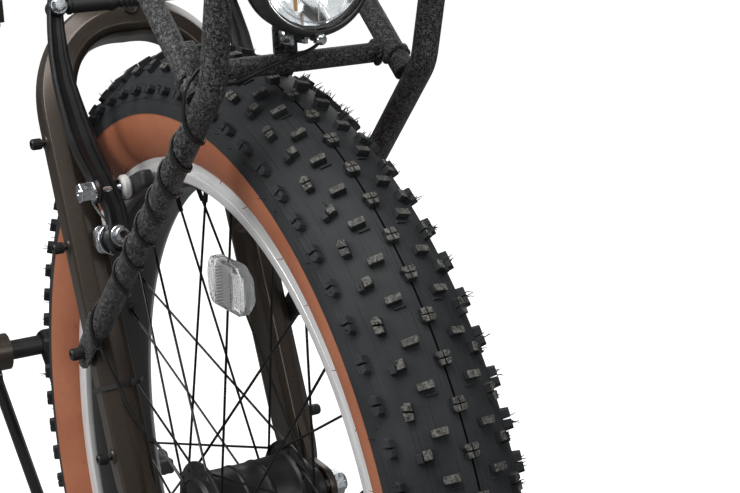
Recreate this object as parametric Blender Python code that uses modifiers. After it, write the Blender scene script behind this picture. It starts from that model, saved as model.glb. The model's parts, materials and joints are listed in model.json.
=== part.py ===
"""Folding fat-tyre bicycle, as an assembly of separate solids.

Metres, +X forward, +Y to the bike's left, +Z up. The origin is on the ground,
midway between the two axles. Run it with blender --background --python part.py
or from Blender's text editor.
"""

import math

import bmesh
import bpy
from mathutils import Matrix, Vector

# Clearances
GAP = 0.0003
BEARING_GAP = 0.0003
BORE_SLACK = 0.0001
SLEEVE_SLACK = 0.0002

# Wheels
WHEELBASE = 1.215
TYRE_SECTION_RADIUS = 0.046
TYRE_SECTION_CENTRE = 0.3188
KNOB_HEIGHT = 0.0062
KNOB_TAPER = 0.24
TYRE_WALL = 0.0045
TREAD_PITCHES = 39
TREAD_CENTRE_EDGE = 13.0
TREAD_MIDDLE_EDGE = 36.0
TREAD_SHOULDER_EDGE = 62.0
SIDEWALL_MIDDLE = 94.0
RIM_RADIUS = 0.286
RIM_WIDTH = 0.0648
RIM_TRACK_HEIGHT = 0.015
RIM_DEPTH = 0.025
RIM_FLOOR_WIDTH = 0.040
RIM_WALL = 0.003
RIM_STEPS = 30
SPOKE_COUNT = 36
SPOKE_RADIUS = 0.0011
SPOKE_SWEEP = 65.0
SPOKE_STAGGER = 0.0026
SPOKE_DISH = 0.006
SPOKE_HOLE_INSET = 0.005
FRONT_HUB_WIDTH = 0.135
REAR_HUB_WIDTH = 0.170
AXLE_RADIUS = 0.007
AXLE_NUT_RADIUS = 0.0125
AXLE_NUT_LENGTH = 0.011
AXLE_TIP = 0.004
HUB_CAP_RADIUS = 0.014
DYNAMO_RADIUS = 0.037
DYNAMO_FLANGE = 0.044
DYNAMO_RIGHT_FLANGE = 0.041
DYNAMO_COVER_RADIUS = 0.034
FRONT_FLANGE_OFFSET = 0.038
REAR_FLANGE_RADIUS = 0.032
REAR_FLANGE_OFFSET = 0.040
REAR_HUB_RADIUS = 0.021
FREEWHEEL_SEAT = 0.017
FREEWHEEL_RADIUS = 0.0235
FLANGE_THICKNESS = 0.004
REFLECTOR_ANGLE = 80.3
REFLECTOR_RADIUS = 0.1955
REFLECTOR_LENGTH = 0.050
REFLECTOR_HEIGHT = 0.046
REFLECTOR_DEPTH = 0.009
REFLECTOR_OFFSET = 0.0165
FRONT_WHEEL_TURN = 0.0

# Fork and steering
HEAD_ANGLE = 70.0
FORK_RAKE = 0.042
BLADE_SPACING = 0.0743
BLADE_WIDTH = 0.028
BLADE_DEPTH = 0.044
CROWN_CENTRE = 0.418
CROWN_THICKNESS = 0.036
CROWN_START = 0.335
CROWN_BOLT_RADIUS = 0.0032
DROPOUT_THICKNESS = 0.006
STEERER_RADIUS = 0.0143
HEAD_TUBE_BOTTOM = 0.454
HEAD_TUBE_LENGTH = 0.120
HEAD_TUBE_RADIUS = 0.0225
HEADSET_HEIGHT = 0.016
HEADSET_RADIUS = 0.0245
EYELET_FIRST = 0.0620
EYELET_SPACING = 0.0865
EYELET_COUNT = 4
RACK_EYELET = 1
EYELET_BOSS = 0.0015
EYELET_BOSS_RADIUS = 0.0055
EYELET_BOLT_RADIUS = 0.0042
EYELET_BOLT_LENGTH = 0.013

# Brakes
BRAKE_PIVOT_HEIGHT = 0.230
BRAKE_PIVOT_INSIDE_BLADE = 0.0112
REAR_BRAKE_PIVOT_SIDE = 0.0631
BRAKE_ARM_LEAD = 0.008
BRAKE_ARM_DEPTH = 0.012
BRAKE_ARM_WIDTH = 0.021
BRAKE_POST_RADIUS = 0.0050
BRAKE_COLLAR_RADIUS = 0.0085
BRAKE_PAD_HEIGHT = 0.277
BRAKE_PAD_GAP = 0.0020
BRAKE_PAD_THICKNESS = 0.011
BRAKE_PAD_LENGTH = 0.062
BRAKE_PAD_FACE = 0.012
BRAKE_PAD_NUT_RADIUS = 0.0065
BRAKE_PAD_NUT_OUT = 0.024
BRAKE_TOP = 0.4190
BRAKE_ANCHOR_OUT = 0.010
BRAKE_ANCHOR_RADIUS = 0.0055
BOOT_RADIUS = 0.0064
BOOT_RIBS = 6
BOOT_WAIST = 0.72
BOOT_FROM_ANCHOR = 0.0085
NOODLE_RADIUS = 0.0028
NOODLE_BEND = 0.022
NOODLE_OUT = 0.024
NOODLE_RISE = 0.050
# Share of the reach from the pivot to the cable, bow outwards, width
BRAKE_ARM_LINE = [
    (-0.048, 0.0000, 0.020),
    (0.000, 0.0000, 0.021),
    (0.238, 0.0066, 0.0195),
    (0.476, 0.0145, 0.018),
    (0.688, 0.0170, 0.0145),
    (0.905, 0.0134, 0.012),
    (1.058, 0.0085, 0.0125),
]

# Front rack and lamp
RACK_TUBE_RADIUS = 0.0092
RACK_BRACE_RADIUS = 0.0082
RACK_CROSS_RADIUS = 0.0072
RACK_HALF_WIDTH = 0.080
RACK_CORNER_RADIUS = 0.035
RACK_CORNER_BACK = 0.036
RACK_FOOT = (-0.080, 0.1295)
RACK_BEND = (0.1651, 0.3619)
RACK_BOLT_RADIUS = 0.0030
RACK_DECK_FRONT = 0.208
RACK_DECK_REAR = -0.024
RACK_CROSS = (0.114, 0.3655)
RACK_MIDDLE_CROSS = 0.075
RACK_REAR_INSET = 0.004
RACK_BRACE_FOOT = (0.1405, 0.3530)
RACK_PLATE_THICKNESS = 0.0025
RACK_PLATE_WIDTH = 0.034
RACK_FOOT_THICKNESS = 0.0045
RACK_STAY_THICKNESS = 0.004
RACK_STAY_WIDTH = 0.026
RACK_RING_RADIUS = 0.0215
LAMP_CENTRE = (0.160, 0.4315)
LAMP_RADIUS = 0.0450
LAMP_GLASS_RADIUS = 0.0405
LAMP_DEPTH = 0.052
LAMP_LENS_THICKNESS = 0.004
LAMP_WALL = 0.0022
LAMP_FINS = 3
LAMP_RIM_FRONT = 0.006
LAMP_GLASS_SEAT = 0.0045
LAMP_TAB_HEIGHT = 0.028
LAMP_TAB_WIDTH = 0.018
LAMP_TAB_THICKNESS = 0.003
LAMP_LUG = (0.012, 0.007, 0.016)
LAMP_LUG_BACK = 0.030
LAMP_EAR_HEIGHT = 0.014
LAMP_EAR_THICKNESS = 0.003
LAMP_BOLT_RADIUS = 0.0048
LAMP_BOLT_END = 0.0085
DECK_OVER_LAMP = 0.0235
RACK_DECK_HEIGHT = LAMP_CENTRE[1] + LAMP_RADIUS + DECK_OVER_LAMP
LEAD_RADIUS = 0.0017
LEAD_TURNS = 7
LEAD_TOP = 0.320
LEAD_PITCH = 0.0323
LEAD_LAST_PITCH = 0.085
LEAD_WIND_RADIUS = RACK_TUBE_RADIUS + LEAD_RADIUS + 0.0009
LEAD_TURN_POINTS = 10
TIE_HEIGHT = 0.1165
CONNECTOR_PLACE = (0.0, -0.0545, 0.0165)
CONNECTOR_SIZE = (0.012, 0.010, 0.012)

# Frame
HINGE_FROM_REAR_AXLE = 0.540
HINGE_PIN_OFFSET = 0.046
HINGE_PIN_RADIUS = 0.0045
HINGE_BARREL_RADIUS = 0.0095
HINGE_PLATE_THICKNESS = 0.010
HINGE_PLATE_WIDTH = 0.058
HINGE_PLATE_HEIGHT = 0.088
HINGE_GAP = 0.0006
HINGE_BARREL_INNER = 0.018
HINGE_WEB_THICKNESS = 0.0085
LATCH_PIVOT_X = 0.020
LATCH_PIVOT_Y = 0.041
LATCH_LENGTH = 0.095
LATCH_CHEEK = 0.0140
LATCH_CHEEK_THICKNESS = 0.005
LATCH_PIN_RADIUS = 0.0032
LATCH_LUG_RADIUS = 0.0080
BEAM_WIDTH = 0.044
BEAM_HEIGHT = 0.066
BEAM_ON_SEAT_TUBE = 0.420
BEAM_ON_HEAD_TUBE = 0.065
SEAT_ANGLE = 73.0
CHAINSTAY_LENGTH = 0.445
BRACKET_HEIGHT = 0.305
BRACKET_RADIUS = 0.0225
BRACKET_WIDTH = 0.100
SPINDLE_RADIUS = 0.0120
SEAT_TUBE_RADIUS = 0.0175
SEAT_TUBE_LENGTH = 0.475
SEATPOST_RADIUS = 0.0136
SEATPOST_LENGTH = 0.330
SEATPOST_SHOWN = 0.125
SEATPOST_BORE_START = 0.185
SEAT_CLAMP_WALL = 0.0045
SEAT_CLAMP_SPAN = (-0.017, 0.0015)
SEAT_EAR = (0.012, 0.022, 0.012)
SEAT_EAR_BACK = 0.003
SEAT_LEVER_SIDE = 0.0195
SEAT_LEVER_OUT = 0.0061
CHAINSTAY_RADIUS = 0.0105
SEATSTAY_RADIUS = 0.0085
CHAINSTAY_BOW = [(0.17, 0.0525), (0.31, 0.0690)]
SEATSTAY_BOW = [(0.13, 0.0600), (0.25, 0.0660), (0.60, 0.0665), (0.88, 0.0860)]
STAY_OFFSET = 0.016
STAY_TOP_DROP = 0.055
DROPOUT_SPACING = REAR_HUB_WIDTH / 2

# Drive
CHAIN_PITCH = 0.0127
RING_TEETH = 36
SPROCKET_TEETH = 16
CHAIN_LINE = 0.0700
CHAIN_WIDTH = 0.0090
CHAIN_HEIGHT = 0.0090
TOOTH_THICKNESS = 0.0024
TOOTH_ROOT = 0.0036
TOOTH_TIP = 0.0024
RING_OPENING = 0.052
SPIDER_REACH = 0.0585
CRANK_LENGTH = 0.170
CRANK_ANGLE = -60.0
CRANK_INNER = 0.092
CRANK_THICKNESS = 0.014
CRANK_STEP = 0.006
CRANK_BOSS_RADIUS = 0.019
PEDAL_LENGTH = 0.092
PEDAL_DEPTH = 0.084
PEDAL_THICKNESS = 0.018
PEDAL_AXLE_RADIUS = 0.0070
PEDAL_CORE = 0.022
PEDAL_RAIL = 0.010

# Cockpit and saddle
STEM_HEIGHT = 0.040
STEM_REACH = 0.060
STEM_RADIUS = 0.0195
STEM_CLAMP_HALF = 0.021
STEM_CLAMP_WALL = 0.0055
STEM_CLAMP_SHARE = 0.62
BAR_RADIUS = 0.0111
BAR_CLAMP_RADIUS = 0.0159
BAR_HALF_WIDTH = 0.330
BAR_RISE = 0.045
BAR_STRAIGHT = 0.175
BAR_SWEEP = 0.035
GRIP_LENGTH = 0.125
GRIP_RADIUS = 0.0165
GRIP_WALL = 0.0010
LEVER_PERCH_INSET = 0.165
LEVER_LENGTH = 0.092
LEVER_PERCH_SPACE = 0.013
LEVER_PERCH_RADIUS = 0.0165
LEVER_PIVOT_REACH = 0.034
LEVER_PIVOT_RADIUS = 0.0030
LEVER_EAR_LIFT = 0.0065
LEVER_EAR_RADIUS = 0.0065
SADDLE_LENGTH = 0.270
SADDLE_WIDTH = 0.180
SADDLE_NOSE = 0.046
SADDLE_HEIGHT = 0.052
SADDLE_LIFT = 0.032
SADDLE_NOSE_SHARE = 0.54
SADDLE_CROWN = 0.16
RAIL_HALF = 0.0110
RAIL_RADIUS = 0.0035
RAIL_SEAT = 0.010
SADDLE_CRADLE = (0.046, 0.030, 0.012)

# Centre stand
STAND_FROM_REAR_AXLE = 0.394
STAND_PIVOT_HEIGHT = 0.262
STAND_LEG_RADIUS = 0.0075
STAND_TOP_HALF = 0.045
STAND_FOOT_HALF = 0.100
STAND_FOOT_SIZE = 0.024
STAND_FOOT_THICKNESS = 0.016
STAND_FOOT_AHEAD = 0.012
STAND_PIN_RADIUS = 0.006
STAND_PIN_OUT = 0.006
STAND_BOSS_RADIUS = 0.0125
STAND_LUG_INSET = 0.008

X_AXIS = Vector((1, 0, 0))
Y_AXIS = Vector((0, 1, 0))
Z_AXIS = Vector((0, 0, 1))
TYRE_RADIUS = TYRE_SECTION_CENTRE + TYRE_SECTION_RADIUS + KNOB_HEIGHT
FRONT_AXLE = Vector((WHEELBASE / 2, 0, TYRE_RADIUS))
REAR_AXLE = Vector((-WHEELBASE / 2, 0, TYRE_RADIUS))
FRAME_HINGE_X = HINGE_FROM_REAR_AXLE - WHEELBASE / 2
STAND_PIVOT = (STAND_FROM_REAR_AXLE - WHEELBASE / 2, STAND_PIVOT_HEIGHT)
HEAD_TILT = math.radians(90 - HEAD_ANGLE)
STEER_UP = Vector((-math.sin(HEAD_TILT), 0, math.cos(HEAD_TILT)))
STEER_FORWARD = Vector((math.cos(HEAD_TILT), 0, math.sin(HEAD_TILT)))
STEER_FOOT = FRONT_AXLE - STEER_FORWARD * FORK_RAKE
BRACKET_DROP = TYRE_RADIUS - BRACKET_HEIGHT
BRACKET = REAR_AXLE + Vector(
    (math.sqrt(CHAINSTAY_LENGTH**2 - BRACKET_DROP**2), 0, -BRACKET_DROP)
)
SEAT_TILT = math.radians(90 - SEAT_ANGLE)
SEAT_UP = Vector((-math.sin(SEAT_TILT), 0, math.cos(SEAT_TILT)))
SEAT_TUBE_TOP = BRACKET + SEAT_UP * SEAT_TUBE_LENGTH
STEM_BOTTOM = HEAD_TUBE_BOTTOM + HEAD_TUBE_LENGTH + HEADSET_HEIGHT + 2 * GAP

STAY_TOP = BRACKET + SEAT_UP * (SEAT_TUBE_LENGTH - STAY_TOP_DROP)
STAY_REACH = (STAY_TOP - REAR_AXLE).length
STAY_ANGLE = math.atan2(
    STAY_TOP.z - REAR_AXLE.z, STAY_TOP.x - REAR_AXLE.x
) + math.asin(STAY_OFFSET / STAY_REACH)
STAY_UP = Vector((math.cos(STAY_ANGLE), 0, math.sin(STAY_ANGLE)))
STAY_OUT = Vector((-STAY_UP.z, 0, STAY_UP.x))
CONNECTOR = FRONT_AXLE + Vector(CONNECTOR_PLACE)
MATERIALS = {
    "bronze_paint": ((0.060, 0.043, 0.034), 0.34, 0.55),
    "black_paint": ((0.012, 0.012, 0.013), 0.45, 0.10),
    "black_rack": ((0.020, 0.020, 0.021), 0.42, 0.20),
    "black_alloy": ((0.015, 0.015, 0.016), 0.38, 0.40),
    "bright_steel": ((0.62, 0.64, 0.66), 0.24, 1.00),
    "rim_alloy": ((0.66, 0.66, 0.66), 0.28, 1.00),
    "tyre": ((0.022, 0.023, 0.024), 0.72, 0.00),
    "rubber": ((0.014, 0.014, 0.014), 0.62, 0.00),
    "plastic": ((0.016, 0.016, 0.016), 0.50, 0.00),
    "clear": ((0.86, 0.87, 0.87), 0.08, 0.00),
    "reflector": ((0.80, 0.81, 0.82), 0.10, 0.90),
    "saddle_cover": ((0.018, 0.017, 0.016), 0.60, 0.00),
}


# Scene helpers


def clear_scene():
    for thing in list(bpy.data.objects):
        bpy.data.objects.remove(thing, do_unlink=True)


def make_collection(name):
    collection = bpy.data.collections.new(name)
    bpy.context.scene.collection.children.link(collection)
    return collection


def make_material(name):
    colour, roughness, metallic = MATERIALS[name]
    material = bpy.data.materials.new(name)
    material.use_nodes = True
    shader = material.node_tree.nodes["Principled BSDF"]
    shader.inputs["Base Color"].default_value = (*colour, 1.0)
    shader.inputs["Roughness"].default_value = roughness
    shader.inputs["Metallic"].default_value = metallic
    material.diffuse_color = (*colour, 1.0)
    return material


def add_object(name, data):
    thing = bpy.data.objects.new(name, data)
    WORKSHOP.objects.link(thing)
    return thing


def mesh_from(name, bm):
    bmesh.ops.recalc_face_normals(bm, faces=bm.faces)
    mesh = bpy.data.meshes.new(name)
    bm.to_mesh(mesh)
    bm.free()
    return add_object(name, mesh)


def bake(thing):
    """The object as its modifiers leave it: one closed mesh in world space."""
    bpy.context.view_layer.update()
    evaluated = thing.evaluated_get(bpy.context.evaluated_depsgraph_get())
    mesh = bpy.data.meshes.new_from_object(evaluated)
    mesh.transform(thing.matrix_world)
    bm = bmesh.new()
    bm.from_mesh(mesh)
    bmesh.ops.remove_doubles(bm, verts=bm.verts, dist=0.000002)
    bmesh.ops.recalc_face_normals(bm, faces=bm.faces)
    bm.to_mesh(mesh)
    bm.free()
    name = thing.name
    bpy.data.objects.remove(thing, do_unlink=True)
    return add_object(name, mesh)


def combine(base, others, operation):
    """Boolean each of the other solids with the base, and leave one solid."""
    for other in others:
        step = base.modifiers.new(operation.lower(), "BOOLEAN")
        step.operation = operation
        step.object = other
        step.solver = "EXACT"
    result = bake(base)
    for other in others:
        bpy.data.objects.remove(other, do_unlink=True)
    return result


def fuse(*solids):
    return combine(solids[0], solids[1:], "UNION")


def cut(base, *cutters):
    for cutter in cutters:
        cutter.hide_render = True
        cutter.display_type = "WIRE"
    return combine(base, cutters, "DIFFERENCE")


def bevel(solid, width, segments=1, angle=40.0):
    step = solid.modifiers.new("rounded edges", "BEVEL")
    step.width = width
    step.segments = segments
    step.limit_method = "ANGLE"
    step.angle_limit = math.radians(angle)
    return bake(solid)


def finish(name, solid, material, body, smooth_angle=35.0):
    """Give a finished solid its node's name, material, shading and body."""
    solid.name = name
    solid.data.name = name
    solid.data.materials.clear()
    solid.data.materials.append(PALETTE[material])
    solid.data.shade_smooth()
    solid.data.set_sharp_from_angle(angle=math.radians(smooth_angle))
    WORKSHOP.objects.unlink(solid)
    PART.objects.link(solid)
    pivot = PIVOTS[body]
    solid.data.transform(Matrix.Translation(-pivot.location))
    solid.parent = pivot
    return solid


def add_pivot(body, place):
    """An empty on the joint axis of a body, which carries the body's solids."""
    empty = bpy.data.objects.new(body + "_axis", None)
    empty.empty_display_size = 0.03
    empty.location = place
    PART.objects.link(empty)
    PIVOTS[body] = empty


# Shape helpers


def aligned(direction, place):
    turn = Vector(direction).to_track_quat("Z", "Y").to_matrix().to_4x4()
    return Matrix.Translation(place) @ turn


def cone(start, end, start_radius, end_radius, segments=16):
    start, end = Vector(start), Vector(end)
    bm = bmesh.new()
    bmesh.ops.create_cone(
        bm,
        cap_ends=True,
        segments=segments,
        radius1=start_radius,
        radius2=end_radius,
        depth=(end - start).length,
        matrix=aligned(end - start, (start + end) / 2),
    )
    return mesh_from("cone", bm)


def cylinder(start, end, radius, segments=16):
    return cone(start, end, radius, radius, segments)


def box(size, centre, turn=None):
    bm = bmesh.new()
    bmesh.ops.create_cube(bm, size=1.0)
    bmesh.ops.scale(bm, vec=size, verts=bm.verts)
    matrix = Matrix.Translation(centre)
    if turn is not None:
        matrix = matrix @ turn.to_4x4()
    bmesh.ops.transform(bm, matrix=matrix, verts=bm.verts)
    return mesh_from("box", bm)


def turned(profile, place, direction, steps):
    """A closed loop of (radius, height) points turned about an axis."""
    mesh = bpy.data.meshes.new("turned")
    points = [(radius, 0.0, height) for radius, height in profile]
    edges = [(i, (i + 1) % len(points)) for i in range(len(points))]
    mesh.from_pydata(points, edges, [])
    thing = add_object("turned", mesh)
    step = thing.modifiers.new("turn", "SCREW")
    step.steps = steps
    step.render_steps = steps
    step.use_merge_vertices = True
    step.merge_threshold = 0.00001
    thing.matrix_world = aligned(direction, place)
    return bake(thing)


def solid_of_revolution(profile, place, direction, steps):
    """An open (radius, height) profile that starts and ends on the axis."""
    mesh = bpy.data.meshes.new("turned")
    points = [(radius, 0.0, height) for radius, height in profile]
    edges = [(i, i + 1) for i in range(len(points) - 1)]
    mesh.from_pydata(points, edges, [])
    thing = add_object("turned", mesh)
    step = thing.modifiers.new("turn", "SCREW")
    step.steps = steps
    step.render_steps = steps
    step.use_merge_vertices = True
    step.merge_threshold = 0.00001
    thing.matrix_world = aligned(direction, place)
    return bake(thing)


def tube(points, radius, resolution=2, radii=None):
    """A round bar along a list of points, with flat ends."""
    curve = bpy.data.curves.new("tube", "CURVE")
    curve.dimensions = "3D"
    curve.bevel_depth = radius
    curve.bevel_resolution = resolution
    curve.use_fill_caps = True
    spline = curve.splines.new("POLY")
    spline.points.add(len(points) - 1)
    for i, point in enumerate(points):
        spline.points[i].co = (*point, 1.0)
        spline.points[i].radius = radii[i] / radius if radii else 1.0
    return bake(add_object("tube", curve))


def rounded(points, radius, steps=4):
    """A path with each inner corner replaced by an arc."""
    points = [Vector(p) for p in points]
    path = [points[0]]
    for before, corner, after in zip(points, points[1:], points[2:]):
        into = (before - corner).normalized()
        out = (after - corner).normalized()
        half = into.angle(out) / 2
        reach = radius / math.tan(half)
        centre = corner + (into + out).normalized() * radius / math.sin(half)
        first = corner + into * reach - centre
        last = corner + out * reach - centre
        for i in range(steps + 1):
            path.append(centre + first.slerp(last, i / steps) * radius)
    path.append(points[-1])
    return path


def smooth_path(points, samples):
    """Points on a Catmull-Rom curve through the given points."""
    points = [Vector(p) for p in points]
    points = [2 * points[0] - points[1], *points, 2 * points[-1] - points[-2]]
    path = []
    for a, b, c, d in zip(points, points[1:], points[2:], points[3:]):
        for i in range(samples):
            t = i / samples
            path.append(
                0.5
                * (
                    2 * b
                    + (c - a) * t
                    + (2 * a - 5 * b + 4 * c - d) * t * t
                    + (3 * b - a - 3 * c + d) * t**3
                )
            )
    path.append(points[-2])
    return path


def squircle(width, depth, power=3.0, count=12):
    """A rounded rectangle's outline, between an ellipse and a box."""
    outline = []
    for i in range(count):
        angle = 2 * math.pi * (i + 0.5) / count
        c, s = math.cos(angle), math.sin(angle)
        outline.append(
            (
                math.copysign(abs(c) ** (2 / power), c) * width / 2,
                math.copysign(abs(s) ** (2 / power), s) * depth / 2,
            )
        )
    return outline


def loft(rings):
    """A closed solid through a list of rings of points."""
    bm = bmesh.new()
    layers = [[bm.verts.new(p) for p in ring] for ring in rings]
    count = len(layers[0])
    for low, high in zip(layers, layers[1:]):
        for i in range(count):
            j = (i + 1) % count
            bm.faces.new((low[i], low[j], high[j], high[i]))
    bm.faces.new(layers[0])
    bm.faces.new(layers[-1])
    return mesh_from("loft", bm)


def bar_along(centres, widths, depths, depth_axis, power=3.0, count=12):
    """A bar whose section turns with its path, square to depth_axis."""
    centres = [Vector(c) for c in centres]
    depth_axis = Vector(depth_axis).normalized()
    rings = []
    for i, centre in enumerate(centres):
        before = centres[max(i - 1, 0)]
        after = centres[min(i + 1, len(centres) - 1)]
        side = depth_axis.cross(after - before).normalized()
        outline = squircle(widths[i], depths[i], power, count)
        rings.append([centre + side * u + depth_axis * v for u, v in outline])
    return loft(rings)


def plate(outline, origin, u_axis, v_axis, thickness):
    """A flat outline in the u, v plane, with its thickness centred on it."""
    u_axis, v_axis = Vector(u_axis).normalized(), Vector(v_axis).normalized()
    normal = u_axis.cross(v_axis)
    origin = Vector(origin)
    rings = [
        [origin + u_axis * u + v_axis * v + normal * side for u, v in outline]
        for side in (-thickness / 2, thickness / 2)
    ]
    return loft(rings)


def arc(centre, radius, start, end, steps):
    """Points on an arc in two dimensions, angles in degrees."""
    points = []
    for i in range(steps + 1):
        angle = math.radians(start + (end - start) * i / steps)
        points.append(
            (
                centre[0] + radius * math.cos(angle),
                centre[1] + radius * math.sin(angle),
            )
        )
    return points


def mirrored(solid):
    """The other side's copy of a solid, mirrored in the bike's mid-plane."""
    bm = bmesh.new()
    bm.from_mesh(solid.data)
    bmesh.ops.scale(bm, vec=(1, -1, 1), verts=bm.verts)
    bmesh.ops.reverse_faces(bm, faces=bm.faces)
    return mesh_from("mirrored", bm)


def steer(height, forward, side):
    """A point in the fork's own frame: up the steering axis, forward, left."""
    return (
        STEER_FOOT + STEER_UP * height + STEER_FORWARD * forward + Y_AXIS * side
    )


def by_axle(forward, side, height):
    """A point given from the front axle."""
    return FRONT_AXLE + Vector((forward, side, height))


# Wheels


def make_tyre():
    """A fat tyre about the origin: casing with staggered rows of knobs."""
    r, centre = TYRE_SECTION_RADIUS, TYRE_SECTION_CENTRE
    bead_radius = (RIM_RADIUS + GAP) / math.cos(math.pi / TREAD_PITCHES)
    bead_side = RIM_WIDTH / 2 - RIM_WALL / 2
    half = [
        TREAD_CENTRE_EDGE,
        TREAD_MIDDLE_EDGE,
        TREAD_SHOULDER_EDGE,
        SIDEWALL_MIDDLE,
    ]
    profile = [(bead_radius, -bead_side)]
    for angle in [-a for a in reversed(half)] + half:
        turn = math.radians(angle)
        profile.append((centre + r * math.cos(turn), r * math.sin(turn)))
    profile.append((bead_radius, bead_side))
    profile.append((centre + r - TYRE_WALL, 0.0))
    steps = 2 * TREAD_PITCHES
    bm = bmesh.new()
    rings = []
    for i in range(steps):
        # the cell that starts at ring 0 is centred on the lowest point
        turn = 2 * math.pi * (i - 0.5) / steps - math.pi / 2
        rings.append([Vector((q * math.cos(turn), y, q * math.sin(turn))) for q, y in profile])
    tread = range(2, len(profile) - 4)
    verts = {}
    for i in range(steps):
        for j, point in enumerate(rings[i]):
            if i % 2 == 0 or j in tread or j == tread.stop:
                verts[i, j] = bm.verts.new(point)
    knobs = []
    middle = tread.start + len(tread) // 2
    for i in range(steps):
        for j in tread:
            k = (i + 1) % steps
            face = bm.faces.new((verts[i, j], verts[i, j + 1], verts[k, j + 1], verts[k, j]))
            if i % 2 == abs(j - middle) % 2:
                knobs.append(face)
    for i in range(0, steps, 2):
        near, far = i + 1, (i + 2) % steps
        j = tread.start
        bm.faces.new(
            (verts[i, j - 1], verts[i, j], verts[near, j], verts[far, j], verts[far, j - 1])
        )
        j = tread.stop
        bm.faces.new(
            (verts[i, j + 1], verts[far, j + 1], verts[far, j], verts[near, j], verts[i, j])
        )
        for j in (0, len(profile) - 3, len(profile) - 2, len(profile) - 1):
            k = (j + 1) % len(profile)
            bm.faces.new((verts[i, j], verts[i, k], verts[far, k], verts[far, j]))
    bmesh.ops.recalc_face_normals(bm, faces=bm.faces)
    for face in knobs:
        middle_point = face.calc_center_median()
        spoke = Vector((middle_point.x, 0, middle_point.z)).normalized()
        outward = (middle_point - spoke * centre).normalized()
        top = bmesh.ops.extrude_discrete_faces(bm, faces=[face])["faces"][0]
        for vert in top.verts:
            vert.co += (middle_point - vert.co) * KNOB_TAPER
            vert.co += outward * KNOB_HEIGHT
            limit = TYRE_RADIUS / math.hypot(vert.co.x, vert.co.z)
            if limit < 1:
                vert.co.x *= limit
                vert.co.z *= limit
    return mesh_from("tyre", bm)


def make_rim():
    """A wide double-flanged rim about the origin."""
    edge, half = RIM_RADIUS, RIM_WIDTH / 2
    floor = RIM_FLOOR_WIDTH / 2
    track = edge - RIM_TRACK_HEIGHT
    inner = edge - RIM_DEPTH
    profile = [
        (edge, half),
        (track, half),
        (inner, floor),
        (inner, -floor),
        (track, -half),
        (edge, -half),
        (edge, -half + RIM_WALL),
        (inner + RIM_WALL, -floor),
        (inner + RIM_WALL, floor),
        (edge, half - RIM_WALL),
    ]
    return turned(profile, (0, 0, 0), Y_AXIS, RIM_STEPS)


def spoke_lines(flange_offset, hole_radius, dish=SPOKE_DISH):
    """Each spoke's two ends about the hub: hub end, then rim end."""
    rim_end = (RIM_RADIUS - RIM_DEPTH) * math.cos(math.pi / RIM_STEPS) - 2 * GAP
    lines = []
    per_side = SPOKE_COUNT // 2
    for side in (-1, 1):
        for k in range(per_side):
            lead = 1 if k % 2 == 0 else -1
            hole = 360 / per_side * (k + (1 if side > 0 else 0))
            rim = hole + lead * SPOKE_SWEEP
            start = polar(hole, hole_radius)
            start.y = side * (flange_offset + lead * SPOKE_STAGGER)
            end = polar(rim, rim_end)
            end.y = side * dish
            lines.append((start, end))
    return lines


def polar(degrees, radius):
    turn = math.radians(degrees)
    return Vector((radius * math.cos(turn), 0, radius * math.sin(turn)))


def spoke_bundle(lines, radius, sides=3):
    bm = bmesh.new()
    for start, end in lines:
        direction = (end - start).normalized()
        tail = start - direction * 0.002
        bmesh.ops.create_cone(
            bm,
            cap_ends=True,
            segments=sides,
            radius1=radius,
            radius2=radius,
            depth=(end - tail).length,
            matrix=aligned(direction, (tail + end) / 2),
        )
    return mesh_from("spokes", bm)


def make_front_hub():
    """The dynamo hub's turning shell with its spokes, about the origin."""
    bore = AXLE_RADIUS + BEARING_GAP + BORE_SLACK
    flange = DYNAMO_FLANGE
    shell = DYNAMO_RADIUS
    offset = FRONT_FLANGE_OFFSET
    thick = FLANGE_THICKNESS + 2 * SPOKE_STAGGER
    end = FRONT_HUB_WIDTH / 2 - DROPOUT_THICKNESS / 2
    profile = [
        (bore, end),
        (HUB_CAP_RADIUS, end),
        (0.024, offset + thick / 2 + 0.004),
        (DYNAMO_RIGHT_FLANGE, offset + thick / 2),
        (DYNAMO_RIGHT_FLANGE, offset - thick / 2),
        (shell - 0.002, offset - thick / 2 - 0.010),
        (shell, -offset + thick / 2 + 0.006),
        (flange, -offset + thick / 2),
        (flange, -offset - thick / 2),
        (DYNAMO_COVER_RADIUS, -offset - thick / 2 - 0.003),
        (bore, -offset - thick / 2 - 0.003),
    ]
    hub = turned(profile, (0, 0, 0), Y_AXIS, 16)
    spokes = spoke_bundle(spoke_lines(offset, flange - SPOKE_HOLE_INSET), SPOKE_RADIUS)
    return fuse(hub, spokes)


def make_rear_hub():
    """The rear hub shell with its spokes and the freewheel's seat."""
    bore = AXLE_RADIUS + BEARING_GAP + BORE_SLACK
    flange = REAR_FLANGE_RADIUS
    offset = REAR_FLANGE_OFFSET
    thick = FLANGE_THICKNESS + 2 * SPOKE_STAGGER
    end = REAR_HUB_WIDTH / 2 - 0.003
    profile = [
        (bore, end),
        (0.015, end),
        (flange, offset + thick / 2),
        (flange, offset - thick / 2),
        (REAR_HUB_RADIUS, offset - thick / 2 - 0.008),
        (REAR_HUB_RADIUS, -offset + thick / 2 + 0.008),
        (flange, -offset + thick / 2),
        (flange, -offset - thick / 2),
        (FREEWHEEL_SEAT, -offset - thick / 2 - 0.004),
        (FREEWHEEL_SEAT, -end),
        (bore, -end),
    ]
    hub = turned(profile, (0, 0, 0), Y_AXIS, 16)
    spokes = spoke_bundle(spoke_lines(offset, flange - SPOKE_HOLE_INSET), SPOKE_RADIUS)
    return fuse(hub, spokes)


def moved(solid, offset):
    solid.data.transform(Matrix.Translation(offset))
    return solid


def spun(solid, degrees):
    """A wheel part turned about its own axle, before it is placed."""
    solid.data.transform(Matrix.Rotation(math.radians(-degrees), 4, "Y"))
    return solid


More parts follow.
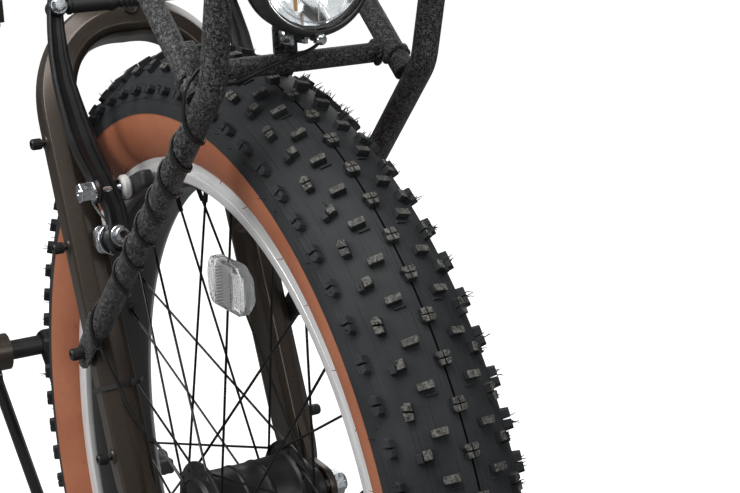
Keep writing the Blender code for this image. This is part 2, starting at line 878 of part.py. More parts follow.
def make_reflector():
    """A spoke reflector: a domed block with a slot for each spoke it meets."""
    centre = polar(REFLECTOR_ANGLE, REFLECTOR_RADIUS)
    out = centre.normalized()
    along = Y_AXIS.cross(out)
    half_l, half_h = REFLECTOR_LENGTH / 2, REFLECTOR_HEIGHT / 2
    place = centre - Y_AXIS * REFLECTOR_OFFSET
    outline = [
        (-half_l, -half_h * 0.75),
        (-half_l * 0.80, -half_h),
        (half_l * 0.80, -half_h),
        (half_l, -half_h * 0.75),
        (half_l * 0.86, half_h * 0.70),
        (half_l * 0.60, half_h),
        (-half_l * 0.60, half_h),
        (-half_l * 0.86, half_h * 0.70),
    ]
    block = plate(outline, place, along, out, REFLECTOR_DEPTH)
    block = bevel(block, 0.0018, 1, 60)
    lines = spoke_lines(FRONT_FLANGE_OFFSET, DYNAMO_FLANGE - SPOKE_HOLE_INSET)
    slots = spoke_bundle(lines, SPOKE_RADIUS + 1.4 * GAP, 6)
    return cut(block, spun(slots, FRONT_WHEEL_TURN))


def make_wheels():
    tyre = make_tyre()
    rear_tyre = add_object("rear", tyre.data.copy())
    finish("front_tyre", moved(tyre, FRONT_AXLE), "tyre", "front_wheel", 50)
    finish("rear_tyre", moved(rear_tyre, REAR_AXLE), "tyre", "rear_wheel", 50)
    rim = make_rim()
    rear_rim = add_object("rear", rim.data.copy())
    finish("front_rim", moved(rim, FRONT_AXLE), "rim_alloy", "front_wheel")
    finish("rear_rim", moved(rear_rim, REAR_AXLE), "rim_alloy", "rear_wheel")
    hub = spun(make_front_hub(), FRONT_WHEEL_TURN)
    finish("front_hub", moved(hub, FRONT_AXLE), "black_alloy", "front_wheel")
    hub = make_rear_hub()
    finish("rear_hub", moved(hub, REAR_AXLE), "black_alloy", "rear_wheel")
    reflector = moved(make_reflector(), FRONT_AXLE)
    finish("spoke_reflector", reflector, "clear", "front_wheel")
    make_axles()


def axle_solid(centre, hub_width, dropout, nut_length):
    """A plain axle with a hexagon nut outside each dropout."""
    seat = hub_width / 2 + dropout + GAP
    end = seat + nut_length
    solids = [
        cylinder(
            centre - Y_AXIS * (end + AXLE_TIP),
            centre + Y_AXIS * (end + AXLE_TIP),
            AXLE_RADIUS,
            10,
        )
    ]
    for side in (-1, 1):
        nut = cylinder(
            centre + Y_AXIS * side * seat,
            centre + Y_AXIS * side * end,
            AXLE_NUT_RADIUS,
            6,
        )
        solids.append(nut)
    return fuse(*solids)


def make_axles():
    axle = axle_solid(FRONT_AXLE, FRONT_HUB_WIDTH, DROPOUT_THICKNESS, AXLE_NUT_LENGTH)
    finish("front_axle", axle, "black_alloy", "fork")
    axle = axle_solid(REAR_AXLE, REAR_HUB_WIDTH, DROPOUT_THICKNESS, AXLE_NUT_LENGTH)
    finish("rear_axle", axle, "black_alloy", "rear_frame")


# Fork


def fork_path():
    """(height, side) of the arch from the left blade over to the right."""
    left = [(0.012, BLADE_SPACING)]
    rise = CROWN_CENTRE - CROWN_START
    steps = 5
    for i in range(steps):
        turn = math.pi / 2 * i / steps
        bulge = 2 / 2.3
        left.append(
            (
                CROWN_START + rise * math.sin(turn) ** bulge,
                BLADE_SPACING * math.cos(turn) ** bulge,
            )
        )
    return left + [(CROWN_CENTRE, 0.0)] + [(s, -y) for s, y in reversed(left)]


def make_fork():
    path = fork_path()
    centres, widths, depths = [], [], []
    for height, side in path:
        centres.append(steer(height, 0, side))
        crown = 1 - abs(side) / BLADE_SPACING
        widths.append(BLADE_WIDTH + (CROWN_THICKNESS - BLADE_WIDTH) * crown)
        depths.append(BLADE_DEPTH + 0.004 * crown)
    arch = bar_along(centres, widths, depths, STEER_FORWARD, 3.6, 12)
    top = STEM_BOTTOM + STEM_HEIGHT - 0.002
    steerer = cylinder(
        steer(CROWN_CENTRE, 0, 0), steer(top, 0, 0), STEERER_RADIUS, 16
    )
    race_top = HEAD_TUBE_BOTTOM - HEADSET_HEIGHT - GAP
    race = cylinder(
        steer(CROWN_CENTRE, 0, 0), steer(race_top, 0, 0), 0.0215, 20
    )
    fork = fuse(arch, steerer, race)
    extras = []
    for side in (-1, 1):
        extras.append(fork_dropout(side))
        extras.append(brake_post(FORK_BRAKE, side, BLADE_DEPTH / 2 - 0.004))
        for i in range(EYELET_COUNT):
            extras.append(eyelet(side, i))
    fork = fuse(fork, *extras)
    hole = cylinder(
        steer(CROWN_CENTRE + 0.003, -0.05, 0),
        steer(CROWN_CENTRE + 0.003, 0.05, 0),
        CROWN_BOLT_RADIUS,
        10,
    )
    axle = axle_hole(FRONT_AXLE)
    fork = cut(fork, hole, axle)
    finish("fork", fork, "bronze_paint", "fork")


def axle_hole(centre):
    return cylinder(
        centre - Y_AXIS * 0.15,
        centre + Y_AXIS * 0.15,
        AXLE_RADIUS + GAP + BORE_SLACK,
        16,
    )


def fork_dropout(side):
    """The flat end that the axle passes through, below the blade."""
    inner = FRONT_HUB_WIDTH / 2
    middle = side * (inner + DROPOUT_THICKNESS / 2)
    outline = [(-0.020, 0.060), (-0.019, 0.010), (-0.010, -0.006)]
    outline += arc((FORK_RAKE, 0), 0.017, 255, 425, 8)
    outline += [(0.030, 0.024), (0.021, 0.060)]
    return plate(
        outline,
        steer(0, 0, middle),
        STEER_FORWARD,
        STEER_UP,
        DROPOUT_THICKNESS,
    )


def eyelet(side, index):
    """A threaded eyelet's boss on the blade's outer face, with its bolt."""
    height = EYELET_FIRST + EYELET_SPACING * index
    face = BLADE_SPACING + BLADE_WIDTH / 2
    start = steer(height, 0, side * (face - 0.004))
    boss_end = face + EYELET_BOSS
    boss = cylinder(start, steer(height, 0, side * boss_end), EYELET_BOSS_RADIUS, 8)
    if index == RACK_EYELET:
        return boss
    bolt_end = face + EYELET_BOLT_LENGTH
    head = cylinder(start, steer(height, 0, side * bolt_end), EYELET_BOLT_RADIUS, 8)
    return fuse(boss, head)


# Rim brakes


class BrakeFrame:
    """Where a rim brake sits: up the stays, out from them, and sideways."""

    def __init__(self, foot, up, out, plane, pivot_side):
        self.foot, self.up, self.out = Vector(foot), Vector(up), Vector(out)
        self.plane, self.pivot_side = plane, pivot_side

    def at(self, height, out, side):
        return self.foot + self.up * height + self.out * out + Y_AXIS * side


FORK_BRAKE = BrakeFrame(
    STEER_FOOT,
    STEER_UP,
    STEER_FORWARD,
    FORK_RAKE + BRAKE_ARM_LEAD,
    BLADE_SPACING - BRAKE_PIVOT_INSIDE_BLADE,
)
STAY_BRAKE = BrakeFrame(
    REAR_AXLE - STAY_OUT * STAY_OFFSET,
    STAY_UP,
    STAY_OUT,
    STAY_OFFSET + BRAKE_ARM_LEAD,
    REAR_BRAKE_PIVOT_SIDE,
)


def brake_post(frame, side, base):
    """The pivot post on the blade or stay that a brake arm turns on."""
    y = side * frame.pivot_side
    front = frame.plane + BRAKE_ARM_DEPTH / 2 + 0.001
    back = frame.plane - BRAKE_ARM_DEPTH / 2 - GAP
    post = cylinder(
        frame.at(BRAKE_PIVOT_HEIGHT, base, y),
        frame.at(BRAKE_PIVOT_HEIGHT, front, y),
        BRAKE_POST_RADIUS,
        10,
    )
    collar = cylinder(
        frame.at(BRAKE_PIVOT_HEIGHT, base, y),
        frame.at(BRAKE_PIVOT_HEIGHT, back, y),
        BRAKE_COLLAR_RADIUS,
        10,
    )
    return fuse(post, collar)


def brake_arm(frame):
    """The left arm: a bowed lever from its pivot to the cable, with a boss."""
    centres, widths, depths = [], [], []
    reach = BRAKE_TOP - BRAKE_PIVOT_HEIGHT
    for share, bow, width in BRAKE_ARM_LINE:
        centres.append(
            frame.at(
                BRAKE_PIVOT_HEIGHT + reach * share,
                frame.plane,
                frame.pivot_side + bow,
            )
        )
        widths.append(width)
        depths.append(BRAKE_ARM_DEPTH * (0.62 + 0.38 * width / BRAKE_ARM_WIDTH))
    arm = bar_along(centres, widths, depths, frame.out, 3.2, 8)
    pad_side = RIM_WIDTH / 2 + BRAKE_PAD_GAP + BRAKE_PAD_THICKNESS + GAP
    nut = cylinder(
        frame.at(BRAKE_PAD_HEIGHT, frame.plane, pad_side),
        frame.at(BRAKE_PAD_HEIGHT, frame.plane, frame.pivot_side + BRAKE_PAD_NUT_OUT),
        BRAKE_PAD_NUT_RADIUS,
        6,
    )
    anchor = cylinder(
        frame.at(BRAKE_TOP, frame.plane - 0.008, frame.pivot_side + BRAKE_ANCHOR_OUT),
        frame.at(BRAKE_TOP, frame.plane + 0.009, frame.pivot_side + BRAKE_ANCHOR_OUT),
        BRAKE_ANCHOR_RADIUS,
        6,
    )
    arm = fuse(arm, nut, anchor)
    bore = cylinder(
        frame.at(BRAKE_PIVOT_HEIGHT, frame.plane - 0.02, frame.pivot_side),
        frame.at(BRAKE_PIVOT_HEIGHT, frame.plane + 0.02, frame.pivot_side),
        BRAKE_POST_RADIUS + BEARING_GAP + BORE_SLACK,
        10,
    )
    return cut(arm, bore)


def brake_pad(frame):
    """The left pad: a long block along the rim with rounded ends."""
    side = RIM_WIDTH / 2 + BRAKE_PAD_GAP + BRAKE_PAD_THICKNESS / 2
    half = BRAKE_PAD_LENGTH / 2
    centres = [
        frame.at(BRAKE_PAD_HEIGHT, frame.plane + along, side)
        for along in (-half, -half * 0.6, half * 0.6, half)
    ]
    heights = [BRAKE_PAD_FACE * f for f in (0.75, 1, 1, 0.75)]
    thick = [BRAKE_PAD_THICKNESS * f for f in (0.8, 1, 1, 0.8)]
    return bar_along(centres, heights, thick, Y_AXIS, 5, 8)


def brake_noodle(frame):
    """The bent pipe held in the left arm's top, which carries the cable in."""
    hold = frame.pivot_side + BRAKE_ANCHOR_OUT
    path = rounded(
        [
            frame.at(BRAKE_TOP, frame.plane, 0.0),
            frame.at(BRAKE_TOP, frame.plane, hold + NOODLE_OUT),
            frame.at(BRAKE_TOP + NOODLE_RISE, frame.plane + 0.004, hold + NOODLE_OUT + 0.006),
        ],
        NOODLE_BEND,
        4,
    )
    return tube(path, NOODLE_RADIUS, 1)


def brake_boot(frame):
    """The bellows over the bare cable, from the noodle to the right arm."""
    start, end = -GAP, -(frame.pivot_side + BRAKE_ANCHOR_OUT - BOOT_FROM_ANCHOR)
    points, radii = [], []
    for i in range(2 * BOOT_RIBS + 1):
        side = start + (end - start) * i / (2 * BOOT_RIBS)
        points.append(frame.at(BRAKE_TOP, frame.plane, side))
        radii.append(BOOT_RADIUS if i % 2 else BOOT_RADIUS * BOOT_WAIST)
    return tube(points, BOOT_RADIUS, 1, radii)


def make_brakes():
    for place, frame, body in (
        ("front", FORK_BRAKE, "front_brake"),
        ("rear", STAY_BRAKE, "rear_brake"),
    ):
        arm = brake_arm(frame)
        pad = brake_pad(frame)
        right_arm, right_pad = mirrored(arm), mirrored(pad)
        arm = fuse(arm, brake_noodle(frame))
        finish(f"brake_arm_{place}_left", arm, "black_alloy", body + "_left")
        finish(f"brake_pad_{place}_left", pad, "rubber", body + "_left")
        finish(f"brake_arm_{place}_right", right_arm, "black_alloy", body + "_right")
        finish(f"brake_pad_{place}_right", right_pad, "rubber", body + "_right")
        boot = brake_boot(frame)
        finish(f"brake_boot_{place}", boot, "rubber", body + "_left")


# Front rack


def strut_line(side):
    """The strut's direction and the points where it starts and bends."""
    face = BLADE_SPACING + BLADE_WIDTH / 2 + EYELET_BOSS + GAP
    start = by_axle(
        RACK_FOOT[0], side * (face + RACK_FOOT_THICKNESS / 2), RACK_FOOT[1]
    )
    bend = by_axle(RACK_BEND[0], side * RACK_HALF_WIDTH, RACK_BEND[1])
    return (bend - start).normalized(), start, bend


def rack_side():
    """The left side: foot, strut, upright, deck rail, with its brace."""
    height = EYELET_FIRST + EYELET_SPACING * RACK_EYELET
    direction, start, bend = strut_line(1)
    hole_at = steer(height, 0, start.y)
    strut_foot = start + direction * 0.032
    corner = by_axle(RACK_DECK_FRONT, RACK_HALF_WIDTH, RACK_DECK_HEIGHT)
    rear = by_axle(RACK_DECK_REAR, RACK_HALF_WIDTH, RACK_DECK_HEIGHT)
    path = rounded([strut_foot, bend, corner, rear], RACK_CORNER_RADIUS, 2)
    main = tube(path, RACK_TUBE_RADIUS, 2)
    width_axis = Y_AXIS.cross(direction).normalized()
    flat = []
    thin = RACK_FOOT_THICKNESS
    for centre, wide, deep in (
        (hole_at - direction * 0.012, 0.012, thin),
        (hole_at - direction * 0.004, 0.022, thin),
        (start + direction * 0.008, 0.023, thin),
        (start + direction * 0.022, 0.0195, 0.008),
        (start + direction * 0.044, 0.0180, 0.016),
    ):
        if deep == thin:
            centre = Vector((centre.x, start.y, centre.z))
        outline = squircle(wide, deep, 3.0, 8)
        flat.append([centre + width_axis * u + Y_AXIS * v for u, v in outline])
    tab = loft(flat)
    brace_foot = by_axle(RACK_BRACE_FOOT[0], RACK_HALF_WIDTH, RACK_BRACE_FOOT[1])
    brace = tube([brace_foot, rear + Vector((0.003, 0, 0))], RACK_BRACE_RADIUS, 2)
    side = fuse(main, tab, brace)
    hole = cylinder(
        hole_at - Y_AXIS * 0.02,
        hole_at + Y_AXIS * 0.03,
        RACK_BOLT_RADIUS + 2 * GAP,
        8,
    )
    return cut(side, hole)


def make_rack():
    left = rack_side()
    right = mirrored(left)
    half = RACK_HALF_WIDTH
    bars = []
    for forward, height, radius in (
        (RACK_CROSS[0], RACK_CROSS[1], RACK_CROSS_RADIUS),
        (RACK_DECK_REAR + RACK_REAR_INSET, RACK_DECK_HEIGHT, RACK_CROSS_RADIUS),
        (RACK_MIDDLE_CROSS, RACK_DECK_HEIGHT, RACK_CROSS_RADIUS),
        (RACK_DECK_FRONT - RACK_CORNER_BACK, RACK_DECK_HEIGHT, RACK_CROSS_RADIUS),
    ):
        bars.append(
            cylinder(
                by_axle(forward, -half, height), by_axle(forward, half, height), radius, 8
            )
        )
    deck_length = RACK_DECK_FRONT - RACK_CORNER_BACK - RACK_DECK_REAR
    deck = box(
        (deck_length, RACK_PLATE_WIDTH, RACK_PLATE_THICKNESS),
        by_axle(
            RACK_DECK_REAR + deck_length / 2,
            0,
            RACK_DECK_HEIGHT + RACK_CROSS_RADIUS,
        ),
    )
    tab_height = LAMP_TAB_HEIGHT
    tab = box(
        (LAMP_TAB_THICKNESS, LAMP_TAB_WIDTH, tab_height),
        by_axle(
            RACK_CROSS[0], 0, RACK_CROSS[1] + RACK_CROSS_RADIUS - 0.002 + tab_height / 2
        ),
    )
    rack = fuse(left, right, *bars)
    rack = fuse(rack, deck, tab)
    stay_end = by_axle(RACK_DECK_REAR + RACK_REAR_INSET, 0, RACK_DECK_HEIGHT)
    ring_low = STEM_BOTTOM
    ring_centre = steer(ring_low + RACK_STAY_THICKNESS / 2, 0, 0)
    ring = cylinder(
        steer(ring_low, 0, 0), steer(ring_low + RACK_STAY_THICKNESS, 0, 0), RACK_RING_RADIUS, 20
    )
    tongue = bar_along(
        [
            ring_centre + STEER_FORWARD * 0.017,
            ring_centre + STEER_FORWARD * 0.045,
            stay_end + Vector((-0.045, 0, 0.004)),
            stay_end,
        ],
        [RACK_STAY_THICKNESS, RACK_STAY_THICKNESS, 0.0045, 0.0045],
        [RACK_STAY_WIDTH] * 4,
        Y_AXIS,
        6,
        8,
    )
    rack = fuse(rack, ring, tongue)
    hole = cylinder(
        steer(ring_low - 0.02, 0, 0),
        steer(ring_low + 0.03, 0, 0),
        STEERER_RADIUS + GAP + SLEEVE_SLACK,
        16,
    )
    rack = cut(rack, hole)
    finish("front_rack", rack, "black_rack", "fork")
    height = EYELET_FIRST + EYELET_SPACING * RACK_EYELET
    for side, name in ((-1, "right"), (1, "left")):
        inner = BLADE_SPACING + BLADE_WIDTH / 2 + EYELET_BOSS + GAP
        seat = inner + RACK_FOOT_THICKNESS + GAP
        head = cylinder(
            steer(height, 0, side * seat),
            steer(height, 0, side * (seat + 0.010)),
            EYELET_BOLT_RADIUS * 1.15,
            8,
        )
        shank = cylinder(
            steer(height, 0, side * inner),
            steer(height, 0, side * (seat + 0.002)),
            RACK_BOLT_RADIUS,
            8,
        )
        bolt = fuse(head, shank)
        finish(f"rack_bolt_{name}", bolt, "black_alloy", "fork")


# Headlamp


def make_lamp():
    centre = by_axle(LAMP_CENTRE[0], 0, LAMP_CENTRE[1])
    radius, depth = LAMP_RADIUS, LAMP_DEPTH
    glass = LAMP_GLASS_RADIUS
    profile = [(0.0, -depth)]
    profile += [(0.016, -depth + 0.001), (0.028, -depth + 0.007)]
    fin_step = (depth - 0.022) / LAMP_FINS
    for i in range(LAMP_FINS):
        low = -depth + 0.010 + fin_step * i
        spread = 0.031 + 0.0105 * (i + 1) / LAMP_FINS
        profile += [(spread - 0.0028, low), (spread, low + 0.0004)]
        profile += [(spread, low + fin_step * 0.55), (spread - 0.0028, low + fin_step * 0.6)]
    profile += [(radius - 0.001, -0.012), (radius, -0.010), (radius, 0.004)]
    profile += [(radius - 0.002, LAMP_RIM_FRONT), (glass - 0.0005, LAMP_RIM_FRONT)]
    seat = LAMP_GLASS_SEAT
    profile += [(glass - 0.0005, seat), (glass + GAP, seat), (glass + GAP, -0.001)]
    wall = LAMP_WALL
    profile += [(glass - wall, -0.001), (0.030, -0.016), (0.022, -0.030), (0.0, -0.036)]
    housing = solid_of_revolution(profile, centre, X_AXIS, 16)
    foot = centre - Z_AXIS * (radius - 0.004) - X_AXIS * LAMP_LUG_BACK
    lug = box(LAMP_LUG, foot)
    housing = fuse(housing, lug)
    lens_front = LAMP_GLASS_SEAT - GAP
    lens = [
        (0.0, lens_front + 0.003),
        (glass * 0.55, lens_front + 0.0022),
        (glass - 0.0008, lens_front),
        (glass - 0.0004, lens_front - LAMP_LENS_THICKNESS + 0.0012),
        (glass * 0.55, lens_front - LAMP_LENS_THICKNESS + 0.0022),
        (0.0, lens_front - LAMP_LENS_THICKNESS + 0.003),
    ]
    lens = solid_of_revolution(lens, centre, X_AXIS, 16)
    finish("headlamp_lens", lens, "clear", "fork")
    bowl_edge = glass - wall - GAP
    bowl = [
        (0.0, -0.0320),
        (0.020, -0.0255),
        (bowl_edge - 0.012, -0.0130),
        (bowl_edge - 0.0022, -0.0008),
        (bowl_edge, -0.0008),
        (bowl_edge - 0.010, -0.0145),
        (0.021, -0.0275),
        (0.0, -0.0345),
    ]
    reflector = solid_of_revolution(bowl, centre, X_AXIS, 16)
    finish("headlamp_reflector", reflector, "reflector", "fork")
    finish("headlamp_housing", housing, "black_paint", "fork")
    make_lamp_bracket(foot)


def make_lamp_bracket(foot):
    """The clevis that holds the lamp's lug, bolted to the rack's tab."""
    tab_face = by_axle(RACK_CROSS[0], 0, RACK_CROSS[1])
    bolt_height = foot.z - 0.004
    thick = LAMP_EAR_THICKNESS
    front = tab_face.x + LAMP_TAB_THICKNESS / 2 + GAP
    back = foot.x + LAMP_LUG[0] / 2
    ear_gap = LAMP_LUG[1] / 2 + GAP
    base = box(
        (thick, 2 * (ear_gap + thick), LAMP_EAR_HEIGHT),
        Vector((front + thick / 2, 0, bolt_height)),
    )
    ears = [
        box(
            (back - front, thick, LAMP_EAR_HEIGHT),
            Vector(((back + front) / 2, side * (ear_gap + thick / 2), bolt_height)),
        )
        for side in (-1, 1)
    ]
    bracket = fuse(*ears, base)
    heads = [
        cylinder(
            Vector((foot.x, side * (ear_gap + 0.002), bolt_height)),
            Vector((foot.x, side * (ear_gap + LAMP_BOLT_END), bolt_height)),
            LAMP_BOLT_RADIUS,
            6,
        )
        for side in (-1, 1)
    ]
    bracket = fuse(bracket, *heads)
    finish("headlamp_bracket", bracket, "bright_steel", "fork")


def winding_path():
    """The lead's turns round the right strut, from the lamp end downward."""
    axis, start, bend = strut_line(-1)
    side = axis.cross(Y_AXIS).normalized()
    out = side.cross(axis).normalized()
    points = []
    last = LEAD_TURNS * LEAD_TURN_POINTS + LEAD_TURN_POINTS // 4
    for i in range(last + 1):
        turns = i / LEAD_TURN_POINTS
        even = min(turns, LEAD_TURNS - 0.75)
        along = LEAD_TOP - LEAD_PITCH * even - LEAD_LAST_PITCH * (turns - even)
        turn = 2 * math.pi * turns
        spoke = -out * math.cos(turn) - side * math.sin(turn)
        points.append(start + axis * along + spoke * LEAD_WIND_RADIUS)
    return points


def least_gap(points, radius, apart):
    """The least gap of a wire to itself, between points not next to it."""
    return min(
        (a - b).length - 2 * radius
        for i, a in enumerate(points)
        for b in points[i + apart :]
    )


def make_lead():
    """The lamp's lead: along the rack, wound down the strut, to the hub."""
    winding = winding_path()
    gap = least_gap(winding, LEAD_RADIUS, LEAD_TURN_POINTS // 2)
    print(f"lamp lead: least gap to itself {gap * 1000:.2f} mm")
    front = BLADE_DEPTH / 2 + LEAD_RADIUS + 0.0008
    first = [
        by_axle(0.1430, 0.0170, LAMP_CENTRE[1] - LAMP_RADIUS + 0.0030),
        by_axle(0.1310, 0.0140, 0.3765),
        by_axle(0.1245, -0.0060, 0.3690),
        by_axle(0.1245, -0.0255, 0.3630),
        by_axle(0.1280, -0.0450, 0.3580),
        by_axle(0.1420, -0.0620, 0.3610),
        by_axle(0.1500, -0.0660, 0.3700),
        by_axle(0.1485, -0.0710, 0.3810),
        by_axle(0.1455, -0.0810, 0.3845),
        by_axle(0.1430, -0.0915, 0.3800),
        by_axle(0.1450, -0.0945, 0.3660),
    ]
    head = smooth_path([*first, winding[0], winding[1]], 3)[: -3 - 1]
    last = [
        winding[-1],
        steer(0.1480, 0.0375, -(BLADE_SPACING + 0.0175)),
        steer(0.1330, 0.0300, -(BLADE_SPACING + 0.0115)),
        steer(TIE_HEIGHT, front, -(BLADE_SPACING + 0.0047)),
        steer(0.0980, front + 0.0012, -(BLADE_SPACING + 0.001)),
        steer(0.0800, front + 0.004, -(BLADE_SPACING - 0.006)),
        steer(0.0620, front + 0.010, -(BLADE_SPACING - 0.014)),
        CONNECTOR + Vector((0.002, -0.001, 0.019)),
        CONNECTOR + Vector((0, 0, 0.0072)),
    ]
    tail = smooth_path([winding[-2], *last], 3)[3 + 1 :]
    lead = tube(head + winding + tail, LEAD_RADIUS, 1)
    finish("lamp_lead", lead, "rubber", "fork")
    tie_low = steer(TIE_HEIGHT, 0, -BLADE_SPACING)
    rings = []
    for lift in (-0.002, 0.002):
        for grow in (0.0055, 0.0070):
            outline = squircle(BLADE_WIDTH + 2 * grow, BLADE_DEPTH + 2 * grow, 3.6, 12)
            rings.append(
                [
                    tie_low + STEER_UP * lift + Y_AXIS * u + STEER_FORWARD * v
                    for u, v in outline
                ]
            )
    band = loop_loft([rings[0], rings[1], rings[3], rings[2]])
    head_block = box(
        (0.006, 0.006, 0.005),
        steer(TIE_HEIGHT, BLADE_DEPTH / 2 + 0.0080, -(BLADE_SPACING - 0.008)),
    )
    tie = fuse(band, head_block)
    finish("cable_tie", tie, "plastic", "fork")
    plug = box(CONNECTOR_SIZE, CONNECTOR)
    plug = bevel(plug, 0.0015)
    finish("dynamo_connector", plug, "plastic", "fork")


def loop_loft(rings):
    """A closed ring solid whose section's corners follow the given rings."""
    bm = bmesh.new()
    layers = [[bm.verts.new(p) for p in ring] for ring in rings]
    count = len(layers[0])
    for a in range(len(layers)):
        low, high = layers[a], layers[(a + 1) % len(layers)]
        for i in range(count):
            j = (i + 1) % count
            bm.faces.new((low[i], low[j], high[j], high[i]))
    return mesh_from("ring", bm)


# Frame


def hinge_height():
    """The beam's height at the hinge, on the line between its two ends."""
    rear, front = beam_ends()
    t = (FRAME_HINGE_X - rear.x) / (front.x - rear.x)
    return rear.z + (front.z - rear.z) * t


def beam_ends():
    rear = BRACKET + SEAT_UP * BEAM_ON_SEAT_TUBE
    front = steer(HEAD_TUBE_BOTTOM + BEAM_ON_HEAD_TUBE, 0, 0)
    return rear, front


def beam_part(start, end, start_size, end_size):
    """A stretch of the main beam between two upright cross-sections."""
    slope = (end.z - start.z) / (end.x - start.x)
    stretch = math.hypot(1, slope)
    rings = []
    for centre, (width, height) in ((start, start_size), (end, end_size)):
        outline = squircle(width, height * stretch, 2.8, 14)
        rings.append([centre + Y_AXIS * u + Z_AXIS * v for u, v in outline])
    return loft(rings)


def hinge_plate(side):
    """A hinge flange: side -1 on the rear half, 1 on the front half."""
    z = hinge_height()
    face = FRAME_HINGE_X + side * HINGE_GAP / 2
    outline = squircle(HINGE_PLATE_WIDTH, HINGE_PLATE_HEIGHT, 4.0, 12)
    rings = []
    for x in (face, face + side * HINGE_PLATE_THICKNESS):
        rings.append([Vector((x, u, z + v)) for u, v in outline])
    return loft(rings)


def hinge_barrels(side):
    """The knuckles about the pin: outer two on the rear, middle in front."""
    z = hinge_height()
    third = HINGE_PLATE_HEIGHT / 3
    spans = [(-third / 2 + GAP, third / 2 - GAP)]
    if side < 0:
        spans = [(-1.5 * third + 0.004, -third / 2), (third / 2, 1.5 * third - 0.004)]
    solids = []
    for low, high in spans:
        barrel = cylinder(
            (FRAME_HINGE_X, HINGE_PIN_OFFSET, z + low),
            (FRAME_HINGE_X, HINGE_PIN_OFFSET, z + high),
            HINGE_BARREL_RADIUS,
            10,
        )
        inner = HINGE_BARREL_INNER
        web = box(
            (HINGE_WEB_THICKNESS, HINGE_PIN_OFFSET - inner, high - low),
            (
                FRAME_HINGE_X + side * (HINGE_GAP + HINGE_WEB_THICKNESS) / 2,
                (HINGE_PIN_OFFSET + inner) / 2,
                z + (low + high) / 2,
            ),
        )
        solids += [barrel, web]
    return solids


def pin_hole():
    z = hinge_height()
    return cylinder(
        (FRAME_HINGE_X, HINGE_PIN_OFFSET, z - 0.08),
        (FRAME_HINGE_X, HINGE_PIN_OFFSET, z + 0.08),
        HINGE_PIN_RADIUS + BEARING_GAP + BORE_SLACK,
        10,
    )


def make_front_frame():
    rear, front = beam_ends()
    z = hinge_height()
    hinge = Vector((FRAME_HINGE_X + HINGE_GAP / 2 + 0.002, 0, z))
    at_hinge = (BEAM_WIDTH, BEAM_HEIGHT + 0.006)
    at_head = (BEAM_WIDTH - 0.002, BEAM_HEIGHT - 0.006)
    beam = beam_part(hinge, front, at_hinge, at_head)
    low = steer(HEAD_TUBE_BOTTOM, 0, 0)
    high = steer(HEAD_TUBE_BOTTOM + HEAD_TUBE_LENGTH, 0, 0)
    head = cylinder(low, high, HEAD_TUBE_RADIUS, 20)
    frame = fuse(beam, head, hinge_plate(1), *hinge_barrels(1))
    lug_x = FRAME_HINGE_X + HINGE_GAP / 2 + LATCH_PIVOT_X
    lug = cylinder(
        (lug_x, -LATCH_PIVOT_Y, z - 0.011), (lug_x, -LATCH_PIVOT_Y, z + 0.011), LATCH_LUG_RADIUS, 10
    )
    root = box((0.014, LATCH_PIVOT_Y - 0.015, 0.022), (lug_x, -(LATCH_PIVOT_Y + 0.015) / 2, z))
    frame = fuse(frame, lug, root)
    bore = cylinder(
        low - STEER_UP * 0.05,
        high + STEER_UP * 0.05,
        STEERER_RADIUS + 0.0032,
        14,
    )
    slot_pin = cylinder(
        (lug_x, -LATCH_PIVOT_Y, z - 0.03),
        (lug_x, -LATCH_PIVOT_Y, z + 0.03),
        LATCH_PIN_RADIUS + BEARING_GAP + BORE_SLACK,
        8,
    )
    frame = cut(frame, bore, pin_hole(), slot_pin)
    finish("front_frame", frame, "bronze_paint", "front_frame")
    for name, height in (
        ("headset_lower", HEAD_TUBE_BOTTOM - HEADSET_HEIGHT),
        ("headset_upper", HEAD_TUBE_BOTTOM + HEAD_TUBE_LENGTH + GAP),
    ):
        top = height + HEADSET_HEIGHT - GAP
        profile = [
            (HEADSET_RADIUS, 0.003),
            (HEADSET_RADIUS, top - height - 0.003),
            (HEADSET_RADIUS - 0.002, top - height),
            (STEERER_RADIUS + BEARING_GAP + SLEEVE_SLACK, top - height),
            (STEERER_RADIUS + BEARING_GAP + SLEEVE_SLACK, 0.0),
            (HEADSET_RADIUS - 0.002, 0.0),
        ]
        cup = turned(profile, steer(height, 0, 0), STEER_UP, 14)
        finish(name, cup, "black_alloy", "front_frame")


